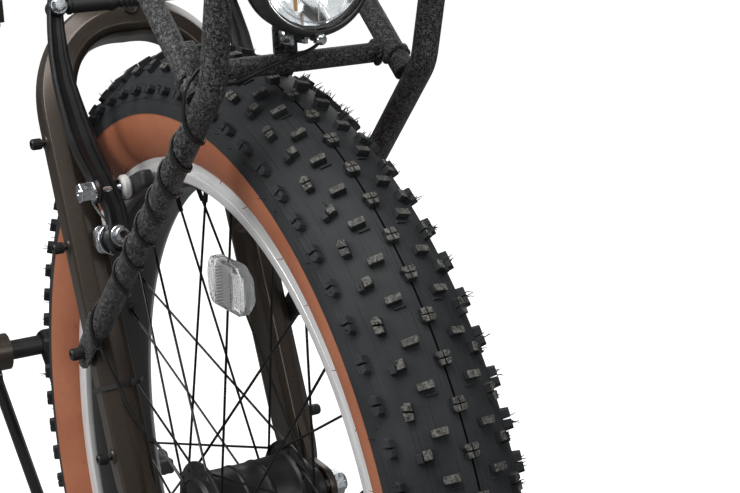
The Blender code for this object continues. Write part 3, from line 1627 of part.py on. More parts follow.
def make_hinge():
    z = hinge_height()
    half = HINGE_PLATE_HEIGHT / 2
    pin = cylinder(
        (FRAME_HINGE_X, HINGE_PIN_OFFSET, z - half - 0.001),
        (FRAME_HINGE_X, HINGE_PIN_OFFSET, z + half),
        HINGE_PIN_RADIUS,
        10,
    )
    head = cylinder(
        (FRAME_HINGE_X, HINGE_PIN_OFFSET, z + half - 0.004 + GAP),
        (FRAME_HINGE_X, HINGE_PIN_OFFSET, z + half + 0.001),
        0.0080,
        8,
    )
    finish("frame_hinge_pin", fuse(pin, head), "bright_steel", "rear_frame")
    x = FRAME_HINGE_X + HINGE_GAP / 2 + LATCH_PIVOT_X
    outer = LATCH_PIVOT_Y
    path = [
        (x - 0.0125, -outer - 0.0010),
        (x - 0.020, -outer - 0.0022),
        (x - 0.040, -outer - 0.0040),
        (x - 0.070, -outer - 0.0050),
        (x - LATCH_LENGTH, -outer - 0.0010),
    ]
    lever = bar_along(
        [Vector((px, py, z)) for px, py in path],
        [0.009, 0.009, 0.010, 0.009, 0.006],
        [0.030, 0.033, 0.030, 0.027, 0.020],
        Z_AXIS,
        3.4,
        8,
    )
    cheeks = [
        bar_along(
            [
                Vector((x + 0.006, -outer, z + lift)),
                Vector((x - 0.006, -outer, z + lift)),
                Vector((x - 0.022, -outer - 0.002, z + lift)),
            ],
            [0.009, 0.013, 0.0085],
            [LATCH_CHEEK_THICKNESS] * 3,
            Z_AXIS,
            4.5,
            8,
        )
        for lift in (-LATCH_CHEEK, LATCH_CHEEK)
    ]
    pin = cylinder(
        (x, -outer, z - LATCH_CHEEK - 0.002),
        (x, -outer, z + LATCH_CHEEK + 0.002),
        LATCH_PIN_RADIUS,
        8,
    )
    lever = fuse(lever, *cheeks, pin)
    finish("frame_latch_lever", lever, "black_alloy", "frame_latch")


def stay_path(kind):
    """The left chainstay or seatstay, from the frame to the dropout."""
    end_side = DROPOUT_SPACING + DROPOUT_THICKNESS / 2
    if kind == "chain":
        start = BRACKET + Vector((-0.010, BRACKET_WIDTH / 2 - 0.012, -0.002))
        end = REAR_AXLE + Vector((0.030, end_side, -0.004))
        bow = CHAINSTAY_BOW
    else:
        start = STAY_TOP + Y_AXIS * 0.008
        end = STAY_BRAKE.at(0.045, 0, end_side)
        bow = SEATSTAY_BOW
    points = [start]
    for t, side in bow:
        point = start.lerp(end, t)
        point.y = side
        points.append(point)
    points.append(end)
    return rounded(points, 0.04, 1)


def rear_dropout(side):
    outline = arc((0, 0), 0.019, 110, 330, 8)
    outline += [(0.036, -0.012), (0.044, 0.004), (0.046, 0.030), (0.036, 0.046), (0.024, 0.040)]
    middle = side * (DROPOUT_SPACING + DROPOUT_THICKNESS / 2)
    return plate(
        outline, REAR_AXLE + Y_AXIS * middle, X_AXIS, Z_AXIS, DROPOUT_THICKNESS
    )


def make_rear_frame():
    rear, front = beam_ends()
    z = hinge_height()
    hinge = Vector((FRAME_HINGE_X - HINGE_GAP / 2 - 0.002, 0, z))
    seat_tube = cylinder(BRACKET, SEAT_TUBE_TOP, SEAT_TUBE_RADIUS, 16)
    shell = cylinder(
        BRACKET - Y_AXIS * BRACKET_WIDTH / 2,
        BRACKET + Y_AXIS * BRACKET_WIDTH / 2,
        BRACKET_RADIUS,
        16,
    )
    at_seat = (2 * SEAT_TUBE_RADIUS, BEAM_HEIGHT)
    at_hinge = (BEAM_WIDTH, BEAM_HEIGHT + 0.006)
    beam = beam_part(rear, hinge, at_seat, at_hinge)
    solids = [seat_tube, shell, beam, hinge_plate(-1), *hinge_barrels(-1)]
    for kind, radius in (("chain", CHAINSTAY_RADIUS), ("seat", SEATSTAY_RADIUS)):
        stay = tube(stay_path(kind), radius, 2)
        solids += [mirrored(stay), stay]
    for side in (-1, 1):
        solids.append(rear_dropout(side))
        solids.append(brake_post(STAY_BRAKE, side, 0.0))
    keeper = box(
        (0.012, 0.0125, 0.022),
        (FRAME_HINGE_X - HINGE_GAP / 2 - 0.006, -HINGE_PLATE_WIDTH / 2 - 0.00225, z),
    )
    frame = fuse(*solids, keeper)
    lug_half = STAND_TOP_HALF - STAND_LUG_INSET
    lug_front, lug_back = BRACKET.x - 0.004, STAND_PIVOT[0] - 0.012
    lug = box(
        (lug_front - lug_back, 2 * lug_half - 0.002, 0.032),
        ((lug_front + lug_back) / 2, 0, STAND_PIVOT[1] + 0.022),
    )
    eye = cylinder(
        (STAND_PIVOT[0], -lug_half, STAND_PIVOT[1]),
        (STAND_PIVOT[0], lug_half, STAND_PIVOT[1]),
        0.012,
        10,
    )
    frame = fuse(frame, lug, eye)
    post_bore = cylinder(
        BRACKET + SEAT_UP * SEATPOST_BORE_START,
        SEAT_TUBE_TOP + SEAT_UP * 0.05,
        SEATPOST_RADIUS + GAP + SLEEVE_SLACK,
        16,
    )
    spindle_bore = cylinder(
        BRACKET - Y_AXIS * 0.1,
        BRACKET + Y_AXIS * 0.1,
        SPINDLE_RADIUS + BEARING_GAP + SLEEVE_SLACK,
        16,
    )
    stand_bore = cylinder(
        (STAND_PIVOT[0], -0.1, STAND_PIVOT[1]),
        (STAND_PIVOT[0], 0.1, STAND_PIVOT[1]),
        STAND_PIN_RADIUS + BEARING_GAP + BORE_SLACK,
        10,
    )
    frame = cut(
        frame, post_bore, spindle_bore, stand_bore, pin_hole(), axle_hole(REAR_AXLE)
    )
    finish("rear_frame", frame, "bronze_paint", "rear_frame")


# Seat


def seat_back():
    """The direction square to the seat tube, towards the rear."""
    return Vector((-SEAT_UP.z, 0, SEAT_UP.x))


def seat_ear():
    """The middle of the seat clamp's ear, behind its collar."""
    middle = SEAT_TUBE_TOP + SEAT_UP * sum(SEAT_CLAMP_SPAN) / 2
    outer = SEAT_TUBE_RADIUS + SEAT_CLAMP_WALL
    return middle + seat_back() * (outer + SEAT_EAR_BACK)


def make_seat():
    top = SEAT_TUBE_TOP
    inner = SEAT_TUBE_RADIUS + GAP + SLEEVE_SLACK
    outer = SEAT_TUBE_RADIUS + SEAT_CLAMP_WALL
    low, high = SEAT_CLAMP_SPAN
    profile = [(outer, low), (outer, high), (SEATPOST_RADIUS + 0.001, high)]
    profile += [(SEATPOST_RADIUS + 0.001, GAP), (inner, GAP), (inner, low)]
    collar = turned(profile, top, SEAT_UP, 16)
    ear_place = seat_ear()
    ear = box(SEAT_EAR, ear_place, Matrix.Rotation(-SEAT_TILT, 3, "Y"))
    collar = fuse(collar, ear)
    ear_side = ear_place - Y_AXIS * SEAT_LEVER_SIDE
    boss = cylinder(ear_place, ear_side, 0.0042, 8)
    collar = fuse(collar, boss)
    finish("seat_clamp", collar, "black_alloy", "rear_frame")
    pivot = PIVOTS["seat_lever"].location
    forward = -seat_back()
    path = [
        pivot,
        pivot + forward * 0.018 - Y_AXIS * 0.0015,
        pivot + forward * 0.045 - Y_AXIS * 0.0035,
        pivot + forward * 0.062 - Y_AXIS * 0.0025,
    ]
    widths, depths = [0.0075, 0.007, 0.006, 0.005], [0.011, 0.014, 0.016, 0.013]
    lever = bar_along(path, widths, depths, SEAT_UP, 3.2, 8)
    cam = cylinder(pivot - SEAT_UP * 0.0055, pivot + SEAT_UP * 0.0055, 0.0058, 10)
    finish("seat_clamp_lever", fuse(lever, cam), "bright_steel", "seat_lever")
    low = top - SEAT_UP * (SEATPOST_LENGTH - SEATPOST_SHOWN)
    high = top + SEAT_UP * SEATPOST_SHOWN
    post = cylinder(low, high, SEATPOST_RADIUS, 16)
    cradle = box(SADDLE_CRADLE, high + Z_AXIS * 0.002)
    post = fuse(post, cradle)
    rail_height = high.z + RAIL_SEAT
    grooves = []
    for side in (-1, 1):
        grooves.append(
            cylinder(
                (high.x - 0.05, side * RAIL_HALF, rail_height),
                (high.x + 0.05, side * RAIL_HALF, rail_height),
                (RAIL_RADIUS + GAP) / math.cos(math.pi / 8),
                8,
            )
        )
    post = cut(post, *grooves)
    finish("seatpost", post, "black_alloy", "seatpost")
    make_saddle(Vector((high.x, 0, rail_height)))


def make_saddle(clamp):
    """The padded saddle on two rails that run under it to its ends."""
    nose_x = clamp.x + SADDLE_LENGTH * SADDLE_NOSE_SHARE
    base_z = clamp.z + SADDLE_LIFT
    rings = []
    stations = 11
    for i in range(stations):
        t = i / (stations - 1)
        x = nose_x - SADDLE_LENGTH * t
        flare = 1 / (1 + math.exp(-(t - 0.60) * 11))
        width = SADDLE_NOSE + (SADDLE_WIDTH - SADDLE_NOSE) * flare
        end = min(1.0, math.sqrt(max(0.0, 1 - abs(2 * t - 1) ** 7)) + 0.38)
        width *= end
        height = SADDLE_HEIGHT * (0.72 + 0.28 * t) * (0.55 + 0.45 * end)
        lift = 0.010 * (2 * t - 1) ** 2
        ring = []
        for u, v in squircle(width, height, 2.5, 14):
            drop = -SADDLE_CROWN * height * (2 * u / width) ** 2
            if v < 0:
                v *= 0.55
            ring.append(Vector((x, u, base_z + lift + v + drop)))
        rings.append(ring)
    saddle = loft(rings)
    finish("saddle", saddle, "saddle_cover", "seatpost", 60)
    rails = []
    for side in (-1, 1):
        front_side, back_side = side * 0.006, side * 0.030
        path = rounded(
            [
                (nose_x - 0.040, front_side, clamp.z + 0.020),
                (clamp.x + 0.070, side * RAIL_HALF, clamp.z),
                (clamp.x - 0.045, side * RAIL_HALF, clamp.z),
                (clamp.x - 0.085, back_side, clamp.z + 0.020),
            ],
            0.018,
            2,
        )
        rails.append(tube(path, RAIL_RADIUS, 1))
    bridge = box((0.026, 0.034, 0.008), (clamp.x, 0, clamp.z + RAIL_RADIUS + 0.002))
    rails = fuse(bridge, *rails)
    keep = add_object("shadow", bpy.data.objects["saddle"].data.copy())
    keep.matrix_world = Matrix.Translation(PIVOTS["seatpost"].location)
    grown = bake(keep)
    rails = cut(rails, inflated(grown, GAP))
    finish("saddle_rails", rails, "bright_steel", "seatpost")


def inflated(solid, distance):
    """A cutter a little larger than a solid, for a seat with clearance."""
    bm = bmesh.new()
    bm.from_mesh(solid.data)
    bm.normal_update()
    for vert in bm.verts:
        vert.co += vert.normal * distance * 1.5
    bm.to_mesh(solid.data)
    bm.free()
    return solid


# Drive


def sprocket_outline(teeth):
    """A chain wheel's outline, with a point at each root and each tooth tip."""
    pitch_radius = CHAIN_PITCH / (2 * math.sin(math.pi / teeth))
    points = []
    step = 360 / teeth
    for i in range(teeth):
        points.append(polar2(step * i, pitch_radius - TOOTH_ROOT))
        points.append(polar2(step * (i + 0.5), pitch_radius + TOOTH_TIP))
    return points


def polar2(degrees, radius):
    turn = math.radians(degrees)
    return (radius * math.cos(turn), radius * math.sin(turn))


def make_drive():
    spindle = cylinder(
        BRACKET - Y_AXIS * (CRANK_INNER - GAP),
        BRACKET + Y_AXIS * (CRANK_INNER - GAP),
        SPINDLE_RADIUS,
        16,
    )
    finish("bottom_bracket_spindle", spindle, "bright_steel", "crank")
    ring = plate(
        sprocket_outline(RING_TEETH),
        BRACKET - Y_AXIS * CHAIN_LINE,
        X_AXIS,
        Z_AXIS,
        TOOTH_THICKNESS,
    )
    hollow = cylinder(
        BRACKET - Y_AXIS * (CHAIN_LINE + 0.02),
        BRACKET - Y_AXIS * (CHAIN_LINE - 0.02),
        RING_OPENING,
        18,
    )
    ring = cut(ring, hollow)
    spider_side = CHAIN_LINE + TOOTH_THICKNESS / 2
    lugs = []
    for i in range(5):
        direction = polar(72 * i + 54, 1.0)
        start = BRACKET - Y_AXIS * (spider_side + 0.0035)
        lugs.append(
            bar_along(
                [start + direction * 0.004, start + direction * SPIDER_REACH],
                [0.018, 0.011],
                [0.006, 0.006],
                Y_AXIS,
                8,
                4,
            )
        )
    for side, name in ((-1, "right"), (1, "left")):
        arm = crank_arm(side)
        if side < 0:
            boss = cylinder(
                BRACKET - Y_AXIS * (spider_side + GAP),
                BRACKET - Y_AXIS * (CRANK_INNER + 0.004),
                CRANK_BOSS_RADIUS,
                14,
            )
            arm = fuse(arm, boss, *lugs)
            flat = box((0.3, 0.02, 0.3), BRACKET - Y_AXIS * (spider_side + GAP - 0.01))
            bore = cylinder(
                BRACKET - Y_AXIS * 0.05,
                BRACKET - Y_AXIS * CRANK_INNER,
                SPINDLE_RADIUS + GAP + SLEEVE_SLACK,
                16,
            )
            arm = cut(arm, flat, bore)
        finish(f"crank_arm_{name}", arm, "black_alloy", "crank")
    finish("chainring", ring, "black_alloy", "crank")
    make_freewheel()
    make_chain()
    for side, name in ((-1, "right"), (1, "left")):
        finish(f"pedal_{name}", pedal(side), "plastic", f"pedal_{name}")


def crank_arm(side):
    """A tapered arm; the left one points forward and down, the right one back and up."""
    direction = polar(CRANK_ANGLE, 1.0) * side
    inner, outer = CRANK_INNER, CRANK_INNER + CRANK_STEP
    centres, widths = [], []
    for t, lean, width in ((-0.09, 0, 0.026), (0.0, 0, 0.036), (0.12, 0.2, 0.030)):
        centres.append((t, lean))
        widths.append(width)
    for t, lean, width in ((0.5, 0.6, 0.024), (0.88, 0.95, 0.023), (1.0, 1, 0.026), (1.075, 1, 0.018)):
        centres.append((t, lean))
        widths.append(width)
    points = []
    for t, lean in centres:
        y = inner + (outer - inner) * lean + CRANK_THICKNESS / 2
        points.append(BRACKET + direction * CRANK_LENGTH * t + Y_AXIS * side * y)
    depths = [CRANK_THICKNESS] * len(points)
    arm = bar_along(points, widths, depths, Y_AXIS, 3.4, 10)
    eye = pedal_axis(side)
    hole = cylinder(
        eye - Y_AXIS * 0.03, eye + Y_AXIS * 0.03, PEDAL_AXLE_RADIUS + 0.0005, 10
    )
    return cut(arm, hole)


def pedal_axis(side):
    y = CRANK_INNER + CRANK_STEP + CRANK_THICKNESS / 2
    return BRACKET + polar(CRANK_ANGLE, 1.0) * side * CRANK_LENGTH + Y_AXIS * side * y


def pedal(side):
    """A platform pedal: a spindle, a core tube and a cage of two rails."""
    eye = pedal_axis(side)
    start = eye - Y_AXIS * side * (CRANK_THICKNESS / 2 - 0.001)
    inner = eye + Y_AXIS * side * (CRANK_THICKNESS / 2 + 0.006)
    middle = inner + Y_AXIS * side * PEDAL_LENGTH / 2
    end = inner + Y_AXIS * side * PEDAL_LENGTH
    spindle = cylinder(start, end - Y_AXIS * side * 0.004, PEDAL_AXLE_RADIUS, 10)
    core = box((PEDAL_CORE, PEDAL_LENGTH, PEDAL_THICKNESS), middle)
    half = PEDAL_DEPTH / 2
    solids = [spindle, core]
    for x in (-1, 1):
        rail = box(
            (PEDAL_RAIL, PEDAL_LENGTH * 0.86, PEDAL_THICKNESS),
            middle + X_AXIS * x * (half - PEDAL_RAIL / 2),
        )
        solids.append(rail)
    for y in (-1, 1):
        tie = box(
            (PEDAL_DEPTH - 0.004, PEDAL_RAIL, PEDAL_THICKNESS - 0.002),
            middle + Y_AXIS * y * (PEDAL_LENGTH * 0.43 - PEDAL_RAIL / 2),
        )
        solids.append(tie)
    return fuse(*solids)


def make_freewheel():
    centre = REAR_AXLE - Y_AXIS * CHAIN_LINE
    gear = plate(
        sprocket_outline(SPROCKET_TEETH), centre, X_AXIS, Z_AXIS, TOOTH_THICKNESS
    )
    body = cylinder(centre - Y_AXIS * 0.004, centre + Y_AXIS * 0.0075, FREEWHEEL_RADIUS, 16)
    bore = cylinder(
        centre - Y_AXIS * 0.03,
        centre + Y_AXIS * 0.03,
        FREEWHEEL_SEAT + BEARING_GAP + 0.0003,
        16,
    )
    finish("freewheel", cut(fuse(gear, body), bore), "bright_steel", "freewheel")


def chain_loop(offset):
    """The chain's side view: arcs round both wheels joined by two tangents."""
    front = CHAIN_PITCH / (2 * math.sin(math.pi / RING_TEETH)) + offset
    rear = CHAIN_PITCH / (2 * math.sin(math.pi / SPROCKET_TEETH)) + offset
    line = REAR_AXLE - BRACKET
    distance = math.hypot(line.x, line.z)
    base = math.degrees(math.atan2(line.z, line.x))
    lean = math.degrees(math.acos((front - rear) / distance))
    points = arc((BRACKET.x, BRACKET.z), front, base + lean, base + 360 - lean, 16)
    points += arc((REAR_AXLE.x, REAR_AXLE.z), rear, base - lean, base + lean, 8)
    return points


def make_chain():
    """A closed band with a groove on its inner side that the teeth run in."""
    outer = chain_loop(CHAIN_HEIGHT / 2)
    inner = chain_loop(-CHAIN_HEIGHT / 2)
    root = chain_loop(CHAIN_HEIGHT / 2 - 0.0014)
    half = CHAIN_WIDTH / 2
    slot = half - 0.0019
    rings = []
    for points, side in (
        (outer, half),
        (outer, -half),
        (inner, -half),
        (inner, -slot),
        (root, -slot),
        (root, slot),
        (inner, slot),
        (inner, half),
    ):
        rings.append([Vector((x, side - CHAIN_LINE, z)) for x, z in points])
    finish("chain", loop_loft(rings), "bright_steel", "rear_frame")


# Cockpit


def bar_point(side, lift, back):
    clamp = stem_clamp()
    return clamp + Vector((-back, side, lift))


def stem_clamp():
    return steer(STEM_BOTTOM + RACK_STAY_THICKNESS + STEM_HEIGHT * STEM_CLAMP_SHARE, STEM_REACH, 0)


def make_cockpit():
    low = STEM_BOTTOM + RACK_STAY_THICKNESS + GAP
    top = low + STEM_HEIGHT
    collar = cylinder(steer(low, 0, 0), steer(top, 0, 0), STEM_RADIUS, 14)
    clamp = stem_clamp()
    neck = bar_along(
        [steer(low + STEM_HEIGHT * 0.5, 0.008, 0), clamp],
        [0.030, 0.026],
        [0.030, 0.030],
        Y_AXIS,
        3.0,
        12,
    )
    grip = cylinder(
        clamp - Y_AXIS * STEM_CLAMP_HALF,
        clamp + Y_AXIS * STEM_CLAMP_HALF,
        BAR_CLAMP_RADIUS + STEM_CLAMP_WALL,
        14,
    )
    stem = fuse(collar, neck, grip)
    bore = cylinder(
        steer(low - 0.01, 0, 0),
        steer(top - 0.006, 0, 0),
        STEERER_RADIUS + GAP + SLEEVE_SLACK,
        16,
    )
    bar_bore = cylinder(
        clamp - Y_AXIS * 0.05, clamp + Y_AXIS * 0.05, BAR_CLAMP_RADIUS + GAP + 0.0006, 12
    )
    finish("stem", cut(stem, bore, bar_bore), "black_alloy", "fork")
    half = BAR_HALF_WIDTH
    right = [
        (0.0, 0.0, 0.0, BAR_CLAMP_RADIUS),
        (0.028, 0.0, 0.0, BAR_CLAMP_RADIUS),
        (0.045, 0.002, 0.0, BAR_RADIUS + 0.001),
        (0.075, 0.010, 0.002, BAR_RADIUS),
        (0.120, BAR_RISE * 0.80, 0.006, BAR_RADIUS),
        (0.148, BAR_RISE * 0.98, 0.009, BAR_RADIUS),
        (BAR_STRAIGHT, BAR_RISE, BAR_SWEEP * 0.40, BAR_RADIUS),
        (half, BAR_RISE, BAR_SWEEP, BAR_RADIUS),
    ]
    stations = [(-y, z, x, r) for y, z, x, r in reversed(right[1:])] + right
    bar = tube(
        [bar_point(y, z, x) for y, z, x, r in stations],
        BAR_RADIUS,
        2,
        [r for y, z, x, r in stations],
    )
    finish("handlebar", bar, "black_alloy", "fork")
    for side, name in ((-1, "right"), (1, "left")):
        inner, outer = bar_line(side)
        direction = (outer - inner).normalized()
        start = outer - direction * (GRIP_LENGTH - 0.003)
        end = outer + direction * 0.003
        shape = [
            (GRIP_RADIUS + 0.002, 0.0),
            (GRIP_RADIUS + 0.002, 0.004),
            (GRIP_RADIUS - 0.001, 0.010),
            (GRIP_RADIUS, GRIP_LENGTH * 0.5),
            (GRIP_RADIUS - 0.001, GRIP_LENGTH - 0.008),
            (GRIP_RADIUS - 0.001, GRIP_LENGTH),
            (0.0, GRIP_LENGTH),
        ]
        grip = solid_of_revolution([(0.0, 0.0), *shape], start, direction, 12)
        hollow = cylinder(
            start - direction * 0.01,
            outer + direction * (GAP + BORE_SLACK),
            BAR_RADIUS + GAP + GRIP_WALL,
            10,
        )
        finish(f"grip_{name}", cut(grip, hollow), "rubber", "fork")
        make_lever(side, name)


def bar_line(side):
    """The straight outer stretch of the handlebar: inner and outer end."""
    inner = bar_point(side * BAR_STRAIGHT, BAR_RISE, BAR_SWEEP * 0.40)
    outer = bar_point(side * BAR_HALF_WIDTH, BAR_RISE, BAR_SWEEP)
    return inner, outer


def lever_place(side):
    """A lever's perch centre on the bar and its pivot in front of it."""
    inner, outer = bar_line(side)
    direction = (outer - inner).normalized()
    perch = outer - direction * (GRIP_LENGTH + LEVER_PERCH_SPACE)
    forward = (X_AXIS * 0.86 - Z_AXIS * 0.51).normalized()
    forward = (forward - direction * forward.dot(direction)).normalized()
    pivot = perch + forward * LEVER_PIVOT_REACH
    axis = direction.cross(forward).normalized() * side
    return perch, direction, forward, pivot, axis


def make_lever(side, name):
    perch, direction, forward, pivot, axis = lever_place(side)
    clamp = cylinder(perch - direction * 0.008, perch + direction * 0.008, LEVER_PERCH_RADIUS, 12)
    arm = bar_along(
        [perch + forward * 0.010, perch + forward * 0.024, pivot],
        [0.016, 0.015, 0.014],
        [0.015, 0.012, 0.012],
        axis,
        3.2,
        8,
    )
    inward = cylinder(
        pivot - direction * 0.004, pivot - direction * 0.026, 0.0045, 8
    )
    bracket = fuse(clamp, arm, inward)
    bore = cylinder(
        perch - direction * 0.03, perch + direction * 0.03, BAR_RADIUS + GAP + GRIP_WALL, 10
    )
    hole = LEVER_PIVOT_RADIUS + BEARING_GAP + BORE_SLACK
    pivot_bore = cylinder(pivot - axis * 0.02, pivot + axis * 0.02, hole, 8)
    finish(f"lever_bracket_{name}", cut(bracket, bore, pivot_bore), "black_alloy", "fork")
    stations = [
        (0.016, 0.003, 0.012, 0.011),
        (0.026, 0.005, 0.012, 0.010),
        (0.048, 0.013, 0.011, 0.009),
        (LEVER_LENGTH, 0.019, 0.010, 0.009),
        (LEVER_LENGTH + 0.014, 0.024, 0.012, 0.010),
    ]
    points = [pivot + direction * along + forward * out for along, out, w, d in stations]
    blade = bar_along(
        points, [s[2] for s in stations], [s[3] for s in stations], axis, 2.6, 8
    )
    pieces = [cylinder(pivot - axis * 0.0090, pivot + axis * 0.0090, LEVER_PIVOT_RADIUS, 8)]
    for lift in (-1, 1):
        inner_face = pivot + axis * lift * LEVER_EAR_LIFT
        outer_face = pivot + axis * lift * 0.0095
        pieces.append(cylinder(inner_face, outer_face, LEVER_EAR_RADIUS, 10))
        middle = (inner_face + outer_face) / 2
        pieces.append(
            bar_along(
                [middle + direction * 0.001, middle + direction * 0.020 + forward * 0.002],
                [0.011, 0.011],
                [0.0028, 0.0028],
                axis,
                8,
                4,
            )
        )
    pieces.append(
        bar_along(
            [
                pivot + direction * 0.0145 + forward * 0.001,
                pivot + direction * 0.024 + forward * 0.004,
            ],
            [0.0115, 0.0115],
            [0.022, 0.014],
            axis,
            8,
            4,
        )
    )
    blade = fuse(blade, *pieces)
    finish(f"brake_lever_{name}", blade, "black_alloy", f"brake_lever_{name}")


# Centre stand


def make_stand():
    x, z = STAND_PIVOT
    solids = []
    cross = cylinder(
        (x, -STAND_TOP_HALF - STAND_PIN_OUT, z),
        (x, STAND_TOP_HALF + STAND_PIN_OUT, z),
        STAND_PIN_RADIUS,
        10,
    )
    foot_x = x + STAND_FOOT_AHEAD
    for side in (-1, 1):
        top = Vector((x, side * STAND_TOP_HALF, z))
        ankle = Vector((foot_x, side * STAND_FOOT_HALF, 0.012))
        solids.append(
            cylinder(
                (x, side * (STAND_TOP_HALF - STAND_LUG_INSET + GAP), z),
                (x, side * (STAND_TOP_HALF + STAND_PIN_OUT), z),
                STAND_BOSS_RADIUS,
                10,
            )
        )
        solids.append(tube([top, ankle], STAND_LEG_RADIUS, 2))
        foot = box(
            (STAND_FOOT_SIZE * 1.5, STAND_FOOT_SIZE, STAND_FOOT_THICKNESS),
            (foot_x, side * (STAND_FOOT_HALF + 0.002), STAND_FOOT_THICKNESS / 2),
        )
        solids.append(foot)
    finish("centre_stand", fuse(cross, *solids), "black_paint", "stand")


def make_pivots():
    z = hinge_height()
    add_pivot("rear_frame", Vector((0, 0, 0)))
    add_pivot("front_frame", Vector((FRAME_HINGE_X, HINGE_PIN_OFFSET, z)))
    latch_x = FRAME_HINGE_X + HINGE_GAP / 2 + LATCH_PIVOT_X
    add_pivot("frame_latch", Vector((latch_x, -LATCH_PIVOT_Y, z)))
    add_pivot("fork", steer(HEAD_TUBE_BOTTOM, 0, 0))
    add_pivot("front_wheel", FRONT_AXLE)
    add_pivot("rear_wheel", REAR_AXLE)
    add_pivot("crank", BRACKET)
    add_pivot("freewheel", REAR_AXLE - Y_AXIS * CHAIN_LINE)
    for side, name in ((-1, "right"), (1, "left")):
        add_pivot(f"pedal_{name}", pedal_axis(side))
        add_pivot(f"brake_lever_{name}", lever_place(side)[3])
        for place, frame in (("front", FORK_BRAKE), ("rear", STAY_BRAKE)):
            spot = frame.at(
                BRAKE_PIVOT_HEIGHT, frame.plane, side * frame.pivot_side
            )
            add_pivot(f"{place}_brake_{name}", spot)
    add_pivot("seatpost", SEAT_TUBE_TOP)
    lever_side = SEAT_LEVER_SIDE + SEAT_LEVER_OUT
    add_pivot("seat_lever", seat_ear() - Y_AXIS * lever_side)
    add_pivot("stand", Vector((STAND_PIVOT[0], 0, STAND_PIVOT[1])))


clear_scene()
PART = make_collection("folding_bike")
WORKSHOP = make_collection("construction")
PALETTE = {name: make_material(name) for name in MATERIALS}
PIVOTS = {}
make_pivots()
make_wheels()
make_fork()
make_brakes()
make_rack()
make_lamp()
make_lead()
make_front_frame()
make_hinge()
make_rear_frame()
make_seat()
make_drive()
make_cockpit()
make_stand()
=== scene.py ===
import json
import math
from random import Random

import bmesh
import bpy
from mathutils import Matrix, Vector

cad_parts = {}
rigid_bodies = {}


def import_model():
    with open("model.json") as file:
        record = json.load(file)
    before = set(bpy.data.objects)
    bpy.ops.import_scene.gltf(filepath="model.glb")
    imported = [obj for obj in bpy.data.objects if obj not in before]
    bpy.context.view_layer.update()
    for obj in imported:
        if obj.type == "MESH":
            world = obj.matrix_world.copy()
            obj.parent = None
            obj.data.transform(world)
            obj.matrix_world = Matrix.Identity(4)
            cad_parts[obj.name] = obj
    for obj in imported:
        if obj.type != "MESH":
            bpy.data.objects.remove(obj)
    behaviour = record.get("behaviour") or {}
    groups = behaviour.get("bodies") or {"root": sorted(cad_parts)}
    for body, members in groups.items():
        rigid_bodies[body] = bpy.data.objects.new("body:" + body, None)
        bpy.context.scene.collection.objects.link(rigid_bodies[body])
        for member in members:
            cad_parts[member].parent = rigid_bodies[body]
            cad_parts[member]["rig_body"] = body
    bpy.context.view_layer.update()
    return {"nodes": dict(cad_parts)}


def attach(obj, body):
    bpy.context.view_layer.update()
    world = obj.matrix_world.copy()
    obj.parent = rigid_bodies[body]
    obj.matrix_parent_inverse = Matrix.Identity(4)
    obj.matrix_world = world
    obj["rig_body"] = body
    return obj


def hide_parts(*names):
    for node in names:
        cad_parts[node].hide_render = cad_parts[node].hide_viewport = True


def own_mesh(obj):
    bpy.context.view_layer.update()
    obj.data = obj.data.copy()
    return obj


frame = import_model()

# Places and sizes, in metres, in the model's own frame

X = Vector((1, 0, 0))
Y = Vector((0, 1, 0))
Z = Vector((0, 0, 1))
FRONT_AXLE = Vector((0.6075, 0, 0.371))
REAR_AXLE = Vector((-0.6075, 0, 0.371))
CHAINSTAY = 0.445
BRACKET_DROP = 0.066
BRACKET = REAR_AXLE + Vector((math.sqrt(CHAINSTAY**2 - BRACKET_DROP**2), 0, -BRACKET_DROP))
SEAT_LEAN = math.radians(17)
SEAT_UP = Vector((-math.sin(SEAT_LEAN), 0, math.cos(SEAT_LEAN)))
STEER_LEAN = math.radians(20)
STEER_UP = Vector((-math.sin(STEER_LEAN), 0, math.cos(STEER_LEAN)))
STEER_FORWARD = Vector((math.cos(STEER_LEAN), 0, math.sin(STEER_LEAN)))
FORK_RAKE = 0.042
STEER_FOOT = FRONT_AXLE - STEER_FORWARD * FORK_RAKE
SECTION = 0.3188
SIDES = ((-1, "right"), (1, "left"))


def steer(height, forward, side):
    return STEER_FOOT + STEER_UP * height + STEER_FORWARD * forward + Y * side


def by_axle(forward, side, height):
    return FRONT_AXLE + Vector((forward, side, height))


def polar(degrees, radius, side=0.0):
    turn = math.radians(degrees)
    return Vector((radius * math.cos(turn), side, radius * math.sin(turn)))


# Material building


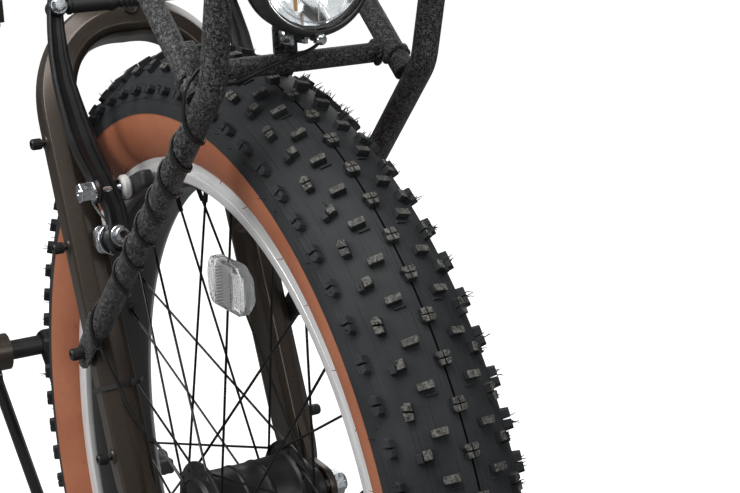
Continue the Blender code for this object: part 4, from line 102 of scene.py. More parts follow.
class Paint:
    """A Principled material with a few shorthand ways to feed its sockets."""

    def __init__(self, name, colour, roughness, metallic=0.0, **more):
        self.material = bpy.data.materials.new(name)
        self.material.use_nodes = True
        self.tree = self.material.node_tree
        self.shader = self.tree.nodes["Principled BSDF"]
        self.material.diffuse_color = (*colour, 1.0)
        values = {"Base_Color": (*colour, 1.0), "Roughness": roughness, "Metallic": metallic, **more}
        for key, value in values.items():
            self.shader.inputs[key.replace("_", " ")].default_value = value
        self.where = None
        self.normal = None

    def node(self, kind, **inputs):
        made = self.tree.nodes.new("ShaderNode" + kind)
        for key, value in inputs.items():
            made.inputs[key].default_value = value
        return made

    def feed(self, value, socket):
        if isinstance(value, (int, float)):
            socket.default_value = value
        elif isinstance(value, tuple):
            socket.default_value = (*value, 1.0)
        else:
            self.tree.links.new(value, socket)

    def place(self):
        if self.where is None:
            self.where = self.node("TexCoord").outputs["Object"]
        return self.where

    def math(self, operation, *values):
        made = self.node("Math")
        made.operation = operation
        for value, socket in zip(values, made.inputs):
            self.feed(value, socket)
        return made.outputs[0]

    def sum(self, *terms):
        """The sum of (value, factor) pairs."""
        scaled = [self.math("MULTIPLY", value, factor) for value, factor in terms]
        total = scaled[0]
        for term in scaled[1:]:
            total = self.math("ADD", total, term)
        return total

    def streaks(self, detail, rough, first, first_scale, second, second_scale):
        """Noise drawn out by two coordinates of unlike scale."""
        made = self.node("CombineXYZ")
        self.feed(self.math("MULTIPLY", first, first_scale), made.inputs[0])
        self.feed(self.math("MULTIPLY", second, second_scale), made.inputs[1])
        return self.noise(1.0, detail, rough, vector=made.outputs[0])

    def parts(self):
        made = self.node("SeparateXYZ")
        self.feed(self.place(), made.inputs[0])
        return made.outputs

    def noise(self, scale, detail=2.0, rough=0.5, distortion=0.0, vector=None):
        made = self.node("TexNoise", Scale=scale, Detail=detail, Roughness=rough, Distortion=distortion)
        self.feed(vector or self.place(), made.inputs["Vector"])
        return made.outputs["Fac"]

    def cells(self, scale):
        made = self.node("TexVoronoi", Scale=scale)
        self.feed(self.place(), made.inputs["Vector"])
        return made.outputs["Distance"]

    def ramp(self, value, *stops):
        made = self.node("ValToRGB")
        bar = made.color_ramp
        while len(bar.elements) < len(stops):
            bar.elements.new(0.5)
        for element, (spot, shade) in zip(bar.elements, stops):
            element.position = spot
            element.color = (shade, shade, shade, 1.0)
        self.feed(value, made.inputs["Fac"])
        return made.outputs["Color"]

    def mix(self, factor, first, second):
        made = self.node("Mix")
        made.data_type = "RGBA"
        for value, index in ((factor, 0), (first, 6), (second, 7)):
            self.feed(value, made.inputs[index])
        return made.outputs[2]

    def colour(self, source):
        self.feed(source, self.shader.inputs["Base Color"])

    def rough(self, source):
        self.feed(source, self.shader.inputs["Roughness"])

    def bump(self, height, distance, strength=1.0):
        made = self.node("Bump", Strength=strength, Distance=distance)
        self.feed(height, made.inputs["Height"])
        if self.normal is not None:
            self.feed(self.normal, made.inputs["Normal"])
        self.normal = made.outputs["Normal"]
        self.feed(self.normal, self.shader.inputs["Normal"])
        return self.material

    def wheel_place(self):
        """Round the wheel, across the section, and out from the axle."""
        x, y, z = self.parts()
        out = self.math("SQRT", self.math("ADD", self.math("MULTIPLY", x, x), self.math("MULTIPLY", z, z)))
        across = self.math("ARCTAN2", y, self.math("SUBTRACT", out, SECTION))
        return self.math("ARCTAN2", z, x), across, out


def coated(name, colour, roughness, metallic=0.0, fields=(), tone=None, gloss=None, bump=None, **more):
    """A finish led by numbered fields: noises (scale, detail, roughness) or cells (scale,).

    tone is (field, low, high, colour below low, colour above high), gloss is (field, stop, stop)
    of the roughness, and bump is (field, distance, strength).
    """
    p = Paint(name, colour, roughness, metallic, **more)
    made = [p.noise(*field) if len(field) > 1 else p.cells(*field) for field in fields]
    if tone:
        field, low, high, below, above = tone
        p.colour(p.mix(p.ramp(made[field], (low, 0.0), (high, 1.0)), below, above))
    if gloss:
        field, *stops = gloss
        p.rough(p.ramp(made[field], *stops))
    field, distance, strength = bump
    return p.bump(made[field], distance, strength)


def bronze_paint():
    p = Paint("bronze_satin_paint", (0.050, 0.036, 0.028), 0.34, 0.60, Coat_Weight=0.40, Coat_Roughness=0.20)
    flake = p.noise(1500, 2, 0.6)
    cloud = p.noise(14, 3, 0.5)
    tone = p.mix(p.ramp(flake, (0.40, 0.0), (0.62, 1.0)), (0.044, 0.033, 0.025), (0.074, 0.056, 0.042))
    p.colour(p.mix(p.ramp(cloud, (0.35, 0.0), (0.75, 0.35)), tone, (0.040, 0.031, 0.023)))
    p.rough(p.ramp(flake, (0.2, 0.31), (0.8, 0.42)))
    return p.bump(flake, 0.00012, 0.30)


def rack_coat():
    p = Paint("hammered_black_coat", (0.024, 0.024, 0.025), 0.46, Specular_IOR_Level=0.40)
    both = p.sum((p.noise(520, 4, 0.66, 1.2), 0.72), (p.noise(1500, 2, 0.6), 0.28))
    p.colour(p.ramp(both, (0.43, 0.003), (0.485, 0.010), (0.515, 0.052), (0.565, 0.150)))
    p.rough(p.ramp(both, (0.40, 0.34), (0.60, 0.60)))
    return p.bump(both, 0.0022, 0.80)


def rim_alloy():
    """Machined bright sides; the bed that faces the hub is painted dark grey as painted shade."""
    p = Paint("machined_rim_alloy", (0.82, 0.82, 0.82), 0.36, 0.42)
    around, _, out = p.wheel_place()
    streak = p.streaks(3, 0.6, around, 9.0, out, 3200.0)
    cloud = p.streaks(2, 0.5, around, 5.0, out, 160.0)
    bright = p.ramp(p.sum((streak, 0.5), (cloud, 0.5)), (0.34, 0.66), (0.52, 0.84), (0.68, 0.93))
    # painted shade: below the bed's radius the colour turns dark grey
    p.colour(p.mix(p.ramp(out, (0.2670, 1.0), (0.2690, 0.0)), bright, (0.055, 0.055, 0.054)))
    p.rough(p.ramp(streak, (0.3, 0.26), (0.75, 0.46)))
    return p.bump(streak, 0.00010, 0.5)


def tread_rubber():
    p = Paint("tread_rubber", (0.028, 0.029, 0.032), 0.62, Specular_IOR_Level=0.22)
    around, across, _ = p.wheel_place()
    lines = p.streaks(2, 0.5, around, 4.0, across, 42.0)
    dust = p.noise(22, 4, 0.65)
    base = p.mix(p.ramp(dust, (0.35, 0.0), (0.80, 1.0)), (0.017, 0.019, 0.021), (0.038, 0.039, 0.040))
    p.colour(p.mix(p.ramp(lines, (0.52, 0.0), (0.68, 0.65)), base, (0.011, 0.012, 0.013)))
    p.rough(p.ramp(dust, (0.3, 0.56), (0.8, 0.74)))
    p.bump(lines, 0.0005, 0.35)
    return p.bump(p.noise(900, 3, 0.6), 0.00025, 0.30)


# Knob tops: rubber painted far lighter than the tread as painted light from above, mottled with dark scuff
# marks.
def knob_rubber():
    p = Paint("knob_top_rubber_painted_light", (0.085, 0.082, 0.076), 0.70, Specular_IOR_Level=0.25)
    scuff = p.noise(420, 5, 0.72, 0.8)
    dust = p.noise(75, 3, 0.6)
    tone = p.mix(p.ramp(scuff, (0.43, 0.0), (0.56, 1.0)), (0.032, 0.032, 0.031), (0.150, 0.145, 0.130))
    p.colour(p.mix(p.ramp(dust, (0.48, 0.0), (0.66, 0.75)), tone, (0.040, 0.040, 0.039)))
    p.rough(p.ramp(scuff, (0.3, 0.60), (0.7, 0.82)))
    return p.bump(scuff, 0.0006, 0.5)


def tan_rubber():
    p = Paint("tan_sidewall", (0.36, 0.125, 0.062), 0.58, Specular_IOR_Level=0.25)
    around, across, _ = p.wheel_place()
    thread = p.streaks(2, 0.5, around, 260.0, across, 6.0)
    cloud = p.noise(16, 4, 0.6)
    base = p.mix(p.ramp(cloud, (0.35, 0.0), (0.75, 1.0)), (0.315, 0.105, 0.052), (0.405, 0.150, 0.078))
    p.colour(p.mix(p.ramp(thread, (0.45, 0.0), (0.70, 0.35)), base, (0.27, 0.092, 0.047)))
    p.rough(p.ramp(cloud, (0.3, 0.50), (0.8, 0.66)))
    return p.bump(thread, 0.00022, 0.30)


PRISM_WAVE = 2600.0


def prism_plastic():
    """Crossed waves in the plane of the wheel, for corner prisms."""
    p = Paint("prism_plastic", (0.72, 0.73, 0.73), 0.16, 0.35)
    x, _, z = p.parts()
    along, across = p.math("MULTIPLY", x, PRISM_WAVE), p.math("MULTIPLY", z, PRISM_WAVE)
    waves = [p.math("SINE", p.math(way, along, across)) for way in ("ADD", "SUBTRACT")]
    weave = p.math("MULTIPLY", *waves)
    p.colour(p.ramp(weave, (0.2, 0.50), (0.8, 0.90)))
    return p.bump(weave, 0.0010, 0.7)


def soft_rubber(name, colour, roughness):
    return coated(
        name, colour, roughness, fields=((700, 3, 0.6), (50, 3, 0.6)),
        gloss=(1, (0.3, roughness - 0.08), (0.8, roughness + 0.12)), bump=(0, 0.00012, 0.3),
    )


BRONZE = bronze_paint()
RACK = rack_coat()
ALLOY = coated(
    "black_alloy_satin", (0.017, 0.017, 0.018), 0.40, 0.25, fields=((1300, 2, 0.5), (45, 4, 0.6)),
    tone=(1, 0.45, 0.75, (0.014, 0.014, 0.015), (0.026, 0.026, 0.027)),
    gloss=(1, (0.3, 0.36), (0.75, 0.48)), bump=(0, 0.00010, 0.25),
)
GLOSS = coated(
    "black_gloss_paint", (0.010, 0.010, 0.011), 0.22, 0.0, fields=((260, 3, 0.5),),
    gloss=(0, (0.3, 0.19), (0.8, 0.30)), bump=(0, 0.00008, 0.15), Coat_Weight=0.4, Coat_Roughness=0.08,
)
STEEL = coated(
    "bright_zinc_steel", (0.66, 0.69, 0.72), 0.20, 1.0, fields=((220, 4, 0.6),),
    tone=(0, 0.35, 0.75, (0.58, 0.62, 0.66), (0.78, 0.80, 0.82)),
    gloss=(0, (0.3, 0.15), (0.8, 0.33)), bump=(0, 0.00006, 0.3),
)
CHAIN = coated(
    "oiled_chain_steel", (0.30, 0.29, 0.27), 0.34, 1.0, fields=((160, 4, 0.6),),
    tone=(0, 0.40, 0.70, (0.34, 0.33, 0.31), (0.10, 0.09, 0.08)),
    gloss=(0, (0.3, 0.26), (0.8, 0.50)), bump=(0, 0.00010, 0.3),
)
RIM = rim_alloy()
TREAD = tread_rubber()
LIT_KNOB_TOP = knob_rubber()
TAN = tan_rubber()
RUBBER = soft_rubber("black_rubber", (0.016, 0.016, 0.017), 0.5)
SHEATH = soft_rubber("cable_sheath", (0.013, 0.013, 0.014), 0.34)
GRIP = soft_rubber("grip_rubber", (0.018, 0.018, 0.018), 0.66)
# painted shade: near black and scarcely glossy, for the dark of the centre groove
GROOVE_SHADE = coated(
    "centre_groove_shade", (0.0015, 0.0015, 0.0015), 0.90, fields=((900, 2, 0.5),),
    bump=(0, 0.0001, 0.30), Specular_IOR_Level=0.05,
)
PLASTIC = coated(
    "moulded_black_plastic", (0.020, 0.020, 0.021), 0.48, fields=((2600,), (60, 3, 0.6)),
    tone=(1, 0.4, 0.8, (0.017, 0.017, 0.018), (0.032, 0.032, 0.033)), bump=(0, 0.00012, 0.35),
)
COVER = coated(
    "saddle_leatherette", (0.022, 0.020, 0.018), 0.46, fields=((900,), (90, 4, 0.6)),
    tone=(1, 0.4, 0.8, (0.018, 0.017, 0.016), (0.036, 0.033, 0.030)),
    gloss=(1, (0.3, 0.40), (0.8, 0.56)), bump=(0, 0.0005, 0.45),
)
CLEAR = coated(
    "clear_moulded_plastic", (0.93, 0.94, 0.94), 0.07, fields=((300, 2, 0.5),),
    bump=(0, 0.00012, 0.20), Transmission_Weight=0.88, IOR=1.49,
)
PRISM = prism_plastic()
GLASS = coated(
    "lamp_glass", (0.97, 0.98, 0.98), 0.02, fields=((120, 1, 0.4),),
    bump=(0, 0.00010, 0.15), Transmission_Weight=1.0, IOR=1.46,
)
MIRROR = coated(
    "vapour_mirror", (0.90, 0.91, 0.92), 0.09, 1.0, fields=((90, 3, 0.6),),
    gloss=(0, (0.3, 0.06), (0.8, 0.16)), bump=(0, 0.00006, 0.2),
)
AMBER = coated(
    "amber_diffuser", (0.55, 0.27, 0.06), 0.25, fields=((200, 2, 0.5),),
    bump=(0, 0.0001, 0.2), Transmission_Weight=0.4,
)
SPOKE = coated(
    "black_spoke_steel", (0.012, 0.012, 0.013), 0.30, 0.6, fields=((90, 3, 0.6),),
    gloss=(0, (0.3, 0.24), (0.8, 0.42)), bump=(0, 0.00005, 0.2),
)
WHITE = coated(
    "pale_nylon_washer", (0.62, 0.62, 0.60), 0.45, fields=((500, 2, 0.5),), bump=(0, 0.00008, 0.3)
)


# Shape building


def beside(items, i):
    """The items before and after one, or itself at an end."""
    return items[max(i - 1, 0)], items[min(i + 1, len(items) - 1)]


def section(spot, across, up, outline):
    return [spot + across * u + up * v for u, v in outline]


def circle(centre, u, v, radius, count, start=0.0):
    turns = [2 * math.pi * k / count + start for k in range(count)]
    return [centre + (u * math.cos(turn) + v * math.sin(turn)) * radius for turn in turns]


def mirrored(profile):
    return [(radius, -height) for radius, height in reversed(profile)]


def side_axes(direction):
    """Two directions square to a third."""
    turn = direction.to_track_quat("Z", "Y")
    return turn @ X, turn @ Y


def axes(*directions):
    return Matrix(directions).transposed()


def frames(points):
    """Two side directions at each point of a path, carried along without twist."""
    tangents = []
    for i in range(len(points)):
        before, after = beside(points, i)
        tangents.append((after - before).normalized())
    side = tangents[0].orthogonal().normalized()
    result = []
    for tangent in tangents:
        side = (side - tangent * side.dot(tangent)).normalized()
        result.append((side, tangent.cross(side).normalized(), tangent))
    return result


def spline(points, samples=8):
    """Catmull-Rom points through a list of places."""
    pts = [list(p) for p in points]
    pts = [[2 * a - b for a, b in zip(pts[0], pts[1])], *pts, [2 * a - b for a, b in zip(pts[-1], pts[-2])]]
    path = []
    for four in zip(pts, pts[1:], pts[2:], pts[3:]):
        for i in range(samples):
            t = i / samples
            spot = []
            for a, b, c, d in zip(*four):
                bend = 2 * b + (c - a) * t + (2 * a - 5 * b + 4 * c - d) * t * t
                spot.append(0.5 * (bend + (3 * b - a - 3 * c + d) * t**3))
            path.append(Vector(spot))
    return [*path, Vector(pts[-2])]


def rounded(points, radius, steps=8):
    """A path with each inner corner replaced by an arc."""
    points = [Vector(p) for p in points]
    path = [points[0]]
    for before, corner, after in zip(points, points[1:], points[2:]):
        into = (before - corner).normalized()
        out = (after - corner).normalized()
        half = into.angle(out) / 2
        reach = radius / math.tan(half)
        centre = corner + (into + out).normalized() * radius / math.sin(half)
        first = corner + into * reach - centre
        last = corner + out * reach - centre
        for i in range(steps + 1):
            path.append(centre + first.slerp(last, i / steps) * radius)
    return [*path, points[-1]]


def soft_outline(corners, radius, steps=4):
    """A flat outline with each corner rounded; radius is one number or a list."""
    count = len(corners)
    radii = [radius] * count if isinstance(radius, float) else radius
    outline = []
    for i, corner in enumerate(corners):
        here = Vector((*corner, 0))
        into = Vector((*corners[i - 1], 0)) - here
        out = Vector((*corners[(i + 1) % count], 0)) - here
        most = min(into.length, out.length) * 0.49
        into.normalize()
        out.normalize()
        half = into.angle(out, math.pi) / 2
        if half > 1.55:
            outline.append(tuple(corner))
            continue
        reach = min(radii[i] / math.tan(half), most)
        size = reach * math.tan(half)
        centre = here + (into + out).normalized() * size / math.sin(half)
        first = here + into * reach - centre
        last = here + out * reach - centre
        for k in range(steps + 1):
            spot = centre + first.slerp(last, k / steps).normalized() * size
            outline.append((spot.x, spot.y))
    return outline


def squircle(width, depth, power=3.0, count=32):
    outline = []
    for i in range(count):
        angle = 2 * math.pi * (i + 0.5) / count
        c, s = math.cos(angle), math.sin(angle)
        u = math.copysign(abs(c) ** (2 / power), c) * width / 2
        v = math.copysign(abs(s) ** (2 / power), s) * depth / 2
        outline.append((u, v))
    return outline


def add_object(name, data):
    thing = bpy.data.objects.new(name, data)
    bpy.context.scene.collection.objects.link(thing)
    return thing


def take_over(thing, body, node):
    """The new piece rides on a body and stands in for a node of the solid model."""
    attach(thing, body)
    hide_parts(node)
    return thing


ROUND_END = (0.35, 0.75, 1.15)


class Piece:
    """Collects the surfaces of one piece, and then gives it its body."""

    def __init__(self, node, origin=(0, 0, 0)):
        self.node = node
        self.origin = Vector(origin)
        self.verts = []
        self.faces = []
        self.looks = []
        self.materials = []

    def slot(self, material):
        if material not in self.materials:
            self.materials.append(material)
        return self.materials.index(material)

    def face(self, corners, index):
        self.faces.append(corners)
        self.looks.append(index)

    def rings(self, rings, material, caps=True, loop=False):
        """Skin a list of rings; a ring of one point closes to a tip."""
        index = self.slot(material)
        layers = []
        for ring in rings:
            layers.append(range(len(self.verts), len(self.verts) + len(ring)))
            self.verts.extend(ring)
        pairs = list(zip(layers, layers[1:]))
        if loop:
            pairs.append((layers[-1], layers[0]))
        for low, high in pairs:
            count = max(len(low), len(high))
            for i in range(count):
                j = (i + 1) % count
                if len(low) == 1:
                    self.face((low[0], high[j], high[i]), index)
                elif len(high) == 1:
                    self.face((low[i], low[j], high[0]), index)
                else:
                    self.face((low[i], low[j], high[j], high[i]), index)
        if caps and not loop:
            for layer in (layers[0], layers[-1]):
                if len(layer) > 2:
                    self.face(tuple(layer), index)

    def tube(self, points, radius, material, sides=20, radii=None, round_ends=False):
        points = [Vector(p) for p in points]
        radii = radii or [radius] * len(points)
        ways = frames(points)
        rings = []
        for centre, (u, v, t), size in zip(points, ways, radii):
            rings.append(circle(centre, u, v, size, sides))
        if round_ends:
            for at, sign in ((0, -1), (-1, 1)):
                centre, (u, v, t), size = points[at], ways[at], radii[at]
                cap = [[centre + t * sign * size]]
                for a in ROUND_END:
                    spot = centre + t * sign * size * math.cos(a)
                    cap.append(circle(spot, u, v, size * math.sin(a), sides))
                rings = cap + rings if sign < 0 else rings + cap[::-1]
        self.rings(rings, material)

    def turned(self, profile, place, direction, material, steps=48, loop=False, start=0.0):
        """An outline of (radius, height) points turned about an axis."""
        place, direction = Vector(place), Vector(direction).normalized()
        u, v = side_axes(direction)
        rings = []
        for radius, height in profile:
            centre = place + direction * height
            rings.append([centre] if radius < 1e-7 else circle(centre, u, v, radius, steps, start))
        self.rings(rings, material, caps=False, loop=loop)

    def disc(self, place, direction, radius, low, high, material, steps):
        """A plain washer or plug between two heights on an axis."""
        self.turned([(0, low), (radius, low), (radius, high), (0, high)], place, direction, material, steps)

    def sleeve(self, profile, place, direction, material, steps):
        """A turned outline that closes on its own first point."""
        self.turned([*profile, profile[0]], place, direction, material, steps)

    def rod(self, start, end, radius, material, edge=0.0006, steps=28):
        """A round bar with softened rims."""
        start, end = Vector(start), Vector(end)
        length = (end - start).length
        edge = min(edge, radius * 0.45, length * 0.3)
        profile = [(0, 0), (radius - edge, 0), (radius - edge * 0.3, edge * 0.3), (radius, edge)]
        profile += [(radius, length - edge), (radius - edge * 0.3, length - edge * 0.3)]
        profile += [(radius - edge, length), (0, length)]
        self.turned(profile, start, end - start, material, steps)

    def plate(self, outline, origin, u_axis, v_axis, thickness, material, edge=0.0006):
        """A flat outline with its thickness centred on it and softened rims."""
        u_axis, v_axis = Vector(u_axis).normalized(), Vector(v_axis).normalized()
        normal = u_axis.cross(v_axis)
        middle_u = sum(p[0] for p in outline) / len(outline)
        middle_v = sum(p[1] for p in outline) / len(outline)
        reach = max(math.hypot(u - middle_u, v - middle_v) for u, v in outline)
        edge = min(edge, thickness * 0.45)
        half = thickness / 2
        rings = []
        for lift, inset in ((half, edge), (half - edge * 0.3, edge * 0.3), (half - edge, 0.0)):
            scale = 1 - inset / reach
            shrunk = []
            for u, v in outline:
                shrunk.append((middle_u + (u - middle_u) * scale, middle_v + (v - middle_v) * scale))
            rings.insert(len(rings) // 2, section(origin - normal * lift, u_axis, v_axis, shrunk))
            rings.insert(len(rings) // 2 + 1, section(origin + normal * lift, u_axis, v_axis, shrunk))
        self.rings(rings, material)

    def block(self, size, centre, material, turn=None, edge=0.0008, segments=2):
        """A box with rounded edges."""
        bm = bmesh.new()
        made = bmesh.ops.create_cube(bm, size=1.0)["verts"]
        matrix = Matrix.Translation(centre)
        if turn is not None:
            matrix = matrix @ turn.to_4x4()
        matrix = matrix @ Matrix.Diagonal((*size, 1.0))
        bmesh.ops.transform(bm, matrix=matrix, verts=made)
        edge = min(edge, min(size) * 0.4)
        bmesh.ops.bevel(bm, geom=bm.edges[:], offset=edge, segments=segments, profile=0.5, affect="EDGES")
        index = self.slot(material)
        bm.verts.index_update()
        start = len(self.verts)
        self.verts.extend(v.co.copy() for v in bm.verts)
        for face in bm.faces:
            self.face(tuple(start + v.index for v in face.verts), index)
        bm.free()

    def hexagon(self, place, direction, across, height, material, edge=0.0006, start=0.0):
        """A hexagon head or nut with its corners turned down."""
        radius = across / 2 / math.cos(math.pi / 6)
        profile = [(0, 0), (radius, 0), (radius, height - edge), (radius - edge * 1.6, height), (0, height)]
        self.turned(profile, place, direction, material, 6, start=start)

    def socket_bolt(self, place, direction, radius, height, material, dark):
        """A cap screw: a knurled head with a round socket, whose hexagon is a thin dark disc at the socket's
        floor: painted shade.
        """
        profile = [(0, 0), (radius, 0), (radius, height - 0.0007), (radius - 0.0007, height)]
        profile += [(radius * 0.52, height), (radius * 0.50, height - 0.0004)]
        profile += [(radius * 0.50, height - 0.003), (0, height - 0.003)]
        self.turned(profile, place, direction, material, 24)
        place, direction = Vector(place), Vector(direction).normalized()
        # painted shade: the socket's hexagon is a dark disc at its floor
        floor = place + direction * (height - 0.0029)
        socket = [(0, 0), (radius * 0.5, 0.0002), (radius * 0.5, 0.0001), (0, 0.0001)]
        self.turned(socket, floor, direction, dark, 6)
        u, v = side_axes(direction)
        for spot in circle(place, u, v, radius + 0.00002, 16):
            self.tube([spot + direction * 0.0008, spot + direction * (height - 0.0014)], 0.00032, material, 5)

    def done(self, body, smooth=32.0):
        bm = bmesh.new()
        verts = [bm.verts.new(p) for p in self.verts]
        for corners, look in zip(self.faces, self.looks):
            face = bm.faces.new([verts[i] for i in corners])
            face.material_index = look
        bmesh.ops.remove_doubles(bm, verts=bm.verts, dist=0.0000005)
        bmesh.ops.recalc_face_normals(bm, faces=bm.faces)
        mesh = bpy.data.meshes.new(self.node + "_dressed")
        bm.to_mesh(mesh)
        bm.free()
        mesh.transform(Matrix.Translation(-self.origin))
        for material in self.materials:
            mesh.materials.append(material)
        mesh.shade_smooth()
        mesh.set_sharp_from_angle(angle=math.radians(smooth))
        thing = add_object(self.node + "_dressed", mesh)
        thing.location = self.origin
        return take_over(thing, body, self.node)


def kept(node, material, edge, smooth=38.0):
    """The solid's own shape, with softened edges and a full finish."""
    source = frame["nodes"][node]
    bm = bmesh.new()
    bm.from_mesh(source.data)
    bmesh.ops.remove_doubles(bm, verts=bm.verts, dist=0.000004)
    bmesh.ops.dissolve_limit(bm, angle_limit=math.radians(0.6), verts=bm.verts, edges=bm.edges)
    mesh = bpy.data.meshes.new(node + "_dressed")
    bm.to_mesh(mesh)
    bm.free()
    mesh.materials.clear()
    mesh.materials.append(material)
    for face in mesh.polygons:
        face.material_index = 0
    mesh.shade_smooth()
    mesh.set_sharp_from_angle(angle=math.radians(smooth))
    thing = add_object(node + "_dressed", mesh)
    step = thing.modifiers.new("softened edges", "BEVEL")
    step.width = edge
    step.segments = 2
    step.limit_method = "ANGLE"
    step.angle_limit = math.radians(smooth)
    step.harden_normals = True
    return take_over(thing, source["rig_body"], node)


# Camera, light and floor

EYE = (1.7366, -0.5203, 0.8748)
EYE_RIGHT = Vector((0.50541, 0.86147, -0.04929)).normalized()
EYE_AHEAD = Vector((-0.84471, 0.4823, -0.23205)).normalized()
LENS = 80.21
SENSOR = 36.0
WORLD_LIGHT = 0.16
FLOOR_TONE = 0.42
FLOOR_TONE_IN_GLOSS = 0.22
FLOOR_GLOW = 0.95
FLOOR_HALF = 30.0
LAMPS = (
    ("overhead", (0.9, -0.7, 3.0), (0.5, 0.0, 0.5), (2.4, 1.8), 78),
    ("key_left", (-0.1, -2.6, 2.0), (0.5, 0.0, 0.6), (1.3, 2.0), 52),
    ("front_right", (3.2, 0.6, 1.8), (0.5, 0.0, 0.6), (1.0, 1.8), 20),
    ("behind", (-2.0, 2.4, 2.2), (0.2, 0.0, 0.6), (1.8, 1.6), 26),
)


def grey(value):
    return (value, value, value, 1.0)


def shader(tree, kind, **inputs):
    made = tree.nodes.new("ShaderNode" + kind)
    for key, value in inputs.items():
        made.inputs[key].default_value = value
    return made


def seen_directly(tree):
    """The light path, and 1 where the camera sees straight or through a clear piece."""
    path = shader(tree, "LightPath")
    seen = shader(tree, "Math")
    seen.operation = "MAXIMUM"
    tree.links.new(path.outputs["Is Camera Ray"], seen.inputs[0])
    tree.links.new(path.outputs["Is Transmission Ray"], seen.inputs[1])
    return path, seen.outputs[0]


def mixed(tree, factor, first, second):
    mix = shader(tree, "MixShader")
    for source, socket in zip((factor, first.outputs[0], second.outputs[0]), mix.inputs):
        tree.links.new(source, socket)
    return mix.outputs[0]


def set_camera():
    camera = bpy.data.cameras.new("camera")
    camera.lens = LENS
    camera.sensor_width = SENSOR
    camera.sensor_fit = "HORIZONTAL"
    eye = add_object("camera", camera)
    turn = axes(EYE_RIGHT, EYE_RIGHT.cross(EYE_AHEAD).normalized(), -EYE_AHEAD).to_4x4()
    eye.matrix_world = Matrix.Translation(EYE) @ turn
    bpy.context.scene.camera = eye
    bpy.context.scene.view_settings.view_transform = "Standard"


def set_world():
    world = bpy.data.worlds.new("studio")
    bpy.context.scene.world = world
    world.use_nodes = True
    tree = world.node_tree
    tree.nodes.clear()
    output = shader(tree, "OutputWorld")
    soft = shader(tree, "Background", Color=grey(1.0), Strength=WORLD_LIGHT)
    plain = shader(tree, "Background", Color=grey(1.0), Strength=1.0)
    _, seen = seen_directly(tree)
    tree.links.new(mixed(tree, seen, soft, plain), output.inputs[0])


def set_lamp(name, place, target, size, power):
    lamp = bpy.data.lights.new(name, "AREA")
    lamp.shape = "RECTANGLE"
    lamp.size, lamp.size_y = size
    lamp.energy = power
    thing = add_object(name, lamp)
    thing.location = place
    thing.rotation_mode = "QUATERNION"
    thing.rotation_quaternion = (Vector(target) - Vector(place)).to_track_quat("-Z", "Y")


def set_floor():
    """White to the camera, and matt grey to light, so that it keeps the shadow."""
    mesh = bpy.data.meshes.new("floor")
    corners = [(x * FLOOR_HALF, y * FLOOR_HALF, 0) for x, y in ((-1, -1), (1, -1), (1, 1), (-1, 1))]
    mesh.from_pydata(corners, [], [(0, 1, 2, 3)])
    floor = add_object("floor", mesh)
    material = bpy.data.materials.new("floor")
    material.use_nodes = True
    tree = material.node_tree
    tree.nodes.clear()
    output = shader(tree, "OutputMaterial")
    matt = shader(tree, "BsdfDiffuse")
    glow = shader(tree, "Emission", Strength=FLOOR_GLOW)
    dark = shader(tree, "Emission", Strength=0.0)
    tone = shader(tree, "Mix")
    tone.data_type = "RGBA"
    tone.inputs[6].default_value = grey(FLOOR_TONE)
    tone.inputs[7].default_value = grey(FLOOR_TONE_IN_GLOSS)
    path, seen = seen_directly(tree)
    tree.links.new(path.outputs["Is Glossy Ray"], tone.inputs[0])
    tree.links.new(tone.outputs[2], matt.inputs["Color"])
    add = shader(tree, "AddShader")
    tree.links.new(matt.outputs[0], add.inputs[0])
    tree.links.new(mixed(tree, seen, dark, glow), add.inputs[1])
    tree.links.new(add.outputs[0], output.inputs[0])
    mesh.materials.append(material)


set_camera()
set_world()
for lamp_row in LAMPS:
    set_lamp(*lamp_row)
set_floor()


# Tyres

CASING = 0.046
PITCHES = 39
PITCH_TURN = 9.2308
KNOB_PITCH = 360 / (2 * PITCHES)
PATTERN_SHIFT = -4.15
TYRE_STEPS = 234


def tread_point(phi, theta, height):
    turn, lean = math.radians(phi), math.radians(theta)
    out = SECTION + (CASING + height) * math.cos(lean)
    return Vector((out * math.cos(turn), (CASING + height) * math.sin(lean), out * math.sin(turn)))


DRAFT = 0.55
INSET = 0.45
MIDDLE_HEIGHT = 0.0049
D_UPPER = [(-4.7, -4.2), (-4.7, -0.34), (-0.4, -0.34), (-0.4, -3.5), (-2.8, -5.1)]
D_LOWER = [(0.4, -4.4), (0.4, -0.34), (4.2, -0.34), (4.2, -3.3)]
S_UPPER = [(-4.6, -3.7), (-4.6, -0.34), (-0.35, -0.34), (-0.35, -4.1)]
S_LOWER = [(0.35, -4.8), (0.35, -0.34), (4.6, -0.34), (4.6, -3.4), (3.0, -4.6)]
C_BLOCK = [(-2.5, -5.3), (-2.5, 5.0), (-1.0, 5.4), (2.3, 4.9), (2.3, -5.0), (0.4, -5.6)]
C_BAR = [(4.9, -1.5), (4.9, 6.4), (6.2, 6.4), (6.2, -1.5)]
B_UPPER = [(-6.0, -0.5), (-3.9, -3.1), (-1.3, -3.1), (0.5, 3.1), (-4.4, 3.1)]
B_LOWER = [(-0.1, -3.1), (5.4, -3.1), (6.0, 2.5), (1.7, 3.1)]
W_OUTER = [(-1.9, -5.4), (-1.9, -0.5), (4.0, -0.5), (4.0, -4.8)]
W_INNER = [(-3.2, 0.1), (-3.2, 5.2), (-1.0, 5.8), (2.9, 5.6), (2.9, 0.1)]
A_UPPER = [(-6.9, 0.4), (-4.5, -3.0), (-0.8, -3.1), (-0.4, 3.0), (-5.0, 3.0)]
A_LOWER = [(0.4, -3.1), (4.7, -3.0), (6.9, 0.3), (5.2, 3.0), (0.8, 3.0)]

